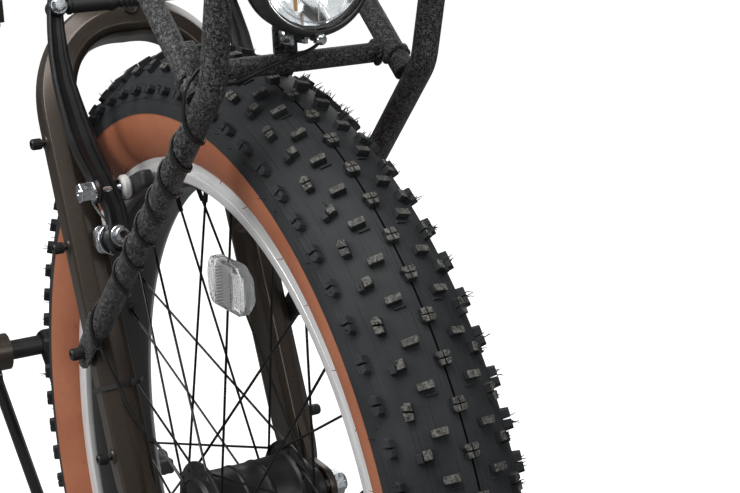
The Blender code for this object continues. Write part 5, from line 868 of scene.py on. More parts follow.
# The blocks of one pitch: degrees round the wheel, degrees from the middle, outline, height, top
MIDDLE_BLOCKS = ((42.15, D_UPPER), (42.15, D_LOWER), (37.53, S_UPPER), (37.53, S_LOWER))
# Tops that keep the tread rubber, such as the shoulder row and the outer part of the W block, stay dark:
# painted shade.
SIDE_BLOCKS = (
    (35.40, 19.65, C_BLOCK, 0.0052, LIT_KNOB_TOP),
    (40.05, 19.65, C_BLOCK, 0.0052, LIT_KNOB_TOP),
    (40.05, 19.65, C_BAR, 0.0014, TREAD),
    (38.16, 37.3, B_UPPER, 0.0050, LIT_KNOB_TOP),
    (38.16, 37.3, B_LOWER, 0.0050, LIT_KNOB_TOP),
    (42.80, 35.2, W_OUTER, 0.0046, TREAD),
    (42.80, 35.2, W_INNER, 0.0050, LIT_KNOB_TOP),
    (39.87, 60.5, A_UPPER, 0.0052, TREAD),
    (39.87, 60.5, A_LOWER, 0.0052, TREAD),
    (39.87 + KNOB_PITCH, 60.5, A_UPPER, 0.0052, TREAD),
    (39.87 + KNOB_PITCH, 60.5, A_LOWER, 0.0052, TREAD),
)


def knob(piece, phi, theta, outline, height, side, top):
    """A tread block: an outline in millimetres (down the tread, across it)."""
    along = (SECTION + CASING * math.cos(math.radians(theta))) * math.radians(1) * 1000
    across = (CASING + 0.004) * math.radians(1) * 1000
    middle_u = sum(u for u, v in outline) / len(outline)
    middle_v = sum(v for u, v in outline) / len(outline)
    rings = []
    levels = ((-0.0004, DRAFT), (height * 0.55, DRAFT * 0.35), (height - 0.0004, 0.0), (height, -INSET))
    for lift, grow in levels:
        ring = []
        for u, v in outline:
            span = math.hypot(u - middle_u, v - middle_v)
            scale = (span + grow) / span
            du = middle_u + (u - middle_u) * scale
            dv = (middle_v + (v - middle_v) * scale) * side
            ring.append(tread_point(phi - du / along, theta + dv / across, lift))
        rings.append(ring)
    piece.rings(rings[:3], TREAD, caps=False)
    piece.rings(rings[2:], top, caps=False)
    start = len(piece.verts)
    piece.verts.extend(rings[-1])
    piece.face(tuple(range(start, start + len(outline))), piece.slot(top))


def tread(piece):
    for m in range(PITCHES):
        base = PITCH_TURN * m
        for phase, outline in MIDDLE_BLOCKS:
            other_way = [(u, -v) for u, v in reversed(outline)]
            for shape in (outline, other_way):
                knob(piece, phase + base, PATTERN_SHIFT, shape, MIDDLE_HEIGHT, 1, LIT_KNOB_TOP)
        for side in (1, -1):
            for phase, row, outline, height, top in SIDE_BLOCKS:
                knob(piece, phase + base, PATTERN_SHIFT - side * row, outline, height, side, top)


def groove_shade_strip(piece):
    """A near-black strip of painted shade for the centre groove, running round between the middle blocks."""
    steps = 2 * TYRE_STEPS
    rows = []
    for theta, lift in ((-0.85, 0.00002), (-0.72, 0.00025), (0.72, 0.00025), (0.85, 0.00002)):
        rows.append([tread_point(360 * k / steps, PATTERN_SHIFT + theta, lift) for k in range(steps)])
    piece.rings(rows, GROOVE_SHADE, caps=False)


def casing(piece):
    """The black crown, the tan walls with two raised lines, and the beads."""
    thetas = [-134 + 268 * i / 88 for i in range(89)]
    thetas = sorted(thetas + [-87.6, -86.9, 86.9, 87.6, -72.5, -71.5, 71.5, 72.5])
    rows = []
    for theta in thetas:
        lift = 0.0
        if abs(theta) > 87.2:
            lift = -0.0004
        if 71.8 < abs(theta) < 72.7:
            lift = 0.0004
        rows.append([tread_point(360 * k / TYRE_STEPS, theta, lift) for k in range(TYRE_STEPS)])
    bead = [(0.2850, 0.0300), (0.2835, 0.0270), (0.2880, 0.0262), (0.2910, 0.0300)]
    inner = []
    for radius, side in bead + mirrored(bead):
        inner.append([polar(360 * k / TYRE_STEPS, radius, side) for k in range(TYRE_STEPS)])
    piece.rings([row for row, theta in zip(rows, thetas) if abs(theta) <= 87.0], TREAD, caps=False)
    piece.rings([row for row, theta in zip(rows, thetas) if theta <= -86.5], TAN, caps=False)
    piece.rings([row for row, theta in zip(rows, thetas) if theta >= 86.5], TAN, caps=False)
    piece.rings([rows[-1], *inner, rows[0]], TAN, caps=False)


def hairs(piece, seed, longest):
    """Vent hairs left by the mould, and flash hairs at the bead."""
    draw = Random(seed)

    def hair(phi, theta, base, length, lean, material):
        foot = tread_point(phi, theta, base)
        out = (tread_point(phi, theta, base + 0.01) - foot).normalized()
        side = Y.cross(out).normalized()
        bend = side * draw.uniform(-lean, lean) + Y * draw.uniform(-lean, lean)
        length *= longest
        tip = foot + (out + bend) * length
        middle = foot + (out + bend * 0.4) * length * 0.5
        piece.tube([foot - out * 0.0004, middle, tip], 0.0003, material, 5, [0.00042, 0.00032, 0.00016])

    for k in range(2 * PITCHES):
        for side in (1, -1):
            for row, phase, height, count in ((60.5, 39.87, 0.0050, 5), (36.3, 38.16, 0.0048, 6)):
                theta = PATTERN_SHIFT - side * row
                for _ in range(count):
                    if draw.random() > (0.75 if side < 0 else 0.22):
                        continue
                    lean = theta + draw.uniform(-3.4, 3.4)
                    spot = phase + KNOB_PITCH * k + draw.uniform(-0.75, 0.75)
                    hair(spot, lean, height, draw.uniform(0.0018, 0.0048), 0.55, TREAD)
            if draw.random() < 0.6:
                theta = -side * draw.uniform(66, 84)
                hair(KNOB_PITCH * (k + draw.random()), theta, 0.0, draw.uniform(0.002, 0.0045), 0.5, TREAD)
            if k % 2 == 0:
                hair(KNOB_PITCH * (k + draw.random()), -side * 131.0, -0.0004, 0.0036, 0.6, TAN)


def make_tyre(node, place, body, longest):
    piece = Piece(node)
    casing(piece)
    tread(piece)
    groove_shade_strip(piece)
    hairs(piece, 7, longest)
    piece.verts = [spot + place for spot in piece.verts]
    piece.origin = place
    piece.done(body, smooth=35)


make_tyre("front_tyre", FRONT_AXLE, "front_wheel", 1.0)
make_tyre("rear_tyre", REAR_AXLE, "rear_wheel", 0.35)


# Rims, hubs and spokes

RIM_PROFILE = [
    (0.2862, 0.0312), (0.2858, 0.0322), (0.2850, 0.0324), (0.2766, 0.0324), (0.2762, 0.0320),
    (0.2758, 0.0324), (0.2690, 0.0324), (0.2684, 0.0320), (0.2680, 0.0308), (0.2668, 0.0290),
    (0.2640, 0.0262), (0.2625, 0.0225), (0.2612, 0.0160), (0.2606, 0.0080),
]
RIM_CHANNEL = [
    (0.2856, -0.0306), (0.2800, -0.0302), (0.2790, -0.0290), (0.2760, -0.0260), (0.2700, -0.0180),
]
RIM_BED = 0.2604
EYELET_RING = [(0.0045, -0.0002), (0.0040, 0.0007), (0.0028, 0.0007), (0.0028, -0.0002)]
SPOKES_A_SIDE = 18
SPOKE_RADIUS = 0.00105
SPOKE_CROSSING = 65
HEAD_LIFT = 0.0026


def make_rim(node, place, body):
    piece = Piece(node, place)
    outer = [*RIM_PROFILE, (RIM_BED, 0.0), *mirrored(RIM_PROFILE)]
    channel = [*RIM_CHANNEL, (0.2690, 0.0), *mirrored(RIM_CHANNEL)]
    piece.turned(outer + channel, place, Y, RIM, 180, loop=True)
    for k in range(2 * SPOKES_A_SIDE):
        side = 1 if k % 2 else -1
        turn = polar(10 * k + 4, 1.0)
        piece.turned(EYELET_RING, place + turn * 0.2607 + Y * side * 0.0055, -turn, RIM, 20)
    valve = polar(-95, 1.0)
    profile = [(0, 0), (0.0075, 0), (0.0075, 0.0016), (0.0042, 0.0020), (0.0041, 0.022), (0.0050, 0.0225)]
    profile += [(0.0052, 0.031), (0.0040, 0.0325), (0, 0.0325)]
    piece.turned(profile, place + valve * RIM_BED, -valve, RUBBER, 24)
    piece.done(body, smooth=35)


def spoke_angle(k, side):
    return 20 * (k + (1 if side > 0 else 0))


def spokes(piece, place, offset, hole):
    """Thirty-six crossed spokes with their nipples and heads."""
    nipple = [(0, 0), (0.0017, 0.0003), (0.0019, 0.001), (0.0019, 0.0105), (0.0024, 0.0115)]
    nipple += [(0.0024, 0.013), (0, 0.013)]
    for side in (-1, 1):
        for k in range(SPOKES_A_SIDE):
            lead = 1 if k % 2 else -1
            angle = spoke_angle(k, side)
            start = place + polar(angle, hole, side * (offset + lead * HEAD_LIFT))
            end = place + polar(angle + lead * SPOKE_CROSSING, 0.2594, side * 0.006)
            along = (end - start).normalized()
            inward = Y * side * -lead
            piece.tube([start + along * 0.002, end - along * 0.010], SPOKE_RADIUS, SPOKE, 10)
            piece.turned(nipple, end - along * 0.0125, along, SPOKE, 12)
            through = start + inward * HEAD_LIFT
            bend = [start + along * 0.0045, start + along * 0.0018]
            bend += [start + inward * 0.0008, through + inward * 0.0012]
            piece.tube(bend, 0.0011, SPOKE, 10)
            piece.rod(through + inward * 0.0012, through + inward * 0.0032, 0.0020, SPOKE, steps=12)


def make_front_hub():
    piece = Piece("front_hub", FRONT_AXLE)
    half = [
        (0.0165, 0.0640), (0.0180, 0.0625), (0.0180, 0.0560), (0.0195, 0.0545),
        (0.0270, 0.0530), (0.0300, 0.0505), (0.0310, 0.0440), (0.0330, 0.0412), (0.0430, 0.0404),
        (0.0448, 0.0396), (0.0452, 0.0382), (0.0448, 0.0366), (0.0430, 0.0358), (0.0385, 0.0352),
        (0.0362, 0.0330), (0.0352, 0.0290), (0.0348, 0.0200), (0.0346, 0.0125), (0.0352, 0.0115),
        (0.0356, 0.0100), (0.0352, 0.0085), (0.0346, 0.0075), (0.0344, 0.0),
    ]
    right = [(radius, side) for radius, side in mirrored(half) if side > -0.0455]
    profile = [(0.0090, 0.0640), *half, *right, (0.0330, -0.0412), (0.0300, -0.0440), (0.0090, -0.0440)]
    piece.turned(profile, FRONT_AXLE, Y, ALLOY, 96)
    for side in (-1, 1):
        for k in range(SPOKES_A_SIDE):
            spot = FRONT_AXLE + polar(spoke_angle(k, side), 0.0390, side * 0.0406)
            piece.turned([(0, 0.0001), (0.0016, 0.0001), (0.0019, -0.0003)], spot, Y * side, SHEATH, 12)
    spokes(piece, FRONT_AXLE, 0.038, 0.039)
    piece.done("front_wheel", smooth=32)


def make_rear_hub():
    piece = Piece("rear_hub", REAR_AXLE)
    half = [(0.0095, 0.0810), (0.0150, 0.0810), (0.0165, 0.0790), (0.0165, 0.0520), (0.0200, 0.0500)]
    half += [(0.0230, 0.0430), (0.0300, 0.0425), (0.0322, 0.0420), (0.0328, 0.0400), (0.0322, 0.0380)]
    half += [(0.0300, 0.0375), (0.0220, 0.0360), (0.0190, 0.0280)]
    right = [spot for spot in mirrored(half) if spot[1] > -0.0790]
    right += [(0.0165, -0.0810), (0.0095, -0.0810)]
    piece.sleeve([*half, (0.0180, 0.0), *right], REAR_AXLE, Y, ALLOY, 64)
    spokes(piece, REAR_AXLE, 0.040, 0.027)
    piece.done("rear_wheel", smooth=32)


make_rim("front_rim", FRONT_AXLE, "front_wheel")
make_rim("rear_rim", REAR_AXLE, "rear_wheel")
make_front_hub()
make_rear_hub()


# Fork

BLADE_OUTLINE = [
    (-22.0, 2.0), (-19.5, 7.2), (-12.0, 12.3), (-4.0, 13.9), (7.0, 13.9), (11.2, 12.6),
    (16.6, 7.0), (20.4, 3.0), (21.2, -4.0), (21.8, -7.5), (19.5, -12.5), (10.0, -14.0),
    (-10.0, -14.0), (-20.0, -11.0), (-22.0, -6.0),
]
BLADE_ROUNDS = [4, 6, 6, 5, 2.0, 2.6, 2.6, 3.0, 4, 3, 4.5, 5, 6, 6, 5]
BLADE = [(e * 0.001, o * 0.001) for e, o in soft_outline(BLADE_OUTLINE, BLADE_ROUNDS, 4)]
BLADE_SIDE = 0.0743
BLADE_HALF = 0.014
BLADE_FOOT = (
    (0.014, 0.52), (0.0155, 0.68), (0.019, 0.80), (0.026, 0.88), (0.038, 0.95), (0.055, 0.99),
)
BLADE_HEIGHTS = (0.075, 0.110, 0.150, 0.190, 0.230, 0.270, 0.300, 0.320)
ARCH_START = 0.335
ARCH_TOP = 0.418
ARCH_STEPS = 44
EYELET_LOW = 0.0620
EYELET_STEP = 0.0865
EYELET_BOSS = 0.0018
PIVOT = 0.230
PIVOT_SIDE = 0.0631


def arch_spot(t):
    """Height and side on the arch, t from 0 at the left shoulder to 1 at the right."""
    turn = math.pi * t
    c, s = math.cos(turn), math.sin(turn)
    bulge = 2 / 2.3
    side = math.copysign(abs(c) ** bulge, c) * BLADE_SIDE
    return ARCH_START + (ARCH_TOP - ARCH_START) * abs(s) ** bulge, side


def fork_stations():
    leg = [*BLADE_FOOT, *[(height, 1.0) for height in BLADE_HEIGHTS]]
    stations = [(height, BLADE_SIDE, scale) for height, scale in leg]
    stations += [(*arch_spot(i / ARCH_STEPS), 1.0) for i in range(ARCH_STEPS + 1)]
    stations += [(height, -BLADE_SIDE, scale) for height, scale in reversed(leg)]
    return stations


def fork_blades(piece):
    stations = fork_stations()
    rings = []
    for i, (height, side, scale) in enumerate(stations):
        before, after = beside(stations, i)
        along = (STEER_UP * (after[0] - before[0]) + Y * (after[1] - before[1])).normalized()
        outward = along.cross(STEER_FORWARD).normalized()
        crown = 1 - abs(side) / BLADE_SIDE
        deep, wide = scale * (1 + 0.08 * crown), scale * (1 + 0.286 * crown)
        outline = [(e * deep, o * wide) for e, o in BLADE]
        rings.append(section(steer(height, 0.0, side), STEER_FORWARD, outward, outline))
    piece.rings(rings, BRONZE)


def make_fork():
    piece = Piece("fork")
    fork_blades(piece)
    race = [(0.0, 0.418), (0.0235, 0.418), (0.0235, 0.4325), (0.0222, 0.4345), (0.0214, 0.4372)]
    race += [(0.0143, 0.4375), (0.0143, 0.6280), (0.0136, 0.6290), (0.0, 0.6290)]
    piece.turned(race, STEER_FOOT, STEER_UP, BRONZE, 48)
    dropout = [(-0.020, 0.060), (-0.019, 0.010), (-0.010, -0.006)]
    for k in range(9):
        turn = math.radians(255 + 170 * k / 8)
        dropout.append((FORK_RAKE + 0.017 * math.cos(turn), 0.017 * math.sin(turn)))
    dropout += [(0.030, 0.024), (0.021, 0.060)]
    post = [(0.0, 0.014), (0.0105, 0.014), (0.0105, 0.0335), (0.0098, 0.0342), (0.0070, 0.0345)]
    post += [(0.0050, 0.0346), (0.0050, 0.0560), (0.0044, 0.0566), (0.0, 0.0566)]
    boss = [(0.0, -0.003), (0.0068, -0.003), (0.0066, 0.0004), (0.0058, 0.0014), (0.0044, 0.0016)]
    boss.append((0.0, 0.0016))
    for side in (-1, 1):
        out = Y * side
        piece.plate(dropout, steer(0, 0, side * 0.0705), STEER_FORWARD, STEER_UP, 0.0058, BRONZE, 0.0008)
        piece.turned(post, steer(PIVOT, 0.0, side * PIVOT_SIDE), STEER_FORWARD, BRONZE, 32)
        for i in range(4):
            face = steer(EYELET_LOW + EYELET_STEP * i, 0, side * 0.0880)
            piece.turned(boss, face, out, BRONZE, 28)
            if i != 1:
                piece.rod(face, face + out * 0.0045, 0.0026, SHEATH, steps=16)
                piece.socket_bolt(face + out * 0.0042, out, 0.0044, 0.0084, SHEATH, RUBBER)
    hole = steer(0.4215, 0.0236, 0.0)
    lip = [(0.0, -0.0015), (0.0062, -0.0015), (0.0062, 0.0004), (0.0052, 0.0009), (0.0040, 0.0005)]
    piece.turned([*lip, (0.0, 0.0003)], hole, STEER_FORWARD, BRONZE, 32)
    piece.disc(hole, STEER_FORWARD, 0.0036, 0.0004, 0.0007, RUBBER, 24)
    piece.done("fork", smooth=30)


make_fork()


# Front rack and its bolts

STRUT = 0.0092
BRACE = 0.0082
CROSS = 0.0072
RACK_SIDE = 0.080
DECK_HEIGHT = 0.500
STEM_LOW = 0.5906
EYELET = EYELET_LOW + EYELET_STEP
EYELET_FACE = BLADE_SIDE + BLADE_HALF + EYELET_BOSS
FOOT_SIDE = EYELET_FACE + 0.00225
LOW_BAR = (0.114, 0.3655)
REAR_BAR = (-0.020, DECK_HEIGHT)
CROSS_BARS = (LOW_BAR, REAR_BAR, (0.075, DECK_HEIGHT), (0.172, DECK_HEIGHT))


def strut_line(side):
    start = by_axle(-0.080, side * FOOT_SIDE, 0.1295)
    bend = by_axle(0.1651, side * RACK_SIDE, 0.3619)
    return (bend - start).normalized(), start, bend


def weld(piece, place, first, second, radius, seed):
    """A smooth fillet with a rippled bead where one tube meets another."""
    draw = Random(seed)
    first, second = Vector(first).normalized(), Vector(second).normalized()
    normal = first.cross(second).normalized()
    count, around = 48, 10
    phase = draw.uniform(0, math.pi)
    rings = []
    for k in range(count):
        turn = 2 * math.pi * k / count
        out = second * math.cos(turn) + normal * math.sin(turn)
        spot = place + out * radius - first * math.sin(turn) ** 2 * radius * 0.45
        size = radius * (0.25 + 0.045 * math.sin(turn * 11 + phase) + draw.uniform(-0.012, 0.012))
        rings.append(circle(spot, out, first * 1.35, size, around))
    piece.rings(rings, RACK, loop=True)


def rack_foot(piece, side, direction):
    """The strut's end, forged flat onto the eyelet."""
    hole = steer(EYELET, 0, side * FOOT_SIDE)
    across = Y.cross(direction).normalized()
    rings = []
    for along, wide, deep in (
        (-0.0165, 0.004, 0.0030), (-0.0155, 0.010, 0.0042), (-0.0130, 0.0158, 0.0045),
        (-0.0080, 0.0205, 0.0045), (0.0000, 0.0225, 0.0045), (0.0120, 0.0225, 0.0046),
        (0.0200, 0.0222, 0.0062), (0.0280, 0.0210, 0.0105), (0.0370, 0.0195, 0.0150),
        (0.0480, 0.0186, 0.0178), (0.0560, 0.0182, 0.0182),
    ):
        spot = hole + direction * along
        middle = spot if along > 0.024 else Vector((spot.x, side * FOOT_SIDE, spot.z))
        rings.append(section(middle, across, Y, squircle(wide, deep, 3.0, 28)))
    piece.rings(rings, RACK)


def rack_web(piece, brace, rise, run):
    """The filled corner between brace and strut."""
    rings = []
    for along, wide in ((0.000, 0.012), (0.020, 0.0165), (0.026, 0.0190), (0.032, 0.0120), (0.035, 0.0050)):
        spot = brace.lerp(brace + rise * 0.035 + run * 0.016, along / 0.035)
        rings.append(section(spot, rise.cross(Y).normalized(), Y, squircle(wide, 0.0105, 4, 20)))
    piece.rings(rings, RACK)


def rack_side(piece, side):
    direction, start, bend = strut_line(side)
    corner = by_axle(0.208, side * RACK_SIDE, DECK_HEIGHT)
    rear = by_axle(-0.024, side * RACK_SIDE, DECK_HEIGHT)
    path = rounded([start + direction * 0.036, bend, corner, rear], 0.035, 12)
    piece.tube(path, STRUT, RACK, 28, round_ends=True)
    rack_foot(piece, side, direction)
    brace = by_axle(0.1405, side * RACK_SIDE, 0.3530)
    top = rear + Vector((0.003, 0, 0))
    piece.tube([brace, brace.lerp(top, 0.5), top], BRACE, RACK, 26)
    rise = (top - brace).normalized()
    weld(piece, brace + rise * 0.0185, rise, direction, BRACE, 3 + side)
    if side < 0:
        rack_web(piece, brace, rise, direction)
    weld(piece, top - rise * 0.0100, rise, X, BRACE * 1.02, 5 + side)
    for i, (forward, height) in enumerate(CROSS_BARS):
        spot = by_axle(forward, side * (RACK_SIDE - 0.0088), height)
        along = rise if height < DECK_HEIGHT else X
        weld(piece, spot, Y * -side, along, CROSS * 1.06, (i + 1) * 7 + side)


def rack_stay(piece):
    """The flat strap from the ring on the steerer to the deck's rear bar."""
    ring = [(0.0148, 0.0), (0.0212, 0.0), (0.0215, 0.0004), (0.0215, 0.0036), (0.0212, 0.0040)]
    piece.sleeve([*ring, (0.0148, 0.0040)], steer(STEM_LOW, 0, 0), STEER_UP, RACK, 56)
    foot = steer(STEM_LOW + 0.002, 0, 0)
    end = by_axle(REAR_BAR[0], 0, REAR_BAR[1])
    spots = [foot + STEER_FORWARD * 0.018, foot + STEER_FORWARD * 0.045]
    spine = spline([*spots, end + Vector((-0.045, 0, 0.004)), end], 6)
    rings = []
    for i, spot in enumerate(spine):
        before, after = beside(spine, i)
        lift = Y.cross(after - before).normalized()
        rings.append(section(spot, Y, lift, squircle(0.026, 0.0042, 6, 24)))
    piece.rings(rings, RACK)


def make_rack():
    piece = Piece("front_rack")
    for side in (-1, 1):
        rack_side(piece, side)
    for forward, height in CROSS_BARS:
        ends = [by_axle(forward, y, height) for y in (-RACK_SIDE, 0.0, RACK_SIDE)]
        piece.tube(ends, CROSS, RACK, 24)
    strip = [(-0.098, -0.017), (0.098, -0.017), (0.098, 0.017), (-0.098, 0.017)]
    middle = by_axle(0.074, 0, DECK_HEIGHT + CROSS)
    piece.plate(soft_outline(strip, 0.006, 5), middle, X, Y, 0.0025, RACK, 0.0006)
    tab = [(-0.009, -0.014), (0.009, -0.014), (0.009, 0.006), (0.0045, 0.014), (-0.0045, 0.014)]
    tab.append((-0.009, 0.006))
    middle = by_axle(LOW_BAR[0], 0, LOW_BAR[1] + CROSS + 0.012)
    piece.plate(soft_outline(tab, 0.003, 4), middle, Y, Z, 0.0030, RACK, 0.0005)
    rack_stay(piece)
    piece.done("fork", smooth=40)


def make_rack_bolt(side, name):
    piece = Piece(f"rack_bolt_{name}")
    out = Y * side
    seat = steer(EYELET, 0, side * (FOOT_SIDE + 0.0027))
    piece.rod(steer(EYELET, 0, side * EYELET_FACE), seat + out * 0.002, 0.0029, SHEATH, steps=16)
    piece.sleeve([(0.0032, 0.0), (0.0070, 0.0), (0.0070, 0.0009), (0.0032, 0.0009)], seat, out, SHEATH, 28)
    piece.socket_bolt(seat + out * 0.0009, out, 0.0047, 0.0085, SHEATH, RUBBER)
    piece.done("fork", smooth=30)


make_rack()
for side, name in SIDES:
    make_rack_bolt(side, name)


# The lamp's lead, its tie and its connector

PLUG = FRONT_AXLE + Vector((0.0, -0.0545, 0.0165))
LEAD_START = by_axle(0.1430, 0.0170, 0.3895)
LEAD_CORE = 0.00088
CORE_SHIFT = 0.00078
TURN_STEPS = 24
TURNS = 7.25
EVEN_TURNS = 6.25
TURN_PITCH = 0.0312
LAST_PITCH = 0.085
TIE_HEIGHT = 0.1165
BLADE_FRONT = 0.022 + 0.0017 + 0.0008


def lead_winding():
    """The turns round the strut, the last one drawn out."""
    axis, start, _ = strut_line(-1)
    side = axis.cross(Y).normalized()
    out = side.cross(axis).normalized()
    winding = []
    for i in range(int(TURNS * TURN_STEPS) + 1):
        turns = i / TURN_STEPS
        even = min(turns, EVEN_TURNS)
        turn = 2 * math.pi * turns
        along = 0.3015 - TURN_PITCH * even - LAST_PITCH * (turns - even) - 0.003 * math.sin(turn - 0.87)
        spoke = -out * math.cos(turn) - side * math.sin(turn)
        winding.append(start + axis * along + spoke * (STRUT + 0.0009))
    return winding


def lead_points():
    winding = lead_winding()
    first = [
        LEAD_START, by_axle(0.1310, 0.0140, 0.3765), by_axle(0.1245, -0.0060, 0.3690),
        by_axle(0.1245, -0.0255, 0.3630), by_axle(0.1280, -0.0450, 0.3580), by_axle(0.1420, -0.0620, 0.3610),
        by_axle(0.1500, -0.0660, 0.3720), by_axle(0.1535, -0.0730, 0.3790), by_axle(0.1585, -0.0815, 0.3772),
        by_axle(0.1560, -0.0885, 0.3700), by_axle(0.1500, -0.0912, 0.3620), by_axle(0.1450, -0.0922, 0.3535),
    ]
    last = [
        steer(0.1480, 0.0375, -0.0918), steer(0.1330, 0.0300, -0.0858),
        steer(TIE_HEIGHT, BLADE_FRONT, -0.0790), steer(0.0980, BLADE_FRONT + 0.0012, -0.0753),
        steer(0.0800, BLADE_FRONT + 0.004, -0.0683), steer(0.0620, BLADE_FRONT + 0.010, -0.0603),
        PLUG + Vector((0.002, -0.001, 0.019)), PLUG + Vector((0, 0, 0.0072)),
    ]
    head = spline([*first, winding[0], winding[2]], 8)[:-9]
    tail = spline([winding[-3], winding[-1], *last], 8)[9:]
    return head + winding + tail


def make_lead():
    piece = Piece("lamp_lead")
    path = lead_points()
    axis = strut_line(-1)[0]
    tangents = [way[2] for way in frames(path)]
    for shift in (-CORE_SHIFT, CORE_SHIFT):
        run = [spot + (axis - t * axis.dot(t)).normalized() * shift for spot, t in zip(path, tangents)]
        piece.tube(run, LEAD_CORE, SHEATH, 12, round_ends=True)
    piece.done("fork", smooth=50)


def make_tie():
    piece = Piece("cable_tie")
    foot = steer(TIE_HEIGHT, 0, -BLADE_SIDE)
    rings = []
    for lift, grow in ((-0.0019, 0.0006), (0.0019, 0.0006), (0.0019, 0.0015), (-0.0019, 0.0015)):
        outline = []
        for e, o in BLADE:
            scale = 1 + grow / math.hypot(e, o)
            outline.append((e * scale, -o * scale))
        rings.append(section(foot + STEER_UP * lift, STEER_FORWARD, Y, outline))
    piece.rings(rings, PLASTIC, loop=True)
    head = steer(TIE_HEIGHT, 0.0268, -0.0663)
    piece.block((0.0060, 0.0058, 0.0052), head, PLASTIC, axes(STEER_FORWARD, Y, STEER_UP), 0.0006)
    rings = []
    for forward, side, up in ((0.001, 0.0025, 0.0), (0.0040, 0.0050, 0.0), (0.0070, 0.0060, 0.002)):
        spot = head + STEER_FORWARD * forward + Y * side + STEER_UP * up
        rings.append(section(spot, STEER_UP, Y, squircle(0.0036, 0.0009, 4, 12)))
    piece.rings(rings, PLASTIC)
    piece.done("fork", smooth=40)


def make_connector():
    piece = Piece("dynamo_connector")
    piece.block((0.0118, 0.0098, 0.0118), PLUG, PLASTIC, None, 0.0015, 3)
    piece.block((0.0075, 0.0080, 0.0030), PLUG + Z * 0.0062, PLASTIC, None, 0.0008)
    piece.block((0.0125, 0.0020, 0.0060), PLUG + Y * -0.003, PLASTIC, None, 0.0004)
    piece.done("fork", smooth=40)


make_lead()
make_tie()
make_connector()


# Rim brakes

PAD_AT = 0.2690
PULL = 0.4190
RIM_FACE = 0.0324
PAD_GAP = 0.0020
SEAT_TUBE = 0.475
STAY_DROP = 0.055
ARM = [
    (-0.062, 0.0000, 0.0100, 0.0090), (-0.055, 0.0000, 0.0150, 0.0100), (-0.040, -0.0003, 0.0190, 0.0110),
    (0.000, -0.0010, 0.0205, 0.0120), (0.060, -0.0030, 0.0190, 0.0120), (0.120, -0.0030, 0.0185, 0.0118),
    (0.200, 0.0000, 0.0200, 0.0115), (0.290, 0.0052, 0.0222, 0.0112), (0.380, 0.0098, 0.0232, 0.0108),
    (0.476, 0.0128, 0.0226, 0.0106), (0.588, 0.0150, 0.0204, 0.0102), (0.688, 0.0164, 0.0182, 0.0098),
    (0.800, 0.0160, 0.0162, 0.0094), (0.905, 0.0140, 0.0142, 0.0092), (0.980, 0.0118, 0.0132, 0.0094),
    (1.040, 0.0092, 0.0122, 0.0092), (1.075, 0.0080, 0.0060, 0.0070),
]
PAD_HALF = [
    (-0.0310, 0.0090, 0.0060), (-0.0302, 0.0118, 0.0084), (-0.0285, 0.0136, 0.0098),
    (-0.0240, 0.0148, 0.0108), (-0.0160, 0.0152, 0.0110),
]
BOOT_STEPS = 78
BOOT_FOLDS = 15


class Stand:
    """Where a rim brake sits: up the stays, out from them, and sideways."""

    def __init__(self, foot, up, out, plane):
        self.foot, self.up, self.out, self.plane = foot, up, out, plane

    def at(self, height, out, side):
        return self.foot + self.up * height + self.out * out + Y * side

    def by_arm(self, height, side, outward, lift=0.0):
        """A place in the arms' plane, outward from the pivot on one side."""
        return self.at(height, self.plane + lift, side * (PIVOT_SIDE + outward))


def stay_stand():
    top = BRACKET + SEAT_UP * (SEAT_TUBE - STAY_DROP)
    angle = math.atan2(top.z - REAR_AXLE.z, top.x - REAR_AXLE.x)
    up = Vector((math.cos(angle), 0, math.sin(angle)))
    out = Vector((-up.z, 0, up.x))
    return Stand(REAR_AXLE - out * 0.016, up, out, 0.024)


def arm_ring(stand, spot, across, wide, deep):
    """The forged section: a raised outer edge and a dished front."""
    w, d = wide / 2, deep / 2
    outline = [
        (-w, -d * 0.7), (-w * 0.8, -d), (w * 0.75, -d), (w, -d * 0.6), (w, d * 0.45), (w * 0.90, d),
        (w * 0.74, d), (w * 0.60, d * 0.62), (w * 0.10, d * 0.36), (-w * 0.30, d * 0.50),
        (-w * 0.42, d * 0.86), (-w * 0.62, d * 0.90), (-w * 0.95, d * 0.10),
    ]
    return section(spot, across, stand.out, soft_outline(outline, 0.0010, 3))


def arm_blade(piece, stand, side):
    spots = [stand.by_arm(PIVOT + (PULL - PIVOT) * share, side, outward) for share, outward, _, _ in ARM]
    rings = []
    for i, spot in enumerate(spots):
        before, after = beside(spots, i)
        across = (after - before).normalized().cross(stand.out).normalized()
        if across.y * side < 0:
            across = -across
        rings.append(arm_ring(stand, spot, across, ARM[i][2], ARM[i][3]))
    piece.rings(rings, ALLOY)


def arm_pivot(piece, stand, side):
    """The pivot's boss, washer, bolt, spring and spring cover."""
    root, out = stand.by_arm(PIVOT, side, 0.0), stand.out
    boss = [
        (0, -0.0066), (0.0100, -0.0066), (0.0104, -0.0060), (0.0104, 0.0060), (0.0100, 0.0066), (0, 0.0066),
    ]
    piece.turned(boss, root, out, ALLOY, 40)
    washer = [(0, 0.0066), (0.0086, 0.0066), (0.0086, 0.0076), (0.0080, 0.0080), (0, 0.0080)]
    piece.turned(washer, root, out, STEEL, 32)
    piece.socket_bolt(root + out * 0.0080, out, 0.0062, 0.0058, STEEL, RUBBER)
    spring = []
    for k in range(9):
        turn = math.radians(-70 + 150 * k / 8)
        coil = stand.up * 0.0125 * math.sin(turn) + Y * side * 0.0125 * math.cos(turn)
        spring.append(root + out * -0.0085 + coil)
    spring.append(stand.by_arm(PIVOT + 0.030, side, 0.0105, -0.0095))
    spring.append(stand.by_arm(PIVOT + 0.052, side, 0.0118, -0.0090))
    piece.tube(spline(spring, 3), 0.0010, STEEL, 10, round_ends=True)
    spot = stand.by_arm(PIVOT + 0.0015, side, 0.0075, -0.0125)
    piece.plate(squircle(0.0150, 0.0230, 3.2, 28), spot, Y * side, stand.up, 0.0050, STEEL, 0.0010)


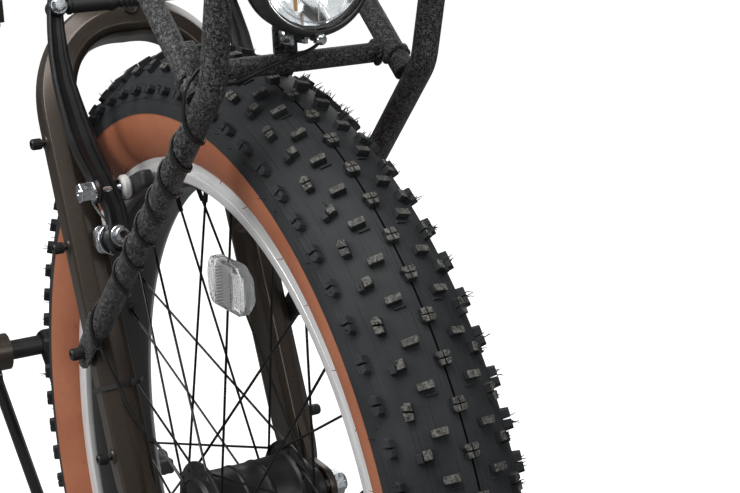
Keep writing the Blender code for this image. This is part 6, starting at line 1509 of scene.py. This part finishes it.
def pad_post(piece, stand, side):
    """The pad's threaded post with its washers and nut."""
    axis = Y * side
    inner = stand.at(PAD_AT, stand.plane, side * (RIM_FACE + PAD_GAP + 0.0110 + 0.0004))
    piece.rod(inner, stand.by_arm(PAD_AT, side, 0.0215), 0.0031, STEEL, steps=20)
    cup = [(0, 0), (0.0086, 0), (0.0098, 0.0018), (0.0096, 0.0050), (0.0076, 0.0068), (0, 0.0070)]
    piece.turned(cup, inner, axis, WHITE, 32)
    piece.disc(inner, axis, 0.0066, 0.0070, 0.0082, STEEL, 32)
    outer = stand.by_arm(PAD_AT, side, 0.0075)
    dish = [(0, 0), (0.0090, 0), (0.0098, 0.0020), (0.0088, 0.0040), (0, 0.0046)]
    piece.turned(dish, outer, axis, ALLOY, 36)
    piece.disc(outer, axis, 0.0082, 0.0044, 0.0056, STEEL, 32)
    piece.hexagon(outer + axis * 0.0056, axis, 0.0142, 0.0112, STEEL, start=0.35)
    tip = [(0, 0.0168), (0.0034, 0.0168), (0.0034, 0.0176), (0.0020, 0.0176), (0.0020, 0.0170), (0, 0.0170)]
    piece.turned(tip, outer, axis, STEEL, 20)


def cable_clamp(piece, stand, side):
    """The clamp at the arm's head, with the stub that the boot or noodle meets."""
    top, out = stand.by_arm(PULL, side, 0.0100), stand.out
    cup = [
        (0, -0.0075), (0.0072, -0.0075), (0.0078, -0.0066), (0.0078, 0.0048), (0.0072, 0.0056), (0, 0.0056),
    ]
    piece.turned(cup, top, out, ALLOY, 36)
    piece.disc(top, out, 0.0066, 0.0054, 0.0064, STEEL, 28)
    piece.hexagon(top + out * 0.0062, out, 0.0098, 0.0042, STEEL, start=0.5)
    stub = [stand.by_arm(PULL, side, 0.004, 0.001), stand.by_arm(PULL, side, -0.010, 0.001)]
    piece.tube(stub, 0.0042, ALLOY, 20, round_ends=True)


def noodle(piece, stand):
    ends = [stand.at(PULL, stand.plane, 0.0), stand.at(PULL, stand.plane, 0.0971)]
    ends.append(stand.at(PULL + 0.050, stand.plane + 0.004, 0.1031))
    path = rounded(ends, 0.022, 10)
    piece.tube(path, 0.0027, ALLOY, 20)
    piece.rod(path[0], path[0] + Y * 0.010, 0.0034, ALLOY, steps=24)
    piece.rod(path[-1] - (path[-1] - path[-2]).normalized() * 0.010, path[-1], 0.0034, ALLOY, steps=24)


def make_arm(stand, place, side, name, body):
    piece = Piece(f"brake_arm_{place}_{name}")
    arm_blade(piece, stand, side)
    arm_pivot(piece, stand, side)
    pad_post(piece, stand, side)
    cable_clamp(piece, stand, side)
    if side > 0:
        noodle(piece, stand)
    piece.done(body, smooth=32)


def make_pad(stand, place, side, name, body):
    piece = Piece(f"brake_pad_{place}_{name}")
    middle = RIM_FACE + PAD_GAP + 0.0055
    other_half = [(-along, tall, thick) for along, tall, thick in reversed(PAD_HALF)]
    rings = []
    for along, tall, thick in [*PAD_HALF, (0.0, 0.0152, 0.0110), *other_half]:
        spot = stand.at(PAD_AT, stand.plane + along, side * middle)
        rings.append(section(spot, stand.up, Y, squircle(tall, thick, 5, 28)))
    piece.rings(rings, RUBBER)
    neck = [stand.at(PAD_AT, stand.plane, side * (middle + reach)) for reach in (0.0040, 0.00585)]
    piece.rod(*neck, 0.0062, RUBBER, steps=28)
    piece.done(body, smooth=40)


def make_boot(stand, place, body):
    """The bellows over the cable."""
    piece = Piece(f"brake_boot_{place}")
    start, end = -0.0003, -(PIVOT_SIDE + 0.010 - 0.0087)
    rings = []
    for i in range(BOOT_STEPS + 1):
        t = i / BOOT_STEPS
        radius = 0.0043 + 0.0007 * math.sin(2 * math.pi * BOOT_FOLDS * t)
        if t > 0.40:
            radius = 0.0057
        if 0.38 < t < 0.46 or t > 0.96:
            radius = 0.0064
        spot = stand.at(PULL, stand.plane, start + (end - start) * t)
        rings.append(circle(spot, stand.up, stand.out, radius, 24))
    piece.rings(rings, RUBBER)
    boot = piece.done(body, smooth=50)
    stand.at(PULL, stand.plane, start)
    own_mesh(boot)


def make_brake(stand, place):
    for side, name in reversed(SIDES):
        body = f"{place}_brake_{name}"
        make_arm(stand, place, side, name, body)
        make_pad(stand, place, side, name, body)
    make_boot(stand, place, f"{place}_brake_left")


make_brake(Stand(STEER_FOOT, STEER_UP, STEER_FORWARD, 0.050), "front")
make_brake(stay_stand(), "rear")


# Headlamp

LAMP = by_axle(0.160, 0, 0.4315)
LUG = LAMP - Z * 0.0410 - X * 0.030
LAMP_RADIUS = 0.0452
BOWL_COLUMNS = 24
BOWL_ROWS = 9
BOWL_RIM = 0.0372
BOWL_HOLE = 0.0010
LENS_HEIGHT = 0.0070
LENS_DROP = 0.0027
LENS_REACH = 0.0385
BAR_FRONT = FRONT_AXLE.x + LOW_BAR[0] + 0.0018


def lamp_radial(turn):
    return Vector((0, math.sin(turn), -math.cos(turn)))


def lens_depth(reach):
    return LENS_HEIGHT - LENS_DROP * (reach / LENS_REACH) ** 2


def make_housing():
    piece = Piece("headlamp_housing", LAMP)
    profile = [(0.0, -0.0520), (0.0100, -0.0518), (0.0160, -0.0508), (0.0230, -0.0480), (0.0280, -0.0448)]
    for i in range(3):
        low = -0.0415 + 0.0094 * i
        spread = 0.0315 + 0.0036 * (i + 1)
        profile += [(spread - 0.0044, low - 0.0002), (spread - 0.0004, low), (spread, low + 0.0006)]
        profile += [
            (spread + 0.0002, low + 0.0034), (spread - 0.0004, low + 0.0040),
            (spread - 0.0038, low + 0.0044),
        ]
    profile += [(0.0400, -0.0122), (0.0430, -0.0116), (0.0446, -0.0104), (0.0450, -0.0090), (0.0450, 0.0022)]
    profile += [(0.0446, 0.0036), (0.0436, 0.0050), (0.0424, 0.0057), (0.0412, 0.0058), (0.0405, 0.0050)]
    profile += [(0.0405, 0.0046), (0.0408, 0.0040), (0.0408, -0.0010), (0.0386, -0.0012), (0.0300, -0.0160)]
    profile += [(0.0220, -0.0300), (0.0, -0.0360)]
    piece.turned(profile, LAMP, X, PLASTIC, 128)
    for k in range(3):
        for gap in (-0.10, 0.10):
            radial = lamp_radial(math.radians(-90 + 120 * k + 22) + gap)
            spot = LAMP + X * -0.0028 + radial * (LAMP_RADIUS - 0.0008)
            piece.block((0.0110, 0.0018, 0.0030), spot, PLASTIC, axes(X, radial, X.cross(radial)), 0.0005)
    for k in range(48):
        radial = lamp_radial(2 * math.pi * k / 48)
        spot = LAMP + X * -0.0060 + radial * 0.0447
        piece.block((0.0036, 0.0007, 0.0012), spot, PLASTIC, axes(X, radial, X.cross(radial)), 0.0002, 1)
    piece.block((0.0120, 0.0068, 0.0160), LUG, PLASTIC, None, 0.0012)
    gland = [(0, 0), (0.0028, 0), (0.0032, 0.0010), (0.0036, 0.0060), (0.0044, 0.0080), (0, 0.0080)]
    piece.turned(gland, LEAD_START + Z * 0.0002, Vector((0.02, -0.1, 1)), PLASTIC, 24)
    screw = LAMP + Vector((0.0020, 0.0, -LAMP_RADIUS))
    piece.block((0.0090, 0.0085, 0.0060), screw + Z * 0.0008, PLASTIC, None, 0.0012)
    head = [(0, 0), (0.0036, 0), (0.0038, 0.0008), (0.0034, 0.0022), (0.0020, 0.0030), (0, 0.0032)]
    piece.turned(head, screw + Vector((0.0044, 0.0, -0.0010)), Vector((1, 0, -0.35)), STEEL, 28)
    piece.disc(screw + Z * -0.0018, -Z, 0.0030, 0, 0.0018, STEEL, 24)
    piece.done("fork", smooth=28)


def make_bowl():
    """The dimpled mirror, with the emitter's carrier before it."""
    piece = Piece("headlamp_reflector", LAMP)
    rings = []
    for j in range(BOWL_ROWS + 1):
        t = j / BOWL_ROWS
        radius = BOWL_HOLE + (BOWL_RIM - BOWL_HOLE) * t
        depth = -0.0330 + 0.0318 * t**2.1
        ring = circle(LAMP + X * depth, Z, Y, radius, BOWL_COLUMNS)
        if 0 < j < BOWL_ROWS:
            ring = [spot + X * (0.0011 * ((k + j) % 2)) for k, spot in enumerate(ring)]
        rings.append(ring)
    for radius, depth in ((0.0374, -0.0016), (0.0290, -0.0148), (0.0205, -0.0290), (0.0010, -0.0345)):
        rings.append(circle(LAMP + X * depth, Z, Y, radius, BOWL_COLUMNS))
    piece.rings(rings, MIRROR)
    for size, spot, material, edge in (
        ((0.0240, 0.0085, 0.0120), (-0.0180, 0.0, 0.0170), PLASTIC, 0.0010),
        ((0.0030, 0.0110, 0.0180), (-0.0060, 0.0, 0.0150), PLASTIC, 0.0008),
        ((0.0012, 0.0040, 0.0040), (-0.0180, 0.0, 0.0104), AMBER, 0.0003),
        ((0.0020, 0.0024, 0.0460), (-0.0050, -0.0120, -0.0040), AMBER, 0.0005),
        ((0.0160, 0.0016, 0.0500), (-0.0120, 0.0120, -0.0020), MIRROR, 0.0003),
    ):
        piece.block(size, LAMP + Vector(spot), material, None, edge)
    piece.done("fork", smooth=18)


def make_lens():
    piece = Piece("headlamp_lens", LAMP)
    outer = [
        (0.0, 0.0072), (0.0120, 0.0070), (0.0240, 0.0063), (0.0330, 0.0054), (0.0385, 0.0045),
        (0.0397, 0.0040),
    ]
    inner = [
        (0.0399, 0.0020), (0.0390, 0.0012), (0.0330, 0.0024), (0.0240, 0.0034), (0.0120, 0.0040),
        (0.0, 0.0042),
    ]
    piece.turned([*outer, *inner], LAMP, X, GLASS, 96)
    for way in (Y, Z):
        line = []
        for k in range(17):
            reach = -BOWL_RIM + 2 * BOWL_RIM * k / 16
            line.append(LAMP + X * (lens_depth(reach) + 0.0002) + way * reach)
        piece.tube(line, 0.00045, GLASS, 8, round_ends=True)
    for radius in (0.0350, 0.0185):
        depth = lens_depth(radius)
        ring = [(radius - 0.0005, depth), (radius, depth + 0.0005), (radius + 0.0005, depth - 0.0001)]
        piece.turned([*ring, (radius, depth - 0.0006)], LAMP, X, GLASS, 96, loop=True)
    piece.done("fork", smooth=40)


def make_lamp_bracket():
    piece = Piece("headlamp_bracket")
    height = LUG.z - 0.004
    back = LUG.x + 0.006
    for side in (-1, 1):
        out = Y * side
        spot = Vector(((back + BAR_FRONT) / 2, side * 0.0053, height))
        piece.block((back - BAR_FRONT, 0.0028, 0.0138), spot, STEEL, None, 0.0006)
        head = Vector((LUG.x, side * 0.0067, height))
        piece.disc(head, out, 0.0058, 0, 0.0009, STEEL, 28)
        if side < 0:
            dome = [
                (0, 0.0009), (0.0050, 0.0009), (0.0052, 0.0016), (0.0046, 0.0036), (0.0030, 0.0046),
                (0, 0.0048),
            ]
            piece.turned(dome, head, out, STEEL, 32)
        else:
            piece.hexagon(head + Y * 0.0009, Y, 0.0088, 0.0044, STEEL)
            piece.rod(head, head + Y * 0.0064, 0.0024, STEEL, steps=16)
    piece.block((0.0030, 0.0130, 0.0138), Vector((BAR_FRONT + 0.0015, 0, height)), STEEL, None, 0.0006)
    piece.hexagon(Vector((BAR_FRONT + 0.0028, 0, height)), X, 0.0070, 0.0026, STEEL)
    piece.done("fork", smooth=30)


make_housing()
make_bowl()
make_lens()
make_lamp_bracket()


# Spoke reflector

REFLECTOR_LEAN = math.radians(88.0)
REFLECTOR_OUT = Vector((math.cos(REFLECTOR_LEAN), 0, math.sin(REFLECTOR_LEAN)))
REFLECTOR_ALONG = Vector((math.sin(REFLECTOR_LEAN), 0, -math.cos(REFLECTOR_LEAN)))


def reflector_shape(width, high, radius):
    corners = [
        (-width * 0.82, -high), (width * 0.62, -high), (width, -high * 0.35), (width * 0.96, high * 0.55),
    ]
    corners += [
        (width * 0.60, high), (-width * 0.78, high * 0.96), (-width, high * 0.35), (-width, -high * 0.45),
    ]
    return soft_outline(corners, radius, 4)


def make_spoke_reflector():
    """Clear, with a ribbed middle panel, a lip all round and a spoke clip."""
    middle = FRONT_AXLE + polar(80.3, 0.1955, -0.0165)
    piece = Piece("spoke_reflector", middle)

    def spot(along, out, depth):
        return middle + REFLECTOR_ALONG * along + REFLECTOR_OUT * out - Y * depth

    half = [(0.0040, 0.90), (0.0043, 0.97), (0.0036, 1.0)]
    rings = []
    for depth, scale in half + [(-depth, scale) for depth, scale in reversed(half)]:
        outline = reflector_shape(0.0335 * scale, 0.0196 * scale, 0.007)
        rings.append([spot(u, v, depth) for u, v in outline])
    piece.rings(rings, CLEAR)
    panel = reflector_shape(0.0150, 0.0166, 0.002)
    piece.rings([[spot(u - 0.0035, v, depth) for u, v in panel] for depth in (0.0030, 0.0046)], PRISM)
    for i in range(13):
        lift = -0.0148 + 0.0024 * i
        for rise, start, end in ((0.0022, -0.0160, -0.0030), (-0.0022, -0.0030, 0.0090)):
            line = [spot(start, lift - rise, 0.0049), spot(end, lift + rise, 0.0049)]
            piece.tube(line, 0.00088, PRISM, 6)
    for along in (-0.0292, -0.0270, -0.0230, 0.0140, 0.0170, 0.0200, 0.0230, 0.0262, 0.0292):
        line = [spot(along, out, 0.0042) for out in (-0.0128, 0.0, 0.0128)]
        piece.tube(line, 0.00075, CLEAR, 8, round_ends=True)
    turn = axes(REFLECTOR_ALONG, Y, REFLECTOR_OUT)
    piece.block((0.0020, 0.0016, 0.0340), spot(0.0108, 0.0, 0.0042), CLEAR, turn, 0.0004)
    piece.done("front_wheel", smooth=30)


make_spoke_reflector()


# Handlebar, stem and grips

CLAMP = steer(0.6194, 0.060, 0.0)
STEM_SEAT = 0.5949
BAR_RADIUS = 0.0111
BAR_HALF = [
    (0.028, 0.0, 0.0, 0.0159), (0.045, 0.002, 0.0, 0.0121), (0.075, 0.010, 0.002, BAR_RADIUS),
    (0.120, 0.036, 0.006, BAR_RADIUS), (0.148, 0.0441, 0.009, BAR_RADIUS),
    (0.175, 0.045, 0.014, BAR_RADIUS), (0.330, 0.045, 0.035, BAR_RADIUS),
]
GRIP_LENGTH = 0.122
GRIP_RIBS = 26
GRIP_LINE = ((0.012, 0.0158), (0.066, 0.0166), (0.116, 0.0158))


def bar_point(side, lift, back):
    return CLAMP + Vector((-back, side, lift))


def make_stem():
    piece = Piece("stem")
    foot = steer(STEM_SEAT, 0, 0)
    profile = [(0.0146, 0.0), (0.0187, 0.0), (0.0195, 0.0008), (0.0195, 0.0130), (0.0190, 0.0134)]
    profile += [(0.0190, 0.0262), (0.0195, 0.0266), (0.0195, 0.0390), (0.0187, 0.0398), (0.0165, 0.0400)]
    profile += [(0.0160, 0.0394), (0.0, 0.0394)]
    piece.turned(profile, foot, STEER_UP, ALLOY, 64)
    piece.socket_bolt(foot + STEER_UP * 0.0386, STEER_UP, 0.0052, 0.0014, STEEL, RUBBER)
    start = steer(STEM_SEAT + 0.020, 0.006, 0)
    rise = Y.cross(CLAMP - start).normalized()
    rings = []
    for i in range(15):
        t = i / 14
        waist = 1 - 0.16 * math.sin(math.pi * t)
        wide = (0.0300 + (0.0262 - 0.0300) * t) * waist
        rings.append(section(start.lerp(CLAMP, t), rise, Y, squircle(wide, 0.0300 * waist, 3.2, 36)))
    piece.rings(rings, ALLOY)
    shell = [(0.0163, -0.0210), (0.0206, -0.0210), (0.0214, -0.0202)]
    shell += [(0.0214, 0.0202), (0.0206, 0.0210), (0.0163, 0.0210)]
    piece.sleeve(shell, CLAMP, Y, ALLOY, 64)
    for lift in (-1, 1):
        for side in (-1, 1):
            ear = CLAMP + STEER_UP * lift * 0.0198 + Y * side * 0.0130
            piece.rod(ear - STEER_FORWARD * 0.0090, ear + STEER_FORWARD * 0.0085, 0.0052, ALLOY, steps=24)
            piece.socket_bolt(ear + STEER_FORWARD * 0.0083, STEER_FORWARD, 0.0038, 0.0032, STEEL, RUBBER)
    for lift in (0.0085, 0.0315):
        ear = foot + STEER_UP * lift - STEER_FORWARD * 0.0195
        for side in (-1, 1):
            piece.rod(ear, ear + Y * side * 0.0105, 0.0050, ALLOY, steps=24)
        piece.socket_bolt(ear - Y * 0.0104, -Y, 0.0036, 0.0030, STEEL, RUBBER)
    piece.done("fork", smooth=32)


def make_bar():
    stations = [(-side, lift, back, size) for side, lift, back, size in reversed(BAR_HALF)]
    stations += [(0.0, 0.0, 0.0, 0.0159), *BAR_HALF]
    path = spline([bar_point(side, lift, back) for side, lift, back, _ in stations], 7)
    sizes = [spot.x for spot in spline([X * station[3] for station in stations], 7)]
    piece = Piece("handlebar")
    piece.tube(path, BAR_RADIUS, GLOSS, 36, sizes)
    piece.done("fork", smooth=40)


def make_grip(side, name):
    inner, outer = bar_point(side * 0.175, 0.045, 0.014), bar_point(side * 0.330, 0.045, 0.035)
    direction = (outer - inner).normalized()
    start = outer - direction * GRIP_LENGTH
    profile = [(0.0126, 0.0), (0.0178, 0.0), (0.0185, 0.0008), (0.0185, 0.0034), (0.0176, 0.0042)]
    profile.append((0.0156, 0.0080))
    for i in range(GRIP_RIBS):
        base = 0.0152 + 0.0010 * math.sin(math.pi * i / (GRIP_RIBS - 1))
        low = 0.0105 + 0.0041 * i
        profile += [(base, low), (base + 0.0005, low + 0.0006), (base + 0.0005, low + 0.0026)]
        profile.append((base, low + 0.0032))
    profile += [(0.0155, 0.1190), (0.0155, 0.1235), (0.0146, 0.1248), (0.0, 0.1250)]
    piece = Piece(f"grip_{name}")
    piece.turned(profile, start, direction, GRIP, 48)
    u, v = side_axes(direction)
    for out in circle(Vector(), u, v, 1.0, 6):
        line = [start + direction * low + out * far for low, far in GRIP_LINE]
        piece.tube(line, 0.0007, GRIP, 8, round_ends=True)
    piece.done("fork", smooth=35)


make_stem()
make_bar()
for side, name in SIDES:
    make_grip(side, name)


# Saddle

SEAT_HIGH = BRACKET + SEAT_UP * 0.600
SADDLE_CLAMP = Vector((SEAT_HIGH.x, 0, SEAT_HIGH.z + 0.010))
SADDLE_LENGTH = 0.270
SADDLE_NOSE = SADDLE_CLAMP.x + SADDLE_LENGTH * 0.54
SADDLE_BASE = SADDLE_CLAMP.z + 0.032
SADDLE_CROWN = 0.16


def saddle_size(t):
    flare = 1 / (1 + math.exp(-(t - 0.60) * 11))
    end = min(1.0, math.sqrt(max(0.0, 1 - abs(2 * t - 1) ** 7)) + 0.38)
    width = (0.046 + (0.180 - 0.046) * flare) * end
    height = 0.052 * (0.72 + 0.28 * t) * (0.55 + 0.45 * end)
    return width, height, 0.010 * (2 * t - 1) ** 2


def saddle_ring(t, along, shrink):
    """One section of the cover: crowned, flat below, with a groove along the middle."""
    width, height, lift = saddle_size(t)
    groove = 0.0042 * math.exp(-(((t - 0.55) / 0.30) ** 2))
    ring = []
    for u, v in squircle(width, height, 2.5, 72):
        drop = -SADDLE_CROWN * height * (2 * u / width) ** 2
        v = v * 0.55 if v < 0 else v - groove * math.exp(-((u / 0.011) ** 2))
        rise = SADDLE_BASE + lift + (v + drop) * shrink
        ring.append(Vector((SADDLE_NOSE - SADDLE_LENGTH * along, u * shrink, rise)))
    return ring


def saddle_seam(side, t, along):
    width, height, lift = saddle_size(t)
    u = side * width * 0.497
    rise = SADDLE_BASE + lift - SADDLE_CROWN * height * (2 * u / width) ** 2 + height * 0.03
    return Vector((SADDLE_NOSE - SADDLE_LENGTH * along, u, rise))


def make_saddle():
    stations = [(i / 60, 0.008 + 0.984 * i / 60, 1.0) for i in range(61)]
    ends = [(0.0, 0.0, 0.45), (0.0, 0.004, 0.80)], [(1.0, 0.996, 0.80), (1.0, 1.0, 0.45)]
    piece = Piece("saddle", Vector((SADDLE_CLAMP.x, 0, SADDLE_BASE)))
    piece.rings([saddle_ring(*station) for station in [*ends[0], *stations, *ends[1]]], COVER)
    for side in (-1, 1):
        seam = [saddle_seam(side, t, along) for t, along, _ in stations[2:-2]]
        piece.tube(seam, 0.0011, COVER, 10, round_ends=True)
    cover = piece.done("seatpost", smooth=60)


def make_rails():
    piece = Piece("saddle_rails")
    nose = SADDLE_NOSE - 0.040 - SADDLE_CLAMP.x
    for side in (-1, 1):
        path = []
        for x, y, z in ((nose, 0.006, 0.020), (0.070, 0.011, 0), (-0.045, 0.011, 0), (-0.085, 0.030, 0.020)):
            path.append(SADDLE_CLAMP + Vector((x, side * y, z)))
        piece.tube(rounded(path, 0.018, 10), 0.0035, STEEL, 24)
    piece.block((0.026, 0.034, 0.0080), SADDLE_CLAMP + Z * 0.0055, ALLOY, None, 0.0016, 3)
    piece.socket_bolt(SADDLE_CLAMP + Z * 0.0093, Z, 0.0045, 0.0030, STEEL, RUBBER)
    piece.done("seatpost", smooth=40)


make_saddle()
make_rails()


# Chain, chainring and freewheel

PITCH = 0.0127
CHAIN_SIDE = -0.0700
RING_TEETH = 36
FREEWHEEL_TEETH = 16
RING_CENTRE = BRACKET + Y * CHAIN_SIDE
FREEWHEEL_CENTRE = REAR_AXLE + Y * CHAIN_SIDE
TOOTH = [
    (-0.36, 0.0004), (-0.28, -0.0016), (-0.15, -0.0034), (0.0, -0.0037), (0.15, -0.0034),
    (0.28, -0.0016), (0.36, 0.0004), (0.46, 0.0023), (0.54, 0.0023),
]
TOOTH_HALF = 0.0012
LINK_RADIUS = 0.0041
LINK_WAIST = 0.0030


def pitch_radius(teeth):
    return PITCH / (2 * math.sin(math.pi / teeth))


def sprocket(piece, centre, teeth, bore, material):
    radius = pitch_radius(teeth)
    outline = []
    for i in range(teeth):
        outline += [(360 / teeth * (i + share), radius + lift) for share, lift in TOOTH]
    thin = TOOTH_HALF - 0.0003
    front = [
        [(a, bore, thin) for a, r in outline], [(a, bore + 0.0004, TOOTH_HALF) for a, r in outline],
        [(a, r - 0.0006, TOOTH_HALF) for a, r in outline], [(a, r, thin) for a, r in outline],
    ]
    back = [[(a, r, -side) for a, r, side in ring] for ring in reversed(front)]
    rings = [[centre + polar(*spot) for spot in ring] for ring in front + back]
    piece.rings(rings, material, loop=True)


def make_chainring():
    piece = Piece("chainring", RING_CENTRE)
    sprocket(piece, RING_CENTRE, RING_TEETH, 0.0520, ALLOY)
    for i in range(5):
        spot = RING_CENTRE + polar(72 * i + 54, 0.0562)
        piece.rod(spot - Y * 0.0012, spot + Y * 0.0030, 0.0048, STEEL, steps=24)
    for i in range(12):
        spot = RING_CENTRE + polar(30 * i + 5, 0.0615)
        piece.disc(spot, -Y, 0.0030, 0.0013, 0.0011, RUBBER, 20)
    piece.done("crank", smooth=30)


def make_freewheel():
    piece = Piece("freewheel", FREEWHEEL_CENTRE)
    sprocket(piece, FREEWHEEL_CENTRE, FREEWHEEL_TEETH, 0.0200, CHAIN)
    body = [(0.0176, -0.0040), (0.0225, -0.0040), (0.0233, -0.0034)]
    body += [(0.0233, 0.0068), (0.0225, 0.0075), (0.0176, 0.0075)]
    piece.sleeve(body, FREEWHEEL_CENTRE, Y, CHAIN, 64)
    for k in range(4):
        spot = FREEWHEEL_CENTRE + polar(90 * k + 45, 0.0205, -0.0038)
        piece.turned([(0.0, 0.0004), (0.0013, 0.0004), (0.0016, 0.0), (0.0, 0.0)], spot, -Y, RUBBER, 16)
    piece.done("freewheel", smooth=30)


def chain_line():
    """Once round both toothed wheels, from a tooth gap of the chainring."""
    line = FREEWHEEL_CENTRE - RING_CENTRE
    base = math.degrees(math.atan2(line.z, line.x))
    big, small = pitch_radius(RING_TEETH), pitch_radius(FREEWHEEL_TEETH)
    lean = math.degrees(math.acos((big - small) / line.length))
    first = math.ceil((base + lean) / 10) * 10
    path = []
    for centre, radius, start, end, steps in (
        (RING_CENTRE, big, first, base + 360 - lean, 160),
        (FREEWHEEL_CENTRE, small, base - lean, base + lean, 60),
        (RING_CENTRE, big, base + lean, first, 4),
    ):
        path += [centre + polar(start + (end - start) * i / steps, radius) for i in range(steps + 1)]
    return path


def chain_pins(path):
    lengths = [0.0]
    for before, after in zip(path, path[1:]):
        lengths.append(lengths[-1] + (after - before).length)
    count = 2 * round(lengths[-1] / PITCH / 2)
    pins, k = [], 0
    for i in range(count):
        goal = lengths[-1] * i / count
        while lengths[k + 1] < goal:
            k += 1
        share = (goal - lengths[k]) / (lengths[k + 1] - lengths[k])
        pins.append(path[k].lerp(path[k + 1], share))
    return pins


def link_outline(gap):
    """Two round ends joined by a waist."""
    outline = []
    for middle, turns, waist in (
        (0.0, (100, 130, 160, 200, 230, 260), -LINK_WAIST),
        (gap, (280, 310, 340, 380, 410, 440), LINK_WAIST),
    ):
        for turn in turns:
            a = math.radians(turn)
            outline.append((middle + LINK_RADIUS * math.cos(a), LINK_RADIUS * math.sin(a)))
        outline.append((gap / 2, waist))
    return outline


def make_chain():
    piece = Piece("chain", FREEWHEEL_CENTRE)
    pins = chain_pins(chain_line())
    for i, pin in enumerate(pins):
        step = pins[(i + 1) % len(pins)] - pin
        along = step.normalized()
        for side in (-1, 1):
            place = pin + Y * side * (0.0040 if i % 2 else 0.0030)
            piece.plate(link_outline(step.length), place, along, along.cross(Y), 0.0009, CHAIN, 0.0002)
        piece.rod(pin - Y * 0.0026, pin + Y * 0.0026, 0.0038, CHAIN, 0.0003, 16)
        piece.rod(pin - Y * 0.00448, pin + Y * 0.00448, 0.0017, CHAIN, 0.0002, 12)
    piece.done("rear_frame", smooth=32)


make_chainring()
make_freewheel()
make_chain()


# Pedals

CRANK_TURN = -60.0
CRANK_LENGTH = 0.170
PEDAL_BARREL = (
    (-0.0460, 0.0170), (-0.0445, 0.0196), (-0.0300, 0.0216), (0.0, 0.0196),
    (0.0300, 0.0216), (0.0445, 0.0196), (0.0460, 0.0170),
)


def pedal_rail(piece, middle, x):
    """One long side of the pedal's cage, with its teeth and its reflector."""
    place = middle + X * x * 0.0368
    piece.block((0.0100, 0.0790, 0.0176), place, PLASTIC, None, 0.0022, 3)
    for k in range(9):
        for lift in (-1, 1):
            tooth = place + Y * (k - 4) * 0.0088 + Z * lift * 0.0074
            piece.block((0.0094, 0.0042, 0.0030), tooth, PLASTIC, None, 0.0005)
    piece.block((0.0016, 0.0440, 0.0092), place + X * x * 0.0044, AMBER, None, 0.0006)
    for k in range(10):
        rib = place + X * x * 0.0052 + Y * (k - 4.5) * 0.0044
        piece.rod(rib - Z * 0.0038, rib + Z * 0.0038, 0.0005, AMBER, 0.0001, 8)


def pedal_arm(piece, middle, x, y):
    """One of the four arms from the barrel to a rail."""
    rings = []
    for share in (0.0, 0.3, 0.7, 1.0):
        spot = middle + Y * y * 0.0346 + X * x * (0.0080 + 0.0270 * share)
        tall = 0.0150 - 0.0035 * math.sin(math.pi * share)
        rings.append(section(spot, Y, Z, squircle(0.0096, tall, 3.5, 28)))
    piece.rings(rings, PLASTIC)


def make_pedal(side, name):
    eye = BRACKET + polar(CRANK_TURN, CRANK_LENGTH * side, side * 0.105)
    piece = Piece(f"pedal_{name}", eye)
    out = Y * side
    inner = eye + out * 0.013
    middle = inner + out * 0.046
    piece.rod(eye - out * 0.006, eye + out * 0.0075, 0.0069, STEEL, steps=28)
    piece.hexagon(eye + out * 0.0072, out, 0.0150, 0.0050, STEEL)
    piece.rod(inner - out * 0.001, inner + out * 0.088, 0.0068, STEEL, steps=28)
    rings = []
    for along, wide in PEDAL_BARREL:
        rings.append(section(middle + out * along, X, Z, squircle(wide, wide * 0.80, 3.2, 36)))
    piece.rings(rings, PLASTIC)
    for x in (-1, 1):
        pedal_rail(piece, middle, x)
        for y in (-1, 1):
            pedal_arm(piece, middle, x, y)
    piece.done(f"pedal_{name}", smooth=35)


for side, name in SIDES:
    make_pedal(side, name)


# Axles


def make_axle(node, place, seat, body):
    piece = Piece(node, place)
    piece.rod(place - Y * seat, place + Y * seat, 0.0069, STEEL, steps=32)
    thread = [(0.0, 0.0100), (0.0056, 0.0100)]
    for k in range(4):
        low = 0.0108 + 0.0011 * k
        thread += [(0.0069, low), (0.0058, low + 0.0005)]
    thread += [(0.0050, 0.0150), (0.0, 0.0150)]
    for side in (-1, 1):
        out = Y * side
        face = place + out * seat
        piece.sleeve([(0.0070, 0.0), (0.0122, 0.0), (0.0122, 0.0014), (0.0070, 0.0014)], face, out, STEEL, 40)
        piece.hexagon(face + out * 0.0014, out, 0.0212, 0.0094, STEEL, 0.0010)
        piece.turned(thread, face, out, STEEL, 32)
    piece.done(body, smooth=30)


make_axle("front_axle", FRONT_AXLE, 0.0738, "fork")
make_axle("rear_axle", REAR_AXLE, 0.0913, "rear_frame")


# The pieces that keep the solid's own shape: finish, slot, edge and names

KEPT = (
    (BRONZE, "bronze_paint", 0.0012, ("front_frame",)),
    (BRONZE, "bronze_paint", 0.0010, ("rear_frame",)),
    (ALLOY, "black_alloy", 0.0010, ("crank_arm_left", "crank_arm_right")),
    (ALLOY, "black_alloy", 0.0008, ("frame_latch_lever",)),
    (ALLOY, "black_alloy", 0.0006, ("brake_lever_left", "brake_lever_right")),
    (ALLOY, "black_alloy", 0.0006, ("lever_bracket_left", "lever_bracket_right")),
    (ALLOY, "black_alloy", 0.0006, ("bottom_bracket_spindle", "seat_clamp", "seat_clamp_lever")),
    (ALLOY, "black_alloy", 0.0005, ("headset_lower", "headset_upper")),
    (GLOSS, "black_alloy", 0.0008, ("centre_stand",)),
    (GLOSS, "black_alloy", 0.0004, ("seatpost",)),
    (STEEL, "bright_steel", 0.0005, ("frame_hinge_pin",)),
)
for material, slot, edge, nodes in KEPT:
    for node in nodes:
        kept(node, material, edge)
